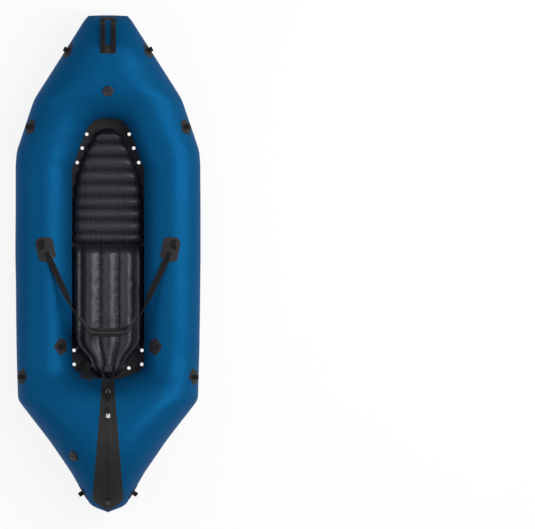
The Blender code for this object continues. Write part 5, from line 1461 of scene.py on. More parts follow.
@dataclass
class Workshop:
    """Makes objects of shapes, gives them their finish and hangs them on their bodies."""

    raft_body: str = "raft"
    count: int = 0

    def make(
        self,
        name: str,
        shape: Shape,
        finish: Finish,
        body: Optional[str] = None,
        stands_for: Sequence[str] = (),
        crisp: float = 50.0,
        weld: float = 0.0,
    ) -> bpy.types.Object:
        """A finished piece that rides on a body.

        Args:
            name: the piece's name.
            shape: its points and faces.
            finish: what it is made of.
            body: the body it rides on, the raft by default, or an empty text for none yet.
            stands_for: CAD nodes that it replaces.
            crisp: angle in degrees above which an edge stays sharp.
            weld: distance within which points are joined.

        Returns:
            The new object.
        """
        for mark, value in (("edge", 0.01), ("seam", 0.2)):
            shape.marks.setdefault(mark, np.full(len(shape.points), value))
        mesh = shape.mesh(name, weld)
        mesh.materials.append(finish.material())
        mesh.shade_smooth()
        mesh.set_sharp_from_angle(angle=math.radians(crisp))
        piece = placed(name, mesh)
        if body != "":
            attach(piece, body or self.raft_body)
        if stands_for:
            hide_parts(*stands_for)
        self.count += 1
        LOG.info("%s: %d points, %s", name, len(mesh.vertices), finish.name)
        return piece

    def dress(self, node: str, finish: Finish, bevel: float = 0.0) -> None:
        """Give a CAD node that stays in view its finish and rounded edges.

        Args:
            node: the node's name.
            finish: what it is made of.
            bevel: width of the rounding on its edges.
        """
        piece = frame["nodes"][node]
        piece.data.materials.clear()
        piece.data.materials.append(finish.material())
        if bevel:
            rounding = piece.modifiers.new("edge_rounding", "BEVEL")
            rounding.width = bevel
            rounding.segments = 3
            rounding.limit_method = "ANGLE"
            rounding.angle_limit = math.radians(35)
            rounding.harden_normals = False
        LOG.info("%s keeps its CAD shape, %s", node, finish.name)


def read_shape(mesh: bpy.types.Mesh) -> Shape:
    """The points and faces of a mesh as a shape, charted from above."""
    points = values_of(mesh.vertices, "co")
    return Shape(points, [tuple(polygon.vertices) for polygon in mesh.polygons], points[:, :2].copy())


def point_normals(shape: Shape) -> np.ndarray:
    """Outward directions at a shape's points."""
    mesh = shape.mesh("normals_draft")
    normals = values_of(mesh.vertices, "normal")
    bpy.data.meshes.remove(mesh)
    return normals


def after_modifiers(shape: Shape, add: Callable[[bpy.types.Object], None]) -> Shape:
    """A shape after modifiers.

    Args:
        shape: what they work on.
        add: puts the modifiers on the object it is given.

    Returns:
        The changed shape.
    """
    draft = placed("draft", shape.mesh("draft"))
    add(draft)
    bpy.context.view_layer.update()
    done = bpy.data.meshes.new_from_object(draft.evaluated_get(bpy.context.evaluated_depsgraph_get()))
    result = read_shape(done)
    old = draft.data
    bpy.data.objects.remove(draft, do_unlink=True)
    bpy.data.meshes.remove(old)
    bpy.data.meshes.remove(done)
    return result


def subdivided(shape: Shape) -> Shape:
    """A shape after smooth subdivision."""
    def add(draft: bpy.types.Object) -> None:
        """Put the subdivision on."""
        finer = draft.modifiers.new("finer", "SUBSURF")
        finer.levels = 1
        finer.render_levels = 1

    return after_modifiers(shape, add)


def plate(outlines: Sequence[Sequence[Pair]], low: float, high: float, bevel: float = 0.0004) -> Shape:
    """A flat plate with holes and rounded edges, its flat faces at two heights.

    Args:
        outlines: the rim first, then any holes.
        low: height of the lower face.
        high: height of the upper face.
        bevel: radius of the edges.

    Returns:
        The closed plate.
    """
    data = bpy.data.curves.new("plate", "CURVE")
    data.dimensions = "2D"
    data.fill_mode = "BOTH"
    data.extrude = (high - low) / 2 - bevel
    data.bevel_depth = bevel
    data.bevel_resolution = 2
    data.offset = -bevel
    for points in outlines:
        spline = data.splines.new("POLY")
        spline.points.add(len(points) - 1)
        for point, (x, y) in zip(spline.points, points):
            point.co = (x, y, 0.0, 1.0)
        spline.use_cyclic_u = True
    draft = placed("plate", data)
    bpy.context.view_layer.update()
    mesh = bpy.data.meshes.new_from_object(draft.evaluated_get(bpy.context.evaluated_depsgraph_get()))
    bm = bmesh.new()
    bm.from_mesh(mesh)
    bmesh.ops.remove_doubles(bm, verts=bm.verts, dist=1e-6)
    bm.to_mesh(mesh)
    bm.free()
    shape = read_shape(mesh).moved(Matrix.Translation((0, 0, (low + high) / 2)))
    bpy.data.objects.remove(draft, do_unlink=True)
    bpy.data.curves.remove(data)
    bpy.data.meshes.remove(mesh)
    shape.marks["edge"] = np.full(len(shape.points), 0.01)
    return shape


def rounded_bar(length: float, width: float, low: float, high: float) -> Shape:
    """A bar with a round back and round ends, lying along X.

    Args:
        length: its length.
        width: its width.
        low: height of its foot.
        high: height of its back.

    Returns:
        The closed bar.
    """
    rows = []
    for step in range(25):
        t = math.pi * step / 24
        x = -math.cos(t) * length / 2
        swell = math.sin(t) ** 0.35 if 0 < step < 24 else 0.04
        ring = []
        for turn in range(16):
            angle = math.tau * turn / 16
            squarish = math.copysign(abs(math.cos(angle)) ** 0.6, math.cos(angle))
            across = squarish * width / 2 * (0.3 + 0.7 * swell)
            tall = math.copysign(abs(math.sin(angle)) ** 0.6, math.sin(angle))
            middle = low + (high - low) * swell / 2
            ring.append((x, across, middle + tall * (high - low) / 2 * swell))
        rows.append(ring)
    return grid(np.array(rows), round_columns=True, capped=True)


def applied_patch(
    form: HullForm, matrix: Matrix, outline: Sequence[Pair], thickness: float,
    hole: Optional[Sequence[Pair]] = None,
) -> Shape:
    """A patch glued on the hull, following it, with a rolled edge.

    Args:
        form: the hull.
        matrix: the pattern's frame, Z out of the fabric.
        outline: the pattern's outline.
        thickness: the patch's thickness.
        hole: the outline of a window in it.

    Returns:
        The patch's shape, with its distance from the edge marked.
    """
    count = 96
    rim = even_outline(outline, count)
    centre = (sum(p[0] for p in rim) / count, sum(p[1] for p in rim) / count)
    if hole:
        start = min(range(count), key=lambda index: math.dist(rim[index], hole[0]))
        inner = even_outline(hole, count)
        rim = rim[start:] + rim[:start]
        shares = (0.0, 0.0, 0.012, 0.05, 0.2, 0.4, 0.6, 0.8, 0.95, 0.988, 1.0, 1.0)
    else:
        inner = [centre] * count
        shares = (0.0, 0.0, 0.012, 0.04, 0.1, 0.2, 0.34, 0.5, 0.66, 0.82, 0.94, 0.995)
    rows = []
    edges = []
    charts = []
    for index, share in enumerate(shares):
        last = len(shares) - 1
        sunk = index == 0 or (hole and index == last)
        rolled = index == 1 or (hole and index == last - 1)
        level = -0.0006 if sunk else thickness * (0.55 if rolled else 1.0)
        row = []
        for (ax, ay), (bx, by) in zip(rim, inner):
            x, y = ax + (bx - ax) * share, ay + (by - ay) * share
            row.append(form.drape(matrix, x, y, level))
            gap = distance_to_outline((x, y), outline)
            if hole:
                gap = min(gap, distance_to_outline((x, y), hole))
            edges.append(0.0 if sunk else gap)
            charts.append((x, y))
        rows.append(row)
    shape = grid(np.array(rows), round_columns=True)
    shape.chart = np.array(charts)
    shape.marks["edge"] = np.array(edges)
    return shape


def omega_path(span: float, rise: float, foot: float) -> List[Vector]:
    """The side view of a webbing loop: two flat feet with an arch between them, in X and Z."""
    points = [
        Vector((-span / 2 - foot, 0, 0)), Vector((-span / 2 - foot * 0.5, 0, 0)),
        Vector((-span / 2, 0, rise * 0.06))]
    for step in range(1, 8):
        angle = math.pi * (1 - step / 8)
        points.append(Vector((math.cos(angle) * span / 2 * 1.04, 0, rise * math.sin(angle) ** 0.7)))
    points += [
        Vector((span / 2, 0, rise * 0.06)), Vector((span / 2 + foot * 0.5, 0, 0)),
        Vector((span / 2 + foot, 0, 0))]
    return points


@dataclass
class WebbingLoop:
    """A sewn webbing loop that stands on a patch."""

    width: float = 0.022
    span: float = 0.026
    rise: float = 0.0205
    foot: float = 0.012
    thickness: float = 0.0022

    def build(
        self, form: HullForm, matrix: Matrix, turn: float = 0.0, level: float = 0.0,
    ) -> Tuple[Shape, Shape]:
        """The loop and its stitches.

        Args:
            form: the hull that its feet follow.
            matrix: frame on the patch, Z out.
            turn: turn of the loop about Z.
            level: height of the patch's face above the fabric.

        Returns:
            The loop's shape and the stitches' shape.
        """
        spin = Matrix.Rotation(turn, 4, "Z")
        local = matrix @ spin
        out = facing(matrix, UP)
        side = facing(local, AHEAD)
        path = []
        for point in curve_through(omega_path(self.span, self.rise, self.foot), 0.0018):
            flat = spin @ Vector((point.x, 0, 0))
            ground = Vector(form.drape(matrix, flat.x, flat.y, level + self.thickness / 2 + 0.0002))
            path.append(ground + out * max(point.z, 0.0))
        strap = ribbon(path, [side] * len(path), self.width, self.thickness)
        rows = []
        for end in (-1, 1):
            for share in (0.25, 0.8):
                x = end * (self.span / 2 + self.foot * share)
                holes = []
                for step in range(8):
                    y = (step / 7 - 0.5) * self.width * 0.8
                    flat = spin @ Vector((x, y, 0))
                    holes.append(Vector(form.drape(matrix, flat.x, flat.y, level + self.thickness + 0.0003)))
                rows.append(stitches(holes, [out] * len(holes)))
        return strap, united(rows)


@dataclass
class HullSkin:
    """The blue hull fabric, in one piece over the six chambers."""

    form: HullForm
    nodes: Tuple[str, ...] = (
        "stern_tube", "bow_nose_tube", "port_side_tube", "starboard_side_tube", "port_bow_tube",
        "starboard_bow_tube",
    )

    def dress(self, shop: Workshop) -> None:
        """Build the hull's surface and dress it in fabric."""
        shop.make("hull_skin", self.form.build(), BLUE, stands_for=self.nodes, crisp=60)


@dataclass
class WearSkins:
    """The black fabric glued under the tubes, in to the floor."""

    form: HullForm
    outline: Table = (
        (-0.8316, 0.0649), (-0.668, 0.384), (-0.655, 0.3878), (0.564, 0.3862), (0.578, 0.371),
        (0.8203, 0.2914), (1.0231, 0.0987),
    )
    thickness: float = 0.0015
    step: float = 0.005
    columns: int = 30
    nodes: Tuple[str, ...] = ("bow_wear_skin", "stern_wear_skin", "port_wear_skin", "starboard_wear_skin")

    def half(self, sign: int) -> Shape:
        """One side's skin, draped on the hull from below.

        Args:
            sign: 1 for starboard, -1 for port.

        Returns:
            The shape with its distance from the outer edge marked.
        """
        first, last = self.outline[0][0], self.outline[-1][0]
        count = int((last - first) / self.step)
        rows, edges = [], []
        for index in range(-1, count + 2):
            y = first + (last - first) * min(max(index, 0), count) / count
            outer = linear(self.outline, y)
            inner = self.form.contact(y, 0.0475)
            inner = 0.0 if inner < 0.002 else min(max(inner - 0.0035, 0.0), outer - 0.01)
            row, gaps = [], []
            for column in range(-1, self.columns + 2):
                share = min(max(column, 0), self.columns) / self.columns
                x = inner + (outer - inner) * (0.5 - 0.5 * math.cos(math.pi * share))
                place, normal = self.form.cast(Vector((sign * max(x, 0.0003), y, -0.2)), UP)
                border = column > self.columns or (column < 0 and inner > 0) or index in (-1, count + 1)
                level = -0.0004 if border and column != 0 and column != self.columns else self.thickness
                point = place + normal * level
                row.append((0.0 if x == 0 else point.x, point.y, max(point.z, 0.0002)))
                slope = 0.93
                gaps.append(min((outer - x) * slope, y - first, last - y))
            rows.append(row)
            edges.append(gaps)
        half = grid(np.array(rows))
        half.marks["edge"] = np.array(edges).ravel()
        return half

    def dress(self, shop: Workshop) -> None:
        """Dress the skins in heavy black fabric, both sides joined at the bow and stern."""
        shop.make("wear_skin", self.half(1).joined(self.half(-1)), WEAR, stands_for=self.nodes, weld=3e-5)


@dataclass
class FloorSheet:
    """The laced-in floor with its drain holes and their welded rings."""

    form: HullForm
    height: float = 0.048
    thickness: float = 0.0025
    hole: float = 0.0175
    ring_width: float = 0.004
    drains: Tuple[Pair, ...] = (
        (0.1076, 0.6571), (0.1307, 0.5865), (0.1561, 0.5134), (0.1724, -0.4397), (0.1717, -0.5109),
        (0.1061, -0.5298),
    )
    first: float = -0.634
    last: float = 0.781

    def build(self) -> Shape:
        """The sheet with its holes cut."""
        rows_top = []
        count, columns = 236, 60
        for index in range(count + 1):
            y = self.first + (self.last - self.first) * index / count
            edge = self.form.contact(y, self.height) + 0.004
            row = []
            for column in range(columns + 1):
                x = -edge + 2 * edge * column / columns
                lift = 0.0007 * noise.noise(Vector((x * 14, y * 9, 0.3)))
                near = math.exp(-((x + 0.13) / 0.05) ** 2 - ((y + 0.53) / 0.06) ** 2)
                lift += 0.0022 * near * math.sin((x * 0.7 - y) * 190)
                for dx, dy in self.drains:
                    if math.hypot(abs(x) - dx, y - dy) < self.hole:
                        lift = 0.0
                row.append((x, y, self.height + self.thickness / 2 + lift))
            rows_top.append(row)
        top = np.array(rows_top)
        under = top[:, ::-1].copy()
        under[:, :, 2] -= self.thickness
        sheet = grid(np.concatenate([top, under], axis=1), round_columns=True, capped=True)
        cutters = []
        for x, y in self.drains:
            for side in Side:
                post = [(0, -0.02), (self.hole / 2, -0.02), (self.hole / 2, 0.02), (0, 0.02)]
                place = Matrix.Translation((side.value * x, y, self.height))
                cutters.append(turned(post, 40).moved(place))
        drill = placed("drill", united(cutters).mesh("drill", weld=WELD))

        def add(draft: bpy.types.Object) -> None:
            """Put the cut on."""
            cut = draft.modifiers.new("drains", "BOOLEAN")
            cut.operation = "DIFFERENCE"
            cut.solver = "EXACT"
            cut.object = drill

        done = after_modifiers(sheet, add)
        bpy.data.objects.remove(drill, do_unlink=True)
        plan = np.abs(done.points[:, 0]), done.points[:, 1]
        gaps = [np.abs(np.hypot(plan[0] - x, plan[1] - y) - self.hole / 2) + 0.0035 for x, y in self.drains]
        done.marks["edge"] = np.minimum.reduce(gaps)
        return done

    def rings(self) -> Shape:
        """The welded rings round the holes."""
        inner, outer = self.hole / 2 + 0.0002, self.hole / 2 + self.ring_width
        half = self.thickness / 2
        profile = rounded_profile(
            [
                (inner, -half - 0.0008), (outer, -half - 0.0008), (outer, half + 0.0008),
                (inner, half + 0.0008)], 0.0006)
        ring = turned(profile, 40)
        pieces = [
            ring.moved(Matrix.Translation((side.value * x, y, self.height)))
            for x, y in self.drains for side in Side
        ]
        return united(pieces)

    def dress(self, shop: Workshop) -> None:
        """Dress the floor and its rings."""
        shop.make("floor_sheet", self.build(), FLOOR, stands_for=("floor_panel",), crisp=35)
        rings = self.rings()
        rings.marks["edge"] = np.full(len(rings.points), 0.01)
        shop.make("drain_rings", rings, PATCH, weld=WELD)


class Channels(Enum):
    """Which way a pad's sewn channels run."""

    ACROSS = "across"
    ALONG = "along"


@dataclass(frozen=True)
class Puff:
    """How the cloth solver swells a pad, its seams held."""

    voxel: float = 0.005
    pressure: float = 4.0
    frames: int = 20
    cap: float = 0.007
    slack: float = 0.008
    ease: int = 14

    def swell(self, shape: Shape, held: Callable[[np.ndarray], np.ndarray]) -> Shape:
        """The pad after remeshing, inflation and one subdivision.

        Args:
            shape: the slightly small pad.
            held: share from 0 to 1 that each point is held by.

        Returns:
            The swollen shape.
        """
        def remesh(draft: bpy.types.Object) -> None:
            """Put the even remesh on."""
            even = draft.modifiers.new("even", "REMESH")
            even.mode = "VOXEL"
            even.voxel_size = self.voxel

        plain = after_modifiers(shape, remesh)
        scene = bpy.context.scene
        mesh = plain.mesh("pad_draft")
        draft = placed("pad_draft", mesh)
        group = draft.vertex_groups.new(name="held")
        for index, share in enumerate(held(plain.points).tolist()):
            group.add([index], share, "REPLACE")
        cloth = draft.modifiers.new("air", "CLOTH")
        settings = cloth.settings
        settings.quality = 5
        settings.mass = 0.15
        settings.tension_stiffness = 12
        settings.compression_stiffness = 12
        settings.shear_stiffness = 6
        settings.bending_stiffness = 2.5
        settings.use_pressure = True
        settings.uniform_pressure_force = self.pressure
        settings.vertex_group_mass = "held"
        settings.shrink_min = -self.slack
        settings.effector_weights.gravity = 0
        cloth.point_cache.frame_start = 1
        cloth.point_cache.frame_end = self.frames
        for step in range(1, self.frames + 1):
            scene.frame_set(step)
        done = bpy.data.meshes.new_from_object(draft.evaluated_get(bpy.context.evaluated_depsgraph_get()))
        points = read_shape(done).points
        scene.frame_set(1)
        bpy.data.objects.remove(draft, do_unlink=True)
        bpy.data.meshes.remove(done)
        moves = points - plain.points
        ends = np.array([tuple(edge.vertices) for edge in mesh.edges])
        links = np.bincount(ends.ravel(), minlength=len(moves))[:, None]
        for _ in range(self.ease):
            total = np.stack([
                np.bincount(ends[:, 0], moves[ends[:, 1], axis], len(moves))
                + np.bincount(ends[:, 1], moves[ends[:, 0], axis], len(moves)) for axis in range(3)
            ], axis=1)
            moves = 0.4 * moves + 0.6 * total / links
        far = np.linalg.norm(moves, axis=1, keepdims=True)
        plain.points = plain.points + moves * np.minimum(1.0, self.cap / np.maximum(far, 1e-9))
        return subdivided(plain)


@dataclass
class AirPad:
    """An inflated pad with welded channels."""

    name: str
    node: str
    outline: Table
    ends: Pair
    seams: Sequence[float]
    run: Channels
    thickness: float
    valley: float
    form: HullForm
    side_gap: float = 0.0015
    floor: float = 0.04955
    scallop: float = 0.05
    undercut: float = 0.94
    ripple: float = 0.0011
    ripple_pitch: float = 0.021
    hold_disc: Optional[Tuple[float, float, float]] = None

    def half_width(self, y: float) -> float:
        """Half width of the pad at a place along, without its scallops."""
        return smooth(self.outline, y / self.form.half_length) * (self.form.cockpit_half - self.side_gap)

    def channel(self, place: float) -> float:
        """Height share of the channel at a place across or along, 0 on a seam and 1 between seams."""
        for start, end in zip(self.seams, self.seams[1:]):
            if start <= place <= end:
                return max(math.sin(math.pi * (place - start) / (end - start)), 0.0) ** 0.55
        return 0.0

    def height(self, across: float, y: float) -> float:
        """Height of the pad's top above the floor.

        Args:
            across: place across as a share of the half width.
            y: place along.

        Returns:
            The height.
        """
        share = y / self.form.half_length
        first, last = self.ends
        along = (share - first) / (last - first)
        bulge = self.channel(share if self.run is Channels.ACROSS else across)
        crown = math.sqrt(max(1 - abs(across) ** 7, 0.0))
        tip = math.sin(min(1.0, max(along * 13, 0.0), max((1 - along) * 15, 0.0)) * math.pi / 2)
        ridge = self.thickness - self.valley * (1 - bulge)
        return ridge * (0.34 + 0.66 * crown) * (0.4 + 0.6 * max(tip, 0.0))

    def build(self) -> Shape:
        """The pad before it is swollen: rows of closed rings."""
        first, last = (share * self.form.half_length for share in self.ends)
        rows = []
        count, columns = 150, 76
        for index in range(count + 1):
            y = first + (last - first) * (0.5 - 0.5 * math.cos(math.pi * index / count))
            half = self.half_width(y)
            if self.run is Channels.ACROSS:
                half *= 1 - self.scallop * (1 - self.channel(y / self.form.half_length))
            half -= 0.003
            ring = []
            for column in range(columns + 1):
                across = -math.cos(math.pi * column / columns)
                ring.append((half * across, y, self.floor + self.height(across, y) - 0.002))
            for column in range(9):
                across = 1 - 2 * column / 8
                ring.append((half * self.undercut * across, y, self.floor))
            rows.append(ring)
        return grid(np.array(rows), round_columns=True, capped=True)

    def seam_gap(self, points: np.ndarray) -> np.ndarray:
        """Distance in plan from each point to the nearest channel seam."""
        if self.run is Channels.ACROSS:
            lines = np.array(self.seams) * self.form.half_length
            return np.abs(points[:, 1:2] - lines[None, :]).min(axis=1)
        halves = np.array([self.half_width(y) for y in points[:, 1].tolist()])
        lines = np.array(self.seams[1:-1])
        return np.abs(points[:, :1] - lines[None, :] * halves[:, None]).min(axis=1)

    def held(self, points: np.ndarray) -> np.ndarray:
        """How firmly the seams, the foot and the valve's seat are held while the pad swells."""
        gap = self.seam_gap(points)
        share = np.clip(1.4 - gap / 0.006, 0, 1)
        share = np.where(points[:, 2] < self.floor + 0.006, 1.0, share)
        if self.hold_disc:
            x, y, radius = self.hold_disc
            away = np.hypot(points[:, 0] - x, points[:, 1] - y)
            share = np.maximum(share, np.clip(1.6 - away / radius, 0, 1))
        return share

    def finished(self, swollen: Shape) -> Shape:
        """The swollen pad with its weld lines pressed in and the fabric gathered along them.

        Args:
            swollen: the pad after the cloth solver.

        Returns:
            The pad's final shape with its seams marked.
        """
        points = swollen.points
        normals = point_normals(swollen)
        gap = self.seam_gap(points)
        x, y = points[:, 0], points[:, 1]
        place = x if self.run is Channels.ACROSS else y
        upper = np.clip(normals[:, 2] * 2, 0, 1)
        press = -0.0045 * np.exp(-(gap / 0.0026) ** 2) * upper
        wander = place * math.tau / self.ripple_pitch
        wander = wander + 2.2 * np.sin(place * 41) + 1.3 * np.sin(place * 97 + 1)
        gather = self.ripple * np.sin(wander) * np.exp(-(gap / 0.013) ** 2) * upper
        if self.run is Channels.ACROSS:
            rear = np.abs(y - self.seams[0] * self.form.half_length - 0.012)
            gather *= 1 + 1.6 * np.exp(-(rear / 0.03) ** 2)
        else:
            front = np.abs(y - self.ends[1] * self.form.half_length)
            wave = np.sin(x * math.tau / 0.019 + 2 * np.sin(x * 53))
            gather += 0.0016 * wave * np.exp(-(front / 0.022) ** 2) * upper
        points = points + normals * (press + gather)[:, None]
        points[:, 2] = np.maximum(points[:, 2], self.floor)
        if self.hold_disc:
            disc_x, disc_y, radius = self.hold_disc
            away = np.hypot(points[:, 0] - disc_x, points[:, 1] - disc_y)
            level = self.floor + self.height((self.seams[2] + self.seams[3]) / 2, disc_y) + 0.0001
            near = (away < radius) & (points[:, 2] > self.floor + 0.02)
            points[near, 2] = np.minimum(points[near, 2], level)
        return Shape(points, swollen.faces, points[:, :2].copy(), {"seam": gap})

    def dress(self, shop: Workshop, puff: Puff) -> None:
        """Swell the pad and dress it in satin fabric.

        Args:
            shop: makes the piece.
            puff: how it is swollen.
        """
        shape = self.finished(puff.swell(self.build(), self.held))
        piece = shop.make(self.name, shape, PAD, stands_for=(self.node,), crisp=80)


@dataclass
class SeatValve:
    """The seat pad's twist valve on its welded square of fabric."""

    form: HullForm
    y: float = -0.53361
    z: float = 0.122697
    body_radius: float = 0.018
    body_height: float = 0.006
    cap_radius: float = 0.013
    cap_height: float = 0.008

    def dress(self, shop: Workshop) -> None:
        """Build the valve's base square, its body and its ribbed cap."""
        place = Matrix.Translation((0, self.y, self.z))
        square = rounded_outline([(-0.022, -0.017), (0.022, -0.017), (0.022, 0.019), (-0.022, 0.019)], 0.007)
        weld = plate([square], 0.0029, 0.0042, 0.0005)
        shop.make("seat_valve_square", weld.moved(place), PATCH)
        r, h = self.body_radius, self.body_height
        ring = rounded_profile([(0, 0), (r, 0), (r, h * 0.75), (r * 0.86, h), (0, h)], 0.001)
        shop.make(
            "seat_valve_base", turned(ring, 72).moved(place), PLASTIC, stands_for=("seat_valve_body",),
            weld=WELD)
        low, cap = h + 0.0003, self.cap_radius

        def ribs(angle: float, radius: float, height: float) -> float:
            """Finger ribs on the cap's rim."""
            return 0.0005 * math.cos(angle * 18) if radius > cap * 0.8 else 0.0

        top = low + self.cap_height
        profile = [
            (0, low), (cap, low), (cap, top - 0.001), (cap * 0.86, top - 0.0012), (cap * 0.8, top - 0.0026),
            (0, top - 0.0026)]
        knob = turned(rounded_profile(profile, 0.0008), 108, ribs)
        wing = rounded_bar(cap * 1.6, 0.005, top - 0.003, top)
        shop.make(
            "seat_valve_knob", knob.joined(wing).moved(place), PLASTIC, body="seat_cap",
            stands_for=("seat_valve_cap",), weld=WELD)


@dataclass
class HullValve:
    """A hull valve: flanged body, sprung plunger and bayonet cap."""

    label: str
    origin: Vector
    x_axis: Vector
    z_axis: Vector
    flange: float = 0.028
    barrel: float = 0.02
    bore: float = 0.015
    neck: float = 0.0175
    neck_height: float = 0.009
    depth: float = 0.024
    wall: float = 0.0025
    cap_radius: float = 0.025
    cap_foot: float = 0.0033
    cap_crown: float = 0.0113

    @property
    def matrix(self) -> Matrix:
        """The valve's axes, as its joints turn about them."""
        z_axis = self.z_axis.normalized()
        x_axis = (self.x_axis - z_axis * self.x_axis.dot(z_axis)).normalized()
        return basis(self.origin, x_axis, z_axis.cross(x_axis), z_axis)

    def flattened(self, points: np.ndarray) -> np.ndarray:
        """The hull's points with the fabric laid flat under the valve's flange.

        Args:
            points: places on the hull.

        Returns:
            The places, moved near the valve only.
        """
        turn, origin = np.array(self.matrix.to_3x3()), np.array(self.origin)
        local = (points - origin) @ turn
        share = np.clip((0.055 - np.hypot(local[:, 0], local[:, 1])) / 0.024, 0, 1)
        share = share * share * (3 - 2 * share) * (np.abs(local[:, 2]) < 0.03)
        local[:, 2] += (-0.0003 - local[:, 2]) * share
        return np.where(share[:, None] > 0, local @ turn.T + origin, points)

    def body(self) -> Shape:
        """The flanged body with its bore."""
        guide = 0.0038
        floor = self.wall - self.depth
        profile = [
            (guide, -self.depth), (self.barrel, -self.depth), (self.barrel, 0.0003), (self.flange, 0.0003),
            (self.flange, 0.0024), (self.flange * 0.93, 0.003), (self.neck, 0.003),
            (self.neck, self.neck_height),
            (self.bore, self.neck_height), (self.bore, floor), (guide, floor),
        ]
        return turned(rounded_profile(profile, 0.0007), 96)

    def cap(self) -> Shape:
        """The bayonet cap with a notched rim, a sunk top and a grip wing."""
        r, foot, crown = self.cap_radius, self.cap_foot, self.cap_crown
        inside, under = self.neck + 0.0008, self.neck_height + 0.0003

        def notches(angle: float, radius: float, height: float) -> float:
            """Shallow scallops round the rim."""
            if radius < r * 0.94:
                return 0.0
            return -0.0009 * max(math.cos(angle * 12), 0.0) ** 3

        profile = [
            (0, under), (inside, under), (inside, foot), (r, foot), (r, crown - 0.0016), (r * 0.95, crown),
            (r * 0.84, crown), (r * 0.78, crown - 0.0018), (0, crown - 0.0018),
        ]
        disc = turned(rounded_profile(profile, 0.0009), 144, notches)
        wing = rounded_bar(0.035, 0.0065, crown - 0.0022, crown + 0.0038)
        bosses = [
            turned(rounded_profile([(0, 0), (0.003, 0), (0.003, 0.0012), (0, 0.0012)], 0.0005), 24).moved(
                Matrix.Translation((0.0125 * math.cos(a), 0.0125 * math.sin(a), crown - 0.0019)))
            for a in (math.radians(60), math.radians(120), math.radians(240), math.radians(300))
        ]
        return disc.joined(wing, *bosses)

    def dress(self, shop: Workshop) -> None:
        """Dress the valve's body and cap, and the plunger and spring inside it."""
        shop.make(
            f"{self.label}_valve_housing", self.body().moved(self.matrix), PLASTIC,
            stands_for=(f"{self.label}_valve_body",), weld=WELD)
        shop.make(
            f"{self.label}_valve_bayonet_cap", self.cap().moved(self.matrix), PLASTIC,
            body=f"{self.label}_cap",
            stands_for=(f"{self.label}_valve_cap",), weld=WELD)
        shop.dress(f"{self.label}_valve_plunger", PLASTIC, 0.0003)
        shop.dress(f"{self.label}_valve_spring", STEEL)


HULL_VALVES = (
    HullValve("bow", Vector((0, 0.8757, 0.333525)), ABEAM, Vector((0, -0.291, 0.9567))),
    HullValve(
        "stern", Vector((-0.1739, -0.9765, 0.336737)), Vector((0.6909, 0, 0.7230)),
        Vector((-0.6654, -0.3912, 0.6358)),
    ),
)


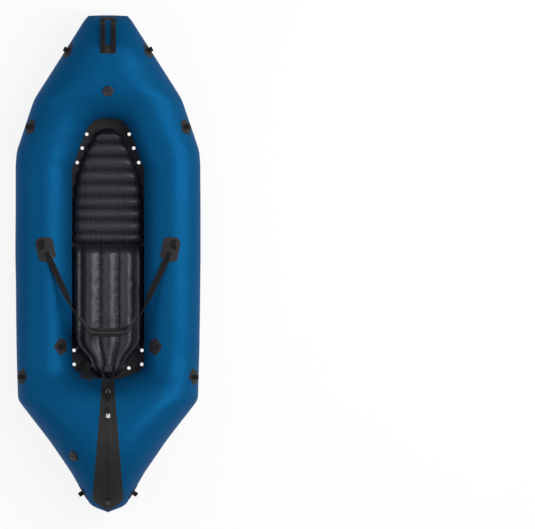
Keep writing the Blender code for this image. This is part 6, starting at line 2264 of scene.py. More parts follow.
@dataclass
class CargoZip:
    """The stern's cargo zip: its cloth, coils, slider, cord pull and end stop."""

    form: HullForm
    cloth: float = 0.0018
    outline: Table = ((-1.2524, 0.0), (-1.2121, 0.079), (-0.6, 0.0302))
    chain_back: float = -1.2121
    chain_front: float = -0.7056
    slider_y: float = -0.77301
    coil_pitch: float = 0.0026

    @property
    def arc_centre(self) -> Vector:
        """Centre of the round deck that the slider runs on."""
        return Vector((0, self.form.arc_y, self.form.lift + self.form.arc_lift))

    @property
    def deck_radius(self) -> float:
        """Radius of the zip's running face."""
        return self.form.stern_height - self.form.arc_lift + 0.0003 + 0.0016 + 0.0003 + 0.0022

    def on_deck(self, x: float, swing: float, level: float) -> Vector:
        """A place on the stern deck at an angle from the arc's top, above the fabric."""
        origin = Vector((x, self.form.arc_y, self.form.tube_radius))
        way = Vector((0, math.sin(swing), math.cos(swing)))
        place, normal = self.form.cast(origin, way)
        if normal.dot(way) < 0:
            normal = -normal
        return place + normal * level

    def swing_at(self, y: float) -> float:
        """The angle whose ray meets the deck's middle at a place along."""
        low, high = -1.42, 1.5
        for _ in range(22):
            middle = (low + high) / 2
            if self.on_deck(0.0004, middle, 0.0).y < y:
                low = middle
            else:
                high = middle
        return (low + high) / 2

    def cloth_shape(self) -> Shape:
        """The long patch that carries the zip, raised a little along the tape."""
        front, back = self.swing_at(self.outline[-1][0]), self.swing_at(self.outline[0][0] + 0.0012)
        count, columns = 190, 40
        rows, edges, charts = [], [], []
        for index in range(-1, count + 2):
            share = min(max(index, 0), count) / count
            swing = front + (back - front) * share
            y = self.on_deck(0.0004, swing, 0.0).y
            half = max(linear(self.outline, y), 0.0015)
            row = []
            for column in range(-1, columns + 2):
                across = -1 + 2 * min(max(column, 0), columns) / columns
                x = half * across
                sunk = index in (-1, count + 1) or column in (-1, columns + 1)
                tip = self.outline[-1][0]
                gap = min(half - abs(x), 0.02 if y < tip - 0.02 else abs(tip - y) + 0.0001)
                level = self.cloth
                level += 0.0009 * eased((0.0185 - abs(x)) / 0.0015) * eased((tip - 0.05 - y) / 0.01)
                level -= 0.0008 * math.exp(-((abs(x) - 0.0205) / 0.0012) ** 2)
                if sunk:
                    level = -0.0008
                point = self.on_deck(x, swing, level)
                row.append(tuple(point))
                edges.append(0.0 if sunk else gap)
                charts.append((x, y))
            rows.append(row)
        shape = grid(np.array(rows))
        shape.chart = np.array(charts)
        shape.marks["edge"] = np.array(edges)
        return shape

    def coils(self) -> Shape:
        """The two meshing coils of the zip and the cords sewn beside them."""
        radius = self.deck_radius
        start = math.asin((self.chain_front - self.form.arc_y) / radius)
        end = math.asin((self.chain_back - self.form.arc_y) / radius)
        turns = int((start - end) * radius / self.coil_pitch)
        pieces = []
        for side, phase in ((-1, 0.0), (1, math.pi)):
            path = []
            for index in range(turns * 8 + 1):
                t = index / (turns * 8)
                swing = start + (end - start) * t
                angle = math.tau * index / 8 + phase
                x = side * 0.0014 + 0.0017 * math.cos(angle)
                level = radius - 0.0011 + 0.00105 * math.sin(angle)
                path.append(self.arc_centre + Vector((x, math.sin(swing) * level, math.cos(swing) * level)))
            pieces.append(cable(path, 0.00042, 5))
        for x in (-0.0062, 0.0062):
            path = []
            for index in range(121):
                swing = start + (end - start) * index / 120
                level = radius - 0.0012
                path.append(self.arc_centre + Vector((x, math.sin(swing) * level, math.cos(swing) * level)))
            pieces.append(cable(path, 0.0009, 8))
        return united(pieces)

    @property
    def slider_frame(self) -> Matrix:
        """The slider's axes: X abeam, Y forward along the zip, Z out."""
        offset = self.slider_y - self.form.arc_y
        out = Vector((0, offset, math.sqrt(self.deck_radius ** 2 - offset ** 2))).normalized()
        return basis(self.arc_centre + out * self.deck_radius, ABEAM, out.cross(ABEAM), out)

    def slider(self) -> Shape:
        """The slider: a pear-shaped plate with side rails and a bridge for the pull."""
        outline = []
        for step in range(40):
            angle = math.tau * step / 40
            y = 0.0132 * math.sin(angle)
            wide = 0.0088 + 0.0016 * math.tanh(y / 0.006)
            outline.append((wide * math.copysign(abs(math.cos(angle)) ** 0.55, math.cos(angle)), y))
        top = plate([outline], 0.0008, 0.0033, 0.0007)
        ridge = plate([[(x * 0.55, y * 0.62 - 0.001) for x, y in outline]], 0.0031, 0.0043, 0.0004)
        rails = [
            plate(
                [
                    rounded_outline(
                        [
                            (end * 0.0083, -0.0125), (end * 0.0103, -0.0115), (end * 0.0103, 0.0115),
                            (end * 0.0083, 0.0125)], 0.001)],
                  -0.0012, 0.0028, 0.0004)
            for end in (-1, 1)
        ]
        bridge = cable(curve_through([
            Vector((0, -0.004, 0.003)), Vector((0, -0.0008, 0.0072)), Vector((0, 0.0045, 0.0098)),
            Vector((0, 0.0098, 0.0085)),
            Vector((0, 0.0122, 0.003)),
        ], 0.0007), 0.0013, 10)
        return top.joined(ridge, *rails, bridge)

    def pull(self) -> Shape:
        """The knotted cord on the slider's bridge."""
        radius = 0.0014
        pieces = []
        for side in (-1, 1):
            path = [
                Vector((0, -0.0008, 0.0018)), Vector((side * 0.0022, 0.0015, 0.0012)),
                Vector((side * 0.0026, 0.008, 0.0002)),
                Vector((side * 0.0012, 0.0155, -0.0006)), Vector((side * 0.002, 0.026, -0.0012)),
                Vector((side * 0.0013, 0.0345, -0.0014)),
                Vector((side * 0.0028, 0.042, -0.0018)), Vector((side * 0.0046, 0.0485, -0.0026)),
            ]
            pieces.append(cable(curve_through(path, 0.0012), radius, 9))
        for y, turn in ((0.0175, 0.2), (0.0345, 1.5)):
            knot = []
            for step in range(48):
                t = math.tau * step / 48
                x = math.sin(t) + 2 * math.sin(2 * t)
                z = math.cos(t) - 2 * math.cos(2 * t)
                point = Vector((x * 0.00125, -math.sin(3 * t) * 0.0021, z * 0.00115))
                knot.append(Vector((0, y, 0.0001)) + Matrix.Rotation(turn, 3, "Y") @ point)
            pieces.append(cable(knot, radius, 9, closed=True))
        return united(pieces)

    def dress(self, shop: Workshop) -> None:
        """Dress the zip's cloth, coils, slider, pull and stop."""
        shop.make("zip_cloth", self.cloth_shape(), ZIP_CLOTH, stands_for=("zip_patch",), crisp=60)
        shop.make("zip_coils", self.coils(), SOFT_PLASTIC, stands_for=("zip_chain",), weld=FINE_WELD)
        shop.make(
            "zip_slider_body", self.slider().moved(self.slider_frame), METAL, body="slider",
            stands_for=("zip_slider",))
        hinge = self.slider_frame @ Matrix.Translation((0, 0.0085, 0.0071))
        shop.make(
            "zip_cord_pull", self.pull().moved(hinge), CORD, body="puller", stands_for=("zip_puller",),
            weld=FINE_WELD)
        shop.dress("zip_end_stop", PLASTIC, 0.001)


@dataclass
class GrabHandle:
    """The bow's handle: a glued frame with a window, and two webbing legs in one arch."""

    form: HullForm
    half_width: float = 0.04
    half_window: float = 0.0145
    back: float = 1.066
    front: float = 1.2515
    window_back: float = 1.1113
    window_front: float = 1.2365
    arch_back: float = 1.0912
    arch_front: float = 1.2215
    rise: float = 0.036
    strap: float = 0.0245
    thickness: float = 0.003

    def base(self) -> Shape:
        """The glued frame round its window."""
        middle = (self.back + self.front) / 2
        matrix = Matrix.Translation((0, middle, 0.34))
        w, h = self.half_width, self.half_window
        low, high = self.back - middle, self.front - middle
        rim = rounded_outline([(-w, high), (-w, low), (w, low), (w, high)], 0.008)
        hole = rounded_outline(
            [
                (-h, self.window_front - middle), (-h, self.window_back - middle),
                (h, self.window_back - middle), (h, self.window_front - middle)],
            0.003)
        return applied_patch(self.form, matrix, rim, PATCH_THICKNESS, hole=hole)

    def over(self, x: float, y: float, level: float) -> Vector:
        """A place at a height over the bow's deck."""
        place, normal = self.form.cast(Vector((x, y, RAY_HEIGHT)), -UP)
        return place + normal * level

    def path(self, x: float) -> List[Vector]:
        """The arch of one leg, its ends lying on the frame."""
        first, last = (self.over(x, y, 0.0) for y in (self.arch_back, self.arch_front))
        chord = last - first
        lift = ABEAM.cross(chord).normalized()
        level = PATCH_THICKNESS + self.thickness / 2
        points = [self.over(x, self.arch_back - back, level) for back in (0.02, 0.008)]
        for step in range(1, 10):
            t = 0.5 - 0.5 * math.cos(math.pi * step / 10)
            points.append(first + chord * t + lift * (self.rise * math.sin(math.pi * t) ** 0.62 + 0.0032))
        points += [self.over(x, self.arch_front + ahead, level) for ahead in (0.006, 0.014)]
        return curve_through(points, 0.004)

    def dress(self, shop: Workshop) -> None:
        """Dress the frame, the legs and their stitches."""
        shop.make("handle_frame", self.base(), PATCH, stands_for=("handle_patch",), weld=FINE_WELD)
        legs, rows = [], []
        for side in Side:
            x = side.value * (self.half_width - self.strap / 2 - 0.0005)
            path = self.path(x)
            legs.append(ribbon(path, [ABEAM] * len(path), self.strap, self.thickness))
            for y in (
                self.arch_back - 0.016, self.arch_back - 0.006, self.arch_front + 0.004,
                self.arch_front + 0.011):
                spots = [x + (step / 7 - 0.5) * self.strap * 0.8 for step in range(8)]
                holes = [self.over(spot, y, 0.0019 + self.thickness) for spot in spots]
                rows.append(stitches(holes, [UP] * len(holes), THREAD_RADIUS))
        shop.make("handle_webbing", united(legs), WEB, stands_for=("grab_handle",))
        shop.make("handle_stitches", united(rows), THREAD)


@dataclass(frozen=True)
class LineFitting:
    """Where a five-sided patch with a webbing loop sits."""

    name: str
    along: float
    across: float
    angle: float
    apex: float


FITTINGS = (
    LineFitting("bow_loop", 0.858, 0.0, 28.0, -90.0),
    LineFitting("shoulder_loop", 0.551, 0.83, 33.5, 0.0),
    LineFitting("quarter_loop", -0.456, 1.0, 37.0, 180.0),
    LineFitting("stern_loop", -0.922, 0.0, 24.0, 90.0),
    LineFitting("seat_loop", -0.334, 1.0, 129.0, 0.0),
)


@dataclass
class LineLoops:
    """The five-sided patches with loops for a line, along both sides."""

    form: HullForm
    radius: float = 0.046
    thickness: float = PATCH_THICKNESS
    loop: WebbingLoop = field(default_factory=WebbingLoop)

    def dress(self, shop: Workshop) -> None:
        """Dress every patch, its loop and its stitches."""
        for fitting in FITTINGS:
            for side in Side:
                origin = Vector((
                    side.value * fitting.across * self.form.tube_x, fitting.along * self.form.half_length,
                    self.form.tube_radius + self.form.lift,
                ))
                angle = math.radians(fitting.angle)
                way = Vector((side.value * math.cos(angle), 0, math.sin(angle)))
                matrix = self.form.frame_at(origin, way, AHEAD)
                start = fitting.apex if side is Side.STARBOARD else 180 - fitting.apex
                corners = [
                    tuple(
                        self.radius * part(math.radians(start + 72 * corner))
                        for part in (math.cos, math.sin))
                    for corner in range(5)
                ]
                name = f"{side.label}_{fitting.name}"
                patch = applied_patch(self.form, matrix, rounded_outline(corners, 0.004), self.thickness)
                shop.make(f"{name}_patch", patch, PATCH, stands_for=(name,), weld=FINE_WELD)
                strap, rows = self.loop.build(self.form, matrix, 0.0, self.thickness)
                shop.make(f"{name}_webbing", strap, WEB)
                shop.make(f"{name}_stitches", rows, THREAD)


@dataclass
class SideRigging:
    """A strap plate on a side tube, its ladder lock, and the strap down to the back band."""

    form: HullForm
    side: Side
    plate_y: float = 0.07245
    lean: float = 95.0
    width: float = 0.11
    length: float = 0.128
    corners: Tuple[Pair, ...] = (
        (-0.5, 0.28), (-0.34, 0.47), (0.02, 0.5), (0.29, 0.44), (0.47, -0.29), (0.0, -0.48), (-0.32, -0.48),
    )
    loop_share: Pair = (-0.19, 0.19)
    lock_share: Pair = (0.13, -0.36)
    lock_turn: float = 25.6
    lock_length: float = 0.03
    lock_width: float = 0.038
    lock_bar: float = 0.0045
    lock_thickness: float = 0.005
    lock_lift: float = 0.0008
    strap_width: float = 0.032
    strap_thickness: float = 0.0018
    patch_thickness: float = 0.0019
    ring_x: float = 0.15991
    ring_y: float = -0.27909
    ring_z: float = 0.305

    @property
    def matrix(self) -> Matrix:
        """The plate's axes on the fabric."""
        sign = self.side.value
        origin = Vector((sign * self.form.tube_x, self.plate_y, self.form.tube_radius + self.form.lift))
        angle = math.radians(self.lean)
        return self.form.frame_at(origin, Vector((sign * math.cos(angle), 0, math.sin(angle))), AHEAD)

    @property
    def lock(self) -> Matrix:
        """The ladder lock's axes on the plate."""
        sign = self.side.value
        place = Vector((-sign * self.lock_share[0] * self.width, self.lock_share[1] * self.length, 0.0019))
        turn = Matrix.Rotation(math.radians(-sign * self.lock_turn), 4, "Z")
        return self.matrix @ Matrix.Translation(place) @ turn

    def ladder_lock(self) -> Shape:
        """The moulded lock: a bowed frame with two windows and grip ribs on its lip."""
        w, h, bar = self.lock_width / 2, self.lock_length / 2, self.lock_bar
        tall = (2 * h - 3 * bar) / 2
        rim = rounded_outline([(-w, -h), (w, -h), (w, h), (-w, h)], 0.004)
        holes = []
        for low in (-h + bar, h - bar - tall):
            corners = [(-w + bar, low), (w - bar, low), (w - bar, low + tall), (-w + bar, low + tall)]
            holes.append(rounded_outline(corners, 0.0012, 3))
        body = plate([rim, *holes], self.lock_lift, self.lock_lift + self.lock_thickness, 0.0009)
        top = self.lock_lift + self.lock_thickness
        ribs = [
            rounded_bar(
                self.lock_width * 0.72, 0.0012, top - 0.0005,
                top + 0.0005).moved(Matrix.Translation((0, y, 0)))
            for y in (-h + 0.0013, -h + 0.0031)
        ]
        return body.joined(*ribs)

    def strap_path(self) -> Tuple[List[Vector], List[Vector]]:
        """The strap's middle line from the lock to the ring, and the direction of its width.

        Returns:
            The points and the directions.
        """
        sign = self.side.value
        on_lock = self.lock_lift + self.lock_thickness + 0.0003 + self.strap_thickness / 2
        start = self.lock @ Vector((0, 0.004, on_lock - 0.0025))
        crest = self.lock @ Vector((0, -0.006, on_lock + 0.0008))
        leave = self.lock @ Vector((0, -0.027, on_lock - 0.0006))
        ring = Vector((sign * self.ring_x, self.ring_y, self.ring_z))
        toward = (leave - ring).normalized()
        end = ring + Vector((0, 0.0073, 0)) + toward * self.strap_thickness / 2
        middle = leave.lerp(end, 0.5) + UP * 0.004
        knots = [
            start, crest, leave, leave.lerp(middle, 0.55) + UP * 0.002, middle, middle.lerp(end, 0.5), end]
        path = curve_through(knots, 0.005)
        flat = facing(self.lock, ABEAM)
        total = len(path) - 1
        sides = []
        for index in range(total + 1):
            share = eased((index / total - 0.45) / 0.5)
            upright = UP * sign
            sides.append((flat * (1 - share) + upright * share).normalized())
        return path, sides

    def dress(self, shop: Workshop) -> None:
        """Dress the plate, loop, tether, lock, strap and ring of this side."""
        sign, label = self.side.value, self.side.label
        outline = rounded_outline([(-sign * x * self.width, y * self.length) for x, y in self.corners], 0.009)
        patch = applied_patch(self.form, self.matrix, outline, self.patch_thickness)
        shop.make(f"{label}_plate_cloth", patch, PATCH, stands_for=(f"{label}_strap_plate",), weld=FINE_WELD)
        place = Vector((-sign * self.loop_share[0] * self.width, self.loop_share[1] * self.length, 0))
        spot = self.matrix @ Matrix.Translation(place)
        strap, rows = WebbingLoop(rise=0.019).build(self.form, spot, math.pi / 2, self.patch_thickness)
        shop.make(f"{label}_plate_loop", strap, WEB)
        h = self.lock_length / 2
        at = self.lock @ Matrix.Translation((0, h - self.lock_bar / 2, 0))
        quarter = Matrix.Rotation(math.pi / 2, 4, "Z")
        over = []
        for x, z in (
            (0.024, -0.0004), (0.012, 0.0), (0.006, 0.0016), (0.0042, 0.0058), (0.0018, 0.0082),
            (-0.0018, 0.0082),
            (-0.0042, 0.0058), (-0.0046, 0.0015), (-0.004, -0.0006),
        ):
            over.append(at @ quarter @ Vector((x, 0, z)))
        side_way = facing(at, ABEAM)
        fine = curve_through(over, 0.0015)
        tether = ribbon(fine, [side_way] * len(fine), 0.024, 0.002)
        shop.make(f"{label}_lock_tether", tether, WEB)
        out = facing(self.lock, UP)
        seams = [rows]
        for y in (0.026, 0.034):
            holes = [self.lock @ Vector(((step / 7 - 0.5) * 0.02, y, 0.0014)) for step in range(8)]
            seams.append(stitches(holes, [out] * len(holes)))
        shop.make(
            f"{label}_ladder_lock_frame", self.ladder_lock().moved(self.lock), PLASTIC,
            stands_for=(f"{label}_ladder_lock",))
        path, sides = self.strap_path()
        strap = ribbon(path, sides, self.strap_width, self.strap_thickness)
        tail_path = []
        offset = -sign
        for index in range(len(path) - 1, len(path) - 12, -1):
            along = (path[index] - path[index - 1]).normalized()
            tail_path.append(path[index] + along.cross(sides[index]) * 0.0021 * offset)
        tail = ribbon(
            tail_path, [sides[len(sides) - 1 - i] for i in range(len(tail_path))], self.strap_width * 0.97,
            self.strap_thickness)
        shop.make(f"{label}_side_webbing", strap.joined(tail), WEB, stands_for=(f"{label}_side_strap",))
        for back in (4, 8):
            spot_at, way = tail_path[back], sides[len(sides) - 1 - back]
            along = (path[-1 - back] - path[-2 - back]).normalized()
            face = along.cross(way) * offset
            holes = [
                spot_at + way * (step / 9 - 0.5) * self.strap_width * 0.8 + face * 0.0012
                for step in range(10)]
            seams.append(stitches(holes, [face] * len(holes)))
        shop.make(f"{label}_rigging_stitches", united(seams), THREAD)
        ring_at = basis(Vector((sign * self.ring_x, self.ring_y, self.ring_z)), AHEAD, UP, ABEAM)
        turns = [math.tau * step / 48 for step in range(48)]
        rim, hole = [
            [(math.cos(turn) * wide, math.sin(turn) * tall) for turn in turns]
            for wide, tall in ((0.0069, 0.0199), (0.0036, 0.0036))
        ]
        ring = plate([rim, hole], -0.0015, 0.0015, 0.0005)
        shop.make(f"{label}_wing_ring", ring.moved(ring_at), PLASTIC, stands_for=(f"{label}_band_ring",))


@dataclass
class BackBand:
    """The padded back band with its piped edges and rear webbing."""

    form: HullForm
    centre_z: float = 0.305
    height: float = 0.112
    depth: float = 0.0185
    points: Tuple[Pair, ...] = (
        (-0.77, -0.2215), (-0.68, -0.2385), (-0.6, -0.2525), (-0.5, -0.2672), (-0.42, -0.2728),
        (-0.25, -0.2758),
        (0.0, -0.2765),
    )
    heights: Table = ((0.0, 1.0), (0.46, 1.0), (0.56, 0.74), (0.64, 0.48), (0.77, 0.34))
    depths: Table = ((0.0, 1.0), (0.4, 1.0), (0.49, 0.62), (0.58, 0.42), (0.77, 0.34))
    binding_width: float = 0.025
    lean: Table = ((0.0, 0.21), (0.5, 0.21), (0.68, 0.0))

    def upright(self, across: float, back: Vector) -> Vector:
        """The way up along the band's leaning face at a share across."""
        return UP + back * smooth(self.lean, abs(across))

    def middle(self) -> List[Tuple[float, Vector, Vector]]:
        """Share across, place and backward direction along the band, port wing to starboard."""
        half = [
            Vector((a * self.form.cockpit_half, b * self.form.half_length, self.centre_z))
            for a, b in self.points]
        full = half + [Vector((-p.x, p.y, p.z)) for p in reversed(half[:-1])]
        path = curve_through(full, 0.005)
        result = []
        for index, place in enumerate(path):
            along = (path[min(index + 1, len(path) - 1)] - path[max(index - 1, 0)]).normalized()
            result.append((place.x / self.form.cockpit_half, place, along.cross(UP)))
        return result

    def outline_at(self, across: float) -> Pair:
        """Height and depth of the band at a share across."""
        return self.height * smooth(self.heights, abs(across)), self.depth * smooth(self.depths, abs(across))

    def build(self) -> Shape:
        """The pad before it is swollen."""
        rows = []
        for across, place, back in self.middle():
            tall, deep = self.outline_at(across)
            ring = []
            for step in range(36):
                angle = math.tau * step / 36
                up = math.copysign(abs(math.sin(angle)) ** 0.55, math.sin(angle))
                out = math.copysign(abs(math.cos(angle)) ** 0.7, math.cos(angle))
                bow = 1 + 0.1 * (1 - up * up)
                ring.append(tuple(
                    place + back * out * deep / 2 * bow * 0.94
                    + self.upright(across, back) * up * tall / 2 * 0.985))
            rows.append(ring)
        return grid(np.array(rows), round_columns=True, capped=True)

    def rim(self, share: float) -> List[Vector]:
        """The edge that the piping follows, on the band's front or back face."""
        stations = self.middle()
        top, low = [], []
        for across, place, back in stations:
            tall, deep = self.outline_at(across)
            up = self.upright(across, back) * tall * 0.492
            top.append(place + up + back * deep * share)
            low.append(place - up + back * deep * share)
        return top + list(reversed(low))

    def dress(self, shop: Workshop, puff: Puff) -> None:
        """Dress the pad, its piping, rear webbing, wing tabs and stitches."""
        base = self.build()

        def held(points: np.ndarray) -> np.ndarray:
            """The edges are held by their binding."""
            share = np.zeros(len(points))
            for index, (x, y, z) in enumerate(points.tolist()):
                tall, _ = self.outline_at(x / self.form.cockpit_half)
                share[index] = np.clip(1.5 - (tall / 2 - abs(z - self.centre_z)) / 0.006, 0, 1)
                if abs(x) > 0.128:
                    share[index] = 1.0
            return share

        swollen = puff.swell(base, held)
        points = swollen.points
        lines = np.abs(np.abs(points[:, 0]) - 0.058)
        normals = point_normals(swollen)
        facing = np.clip(np.abs(normals[:, 1]) * 1.5 - 0.2, 0, 1)
        press = -0.0022 * np.exp(-(lines / 0.003) ** 2) * facing
        rows = np.abs(np.mod(points[:, 2] - self.centre_z + 0.0575, 0.0383) - 0.0383 / 2) - 0.0383 / 2
        press += -0.0013 * np.exp(-(rows / 0.0026) ** 2) * facing
        points = points + normals * press[:, None]
        chart = np.stack([points[:, 0], points[:, 2]], axis=1)
        top = np.abs(normals[:, 2]) > 0.75
        chart[top, 1] = points[top, 1]
        pad = shop.make(
            "back_band_cushion", Shape(points, swollen.faces, chart, {"edge": np.full(len(points), 0.01)}),
            KNIT,
            body="back_band", stands_for=("back_band_pad",), crisp=80)
        front, rear = [cable(self.rim(share), 0.0031, 10, closed=True) for share in (-0.44, 0.44)]
        tape = []
        rim_front, rim_back = self.rim(-0.3), self.rim(0.3)
        middle = [first.lerp(second, 0.5) for first, second in zip(rim_front, rim_back)]
        widths = [(second - first).normalized() for first, second in zip(rim_front, rim_back)]
        tape.append(ribbon(middle + middle[:1], widths + widths[:1], 0.0135, 0.0016))
        shop.make("back_band_piping", front, BINDING, body="back_band", weld=FINE_WELD)
        shop.make("back_band_tape", rear.joined(*tape), KNIT, body="back_band", weld=FINE_WELD)
        stations = [row for row in self.middle() if abs(row[1].x) < 0.0915]
        gap = self.depth / 2 + 0.0026
        path = [place + back * gap for _, place, back in stations]
        strap = ribbon(
            path, [self.upright(across, back) for across, _, back in stations], self.binding_width, 0.0018)
        tabs = []
        for side in Side:
            wing = Vector((side.value * 0.14091, -0.27909, self.centre_z))
            tabs.append(
                cable([wing - ABEAM * side.value * 0.012, wing + ABEAM * side.value * 0.0215], 0.0028, 16))
            fold = [
                wing + Vector((side.value * (-0.03 + 0.004 * k), -0.036 + 0.0048 * k, 0)) for k in range(8)]
            folded = curve_through(fold, 0.003)
            tabs.append(ribbon(folded, [UP] * len(folded), 0.024, 0.0042))
        shop.make(
            "back_band_webbing", strap.joined(*tabs), WEB, body="back_band",
            stands_for=("back_band_binding",), weld=FINE_WELD)
        seams = []
        for level in (-0.0095, 0.0095):
            holes = [
                place + back * (gap + 0.0011) + self.upright(a, back) * level for a, place, back in stations]
            seams.append(stitches(holes, [back for _, _, back in stations]))
        for share in (-0.5, 0.5):
            holes = [point + UP * 0.0011 for point in self.rim(share * 0.42)[3: len(self.middle()) - 3]]
            seams.append(stitches(holes, [UP] * len(holes), THREAD_RADIUS))
        shop.make("back_band_stitches", united(seams), THREAD, body="back_band", weld=FINE_WELD)


@dataclass
class RearRigging:
    """The anchor on the zip's cloth, its ring, and the two straps up to the back band."""

    form: HullForm
    zip_deck: CargoZip
    ring_reach: float = 0.0122
    spread_degrees: float = 42.0
    at_band: Tuple[float, float, float] = (0.072, -0.3614, 0.305)
    anchor_front: float = -0.6533
    anchor_back: float = -0.6993
    anchor_width: float = 0.026
    strap_width: float = 0.02

    def dress(self, shop: Workshop) -> None:
        """Dress the anchor, ring and straps."""
        top, back = self.zip_deck.swing_at(self.anchor_front), self.zip_deck.swing_at(self.anchor_back)
        path = [self.zip_deck.on_deck(0.0004, top + (back - top) * step / 10, 0.0032) for step in range(11)]
        base = ribbon(path, [ABEAM] * len(path), self.anchor_width, 0.0018)
        swing = self.zip_deck.swing_at(-0.6754)
        foot = self.zip_deck.on_deck(0.0004, swing, 0.0)
        ahead = (self.zip_deck.on_deck(0.0004, swing + 0.05, 0.0) - foot).normalized()
        out = ABEAM.cross(ahead).normalized()
        matrix = basis(Vector((0, foot.y, foot.z)), ABEAM, ahead, out)
        loop = [matrix @ Vector((0, y, z)) for y, z in (
            (-0.02, 0.0052), (-0.014, 0.0055), (-0.006, 0.0085), (0.004, 0.0165), (0.013, 0.0215),
            (0.0175, 0.0205),
            (0.0165, 0.0165), (0.009, 0.0095), (0.0015, 0.0052), (-0.006, 0.0045),
        )]
        fine = curve_through(loop, 0.0015)
        strap = ribbon(fine, [ABEAM] * len(fine), 0.015, 0.0019)
        shop.make("rear_anchor_webbing", base.joined(strap), WEB, stands_for=("rear_anchor",))
        rows = []
        for y in (-0.019, -0.009):
            holes = [matrix @ Vector(((step / 5 - 0.5) * 0.012, y, 0.0068)) for step in range(6)]
            rows.append(stitches(holes, [out] * 6))
        shop.make("rear_anchor_stitches", united(rows), THREAD)
        low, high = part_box("rear_ring")
        centre = (Vector(low) + Vector(high)) / 2
        pull = (Vector((0, -0.3484, 0.305)) - centre).normalized()
        angles = [math.tau * step / 64 for step in range(64)]
        ring = [centre + (ABEAM * math.cos(a) + pull * math.sin(a)) * 0.0105 for a in angles]
        shop.make(
            "rear_ring_wire", cable(ring, 0.0015, 14, closed=True), DARK_METAL, stands_for=("rear_ring",),
            weld=FINE_WELD)
        for way in Side:
            self.dress_strap(shop, way, centre, pull)

    def dress_strap(self, shop: Workshop, way: Side, centre: Vector, pull: Vector) -> None:
        """Dress one rear strap, from the ring up to the back band.

        Args:
            shop: makes the piece.
            way: the strap's side.
            centre: the ring's centre.
            pull: direction from the ring to the back band.
        """
        sign, label = way.value, way.label
        angle = math.radians(self.spread_degrees)
        out = ABEAM * sign * math.sin(angle) + pull * math.cos(angle)
        at_ring = centre + out * self.ring_reach
        x, y, z = self.at_band
        at_band = Vector((sign * x, y, z))
        knots = [
            at_ring, at_ring.lerp(at_band, 0.06) + UP * 0.0004, at_ring.lerp(at_band, 0.35),
            at_ring.lerp(at_band, 0.7), at_band]
        path = curve_through(knots, 0.005)
        count = len(path) - 1
        sides = []
        for index in range(count + 1):
            share = eased((index / count) / 0.55)
            flat = ABEAM * math.cos(0.5) - pull * math.sin(0.5) * sign
            upright = UP - AHEAD * 0.2 * share
            sides.append((flat * sign * (1 - share) * 0.8 + upright * (0.35 + 0.65 * share)).normalized())
        strap = ribbon(path, sides, self.strap_width, 0.0019)
        points = strap.points
        along = np.linalg.norm(points - np.array(at_ring), axis=1)
        mid = np.array([tuple(path[min(int(round(a / 0.005)), count)]) for a in along])
        squeeze = 0.45 + 0.55 * np.clip(along / 0.05, 0, 1)
        strap.points = mid + (points - mid) * squeeze[:, None]
        piece = shop.make(f"{label}_rear_webbing", strap, WEB, body="", stands_for=())
        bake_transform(piece)
        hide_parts(f"{label}_rear_strap")


@dataclass
class SeatAnchor:
    """The patch on the stern wall and the strap that holds the seat's port corner."""

    form: HullForm
    across: float = -0.1098
    along: float = -0.6905
    height: float = 0.205
    half_width: float = 0.038
    half_height: float = 0.025

    def dress(self, shop: Workshop) -> None:
        """Dress the patch, its strap and stitches."""
        inside = Vector((self.across, self.along, self.height))
        matrix = self.form.frame_at(inside, AHEAD, UP)
        w, h = self.half_width, self.half_height
        outline = rounded_outline([(-w, -h * 0.2), (0, -h), (w, -h * 0.2), (w, h), (-w, h)], 0.004)
        shop.make(
            "seat_anchor_cloth", applied_patch(self.form, matrix, outline, PATCH_THICKNESS), PATCH,
            stands_for=("seat_anchor_patch",), weld=FINE_WELD)
        out = facing(matrix, UP)
        start = Vector(self.form.drape(matrix, 0, 0.002, 0.0032))
        top = Vector(self.form.drape(matrix, 0, h * 0.55, 0.0032))
        end = Vector((-0.1035, -0.4805, 0.0705))
        knots = [top, start, start.lerp(end, 0.3) + out * 0.003, start.lerp(end, 0.68) + UP * 0.001, end]
        path = curve_through(knots, 0.004)
        strap = ribbon(path, [ABEAM] * len(path), 0.0245, 0.0018)
        shop.make("seat_anchor_webbing", strap, WEB, stands_for=("seat_anchor_strap",))
        rows = []
        for level in (0.004, 0.011):
            holes = [
                Vector(self.form.drape(matrix, (step / 7 - 0.5) * 0.02, level, 0.0044)) for step in range(8)]
            rows.append(stitches(holes, [out] * 8))
        shop.make("seat_anchor_stitches", united(rows), THREAD)


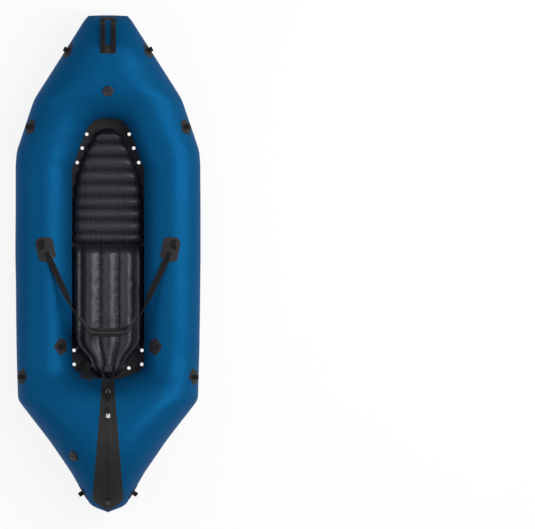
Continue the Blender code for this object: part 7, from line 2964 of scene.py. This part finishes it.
@dataclass
class Studio:
    """The pale floor, the soft lamps and the camera over the raft."""

    picture_width: float = 535.0
    metres_per_pixel: float = 0.005075
    object_pixel: Pair = (108.0, 263.7)
    picture_middle: Pair = (267.5, 264.5)
    floor_size: float = 14.0

    def floor(self) -> None:
        """A pale floor that shows white to the camera and keeps the raft's shadow."""
        count = 24
        steps = np.linspace(-self.floor_size / 2, self.floor_size / 2, count + 1)
        rows = np.array([[(x, y, -0.0004) for x in steps] for y in steps])
        mesh = grid(rows).mesh("studio_floor")
        sheet = NodeSheet("studio_floor_paper")
        sheet.coat(sheet.blend(sheet.noise(3.0, 4.0), (0.78, 0.78, 0.78), (0.82, 0.82, 0.82)), 0.9)
        path = sheet.add("ShaderNodeLightPath")
        seen = sheet.math("MAXIMUM", path.outputs["Is Camera Ray"], path.outputs["Is Glossy Ray"])
        seen = sheet.math("MAXIMUM", seen, path.outputs["Is Transmission Ray"])
        glow = sheet.add("ShaderNodeEmission")
        glow.inputs["Strength"].default_value = 1.0
        mix = sheet.add("ShaderNodeMixShader")
        sheet.feed(sheet.times(seen, 0.86), mix.inputs[0])
        sheet.tree.links.new(sheet.shader.outputs[0], mix.inputs[1])
        sheet.tree.links.new(glow.outputs[0], mix.inputs[2])
        sheet.tree.links.new(mix.outputs[0], sheet.tree.nodes["Material Output"].inputs["Surface"])
        mesh.materials.append(sheet.material)
        placed("studio_floor", mesh)

    def lamp(self, name: str, place: Vector, size: Pair, power: float) -> None:
        """A soft lamp that faces the raft.

        Args:
            name: its name.
            place: where it hangs.
            size: width and height of its face.
            power: its power in watts.
        """
        data = bpy.data.lights.new(name, "AREA")
        data.shape = "RECTANGLE"
        data.size, data.size_y = size
        data.energy = power
        aim = UP * 0.2
        turn = (aim - place).to_track_quat("-Z", "Y").to_matrix().to_4x4()
        placed(name, data).matrix_world = Matrix.Translation(place) @ turn

    def lights(self) -> None:
        """The key from starboard, a fill from port, and the room's even light."""
        self.lamp("key_softbox", Vector((3.0, 0.6, 3.6)), (1.6, 4.6), 175.0)
        self.lamp("fill_softbox", Vector((-3.4, -0.4, 3.2)), (2.4, 4.6), 45.0)
        world = bpy.data.worlds.new("studio_room")
        world.use_nodes = True
        world.node_tree.nodes["Background"].inputs["Color"].default_value = (0.9, 0.93, 1.0, 1.0)
        world.node_tree.nodes["Background"].inputs["Strength"].default_value = 0.55
        bpy.context.scene.world = world

    def camera(self) -> None:
        """A camera straight above, with the raft where the photograph's first view has it."""
        data = bpy.data.cameras.new("camera")
        data.type = "ORTHO"
        data.ortho_scale = self.picture_width * self.metres_per_pixel
        camera = placed("camera", data)
        x = (self.picture_middle[0] - self.object_pixel[0]) * self.metres_per_pixel
        y = -(self.picture_middle[1] - self.object_pixel[1]) * self.metres_per_pixel
        camera.location = (x, y, 6.0)
        bpy.context.scene.camera = camera

    def build(self) -> None:
        """Set the floor, the lamps, the camera and the plain view."""
        self.floor()
        self.lights()
        self.camera()
        bpy.context.scene.view_settings.view_transform = "Standard"


def main() -> None:
    """Dress every sub-assembly in order and set the studio."""
    logging.basicConfig(level=logging.INFO, format="%(name)s: %(message)s")
    shop = Workshop()
    form = HullForm()
    HullSkin(form).dress(shop)
    WearSkins(form).dress(shop)
    FloorSheet(form).dress(shop)
    AirPad(
        "leg_air_pad", "leg_pad",
        (
            (0.08, 0.985), (0.1, 1.0), (0.2336, 0.997), (0.288, 0.96), (0.3355, 0.905), (0.39, 0.8),
            (0.444, 0.655),
            (0.4985, 0.455), (0.5257, 0.32), (0.5445, 0.12),
        ),
        (0.0775, 0.5445), (0.0775, 0.125, 0.178, 0.226, 0.275, 0.328, 0.382, 0.438, 0.494, 0.5445),
        Channels.ACROSS, 0.0545, 0.021, form,
    ).dress(shop, Puff())
    AirPad(
        "seat_air_pad", "seat_pad",
        (
            (-0.459, 0.16), (-0.448, 0.3), (-0.421, 0.45), (-0.381, 0.6), (-0.317, 0.98), (-0.3, 1.0),
            (0.0, 1.0),
            (0.0745, 0.99),
        ),
        (-0.459, 0.0735), (-1.0, -0.765, -0.225, 0.3, 0.775, 1.0), Channels.ALONG, 0.076, 0.024, form,
        undercut=0.9, ripple=0.0007, ripple_pitch=0.036, hold_disc=(0.0, -0.53361, 0.024),
    ).dress(shop, Puff())
    SeatValve(form).dress(shop)
    for valve in HULL_VALVES:
        valve.dress(shop)
    deck = CargoZip(form)
    deck.dress(shop)
    GrabHandle(form).dress(shop)
    LineLoops(form).dress(shop)
    for side in Side:
        SideRigging(form, side).dress(shop)
    BackBand(form).dress(shop, Puff(voxel=0.004, cap=0.003, slack=0.02))
    RearRigging(form, deck).dress(shop)
    SeatAnchor(form).dress(shop)
    Studio().build()
    LOG.info("%d pieces dressed", shop.count)


if __name__ == "__main__":
    main()
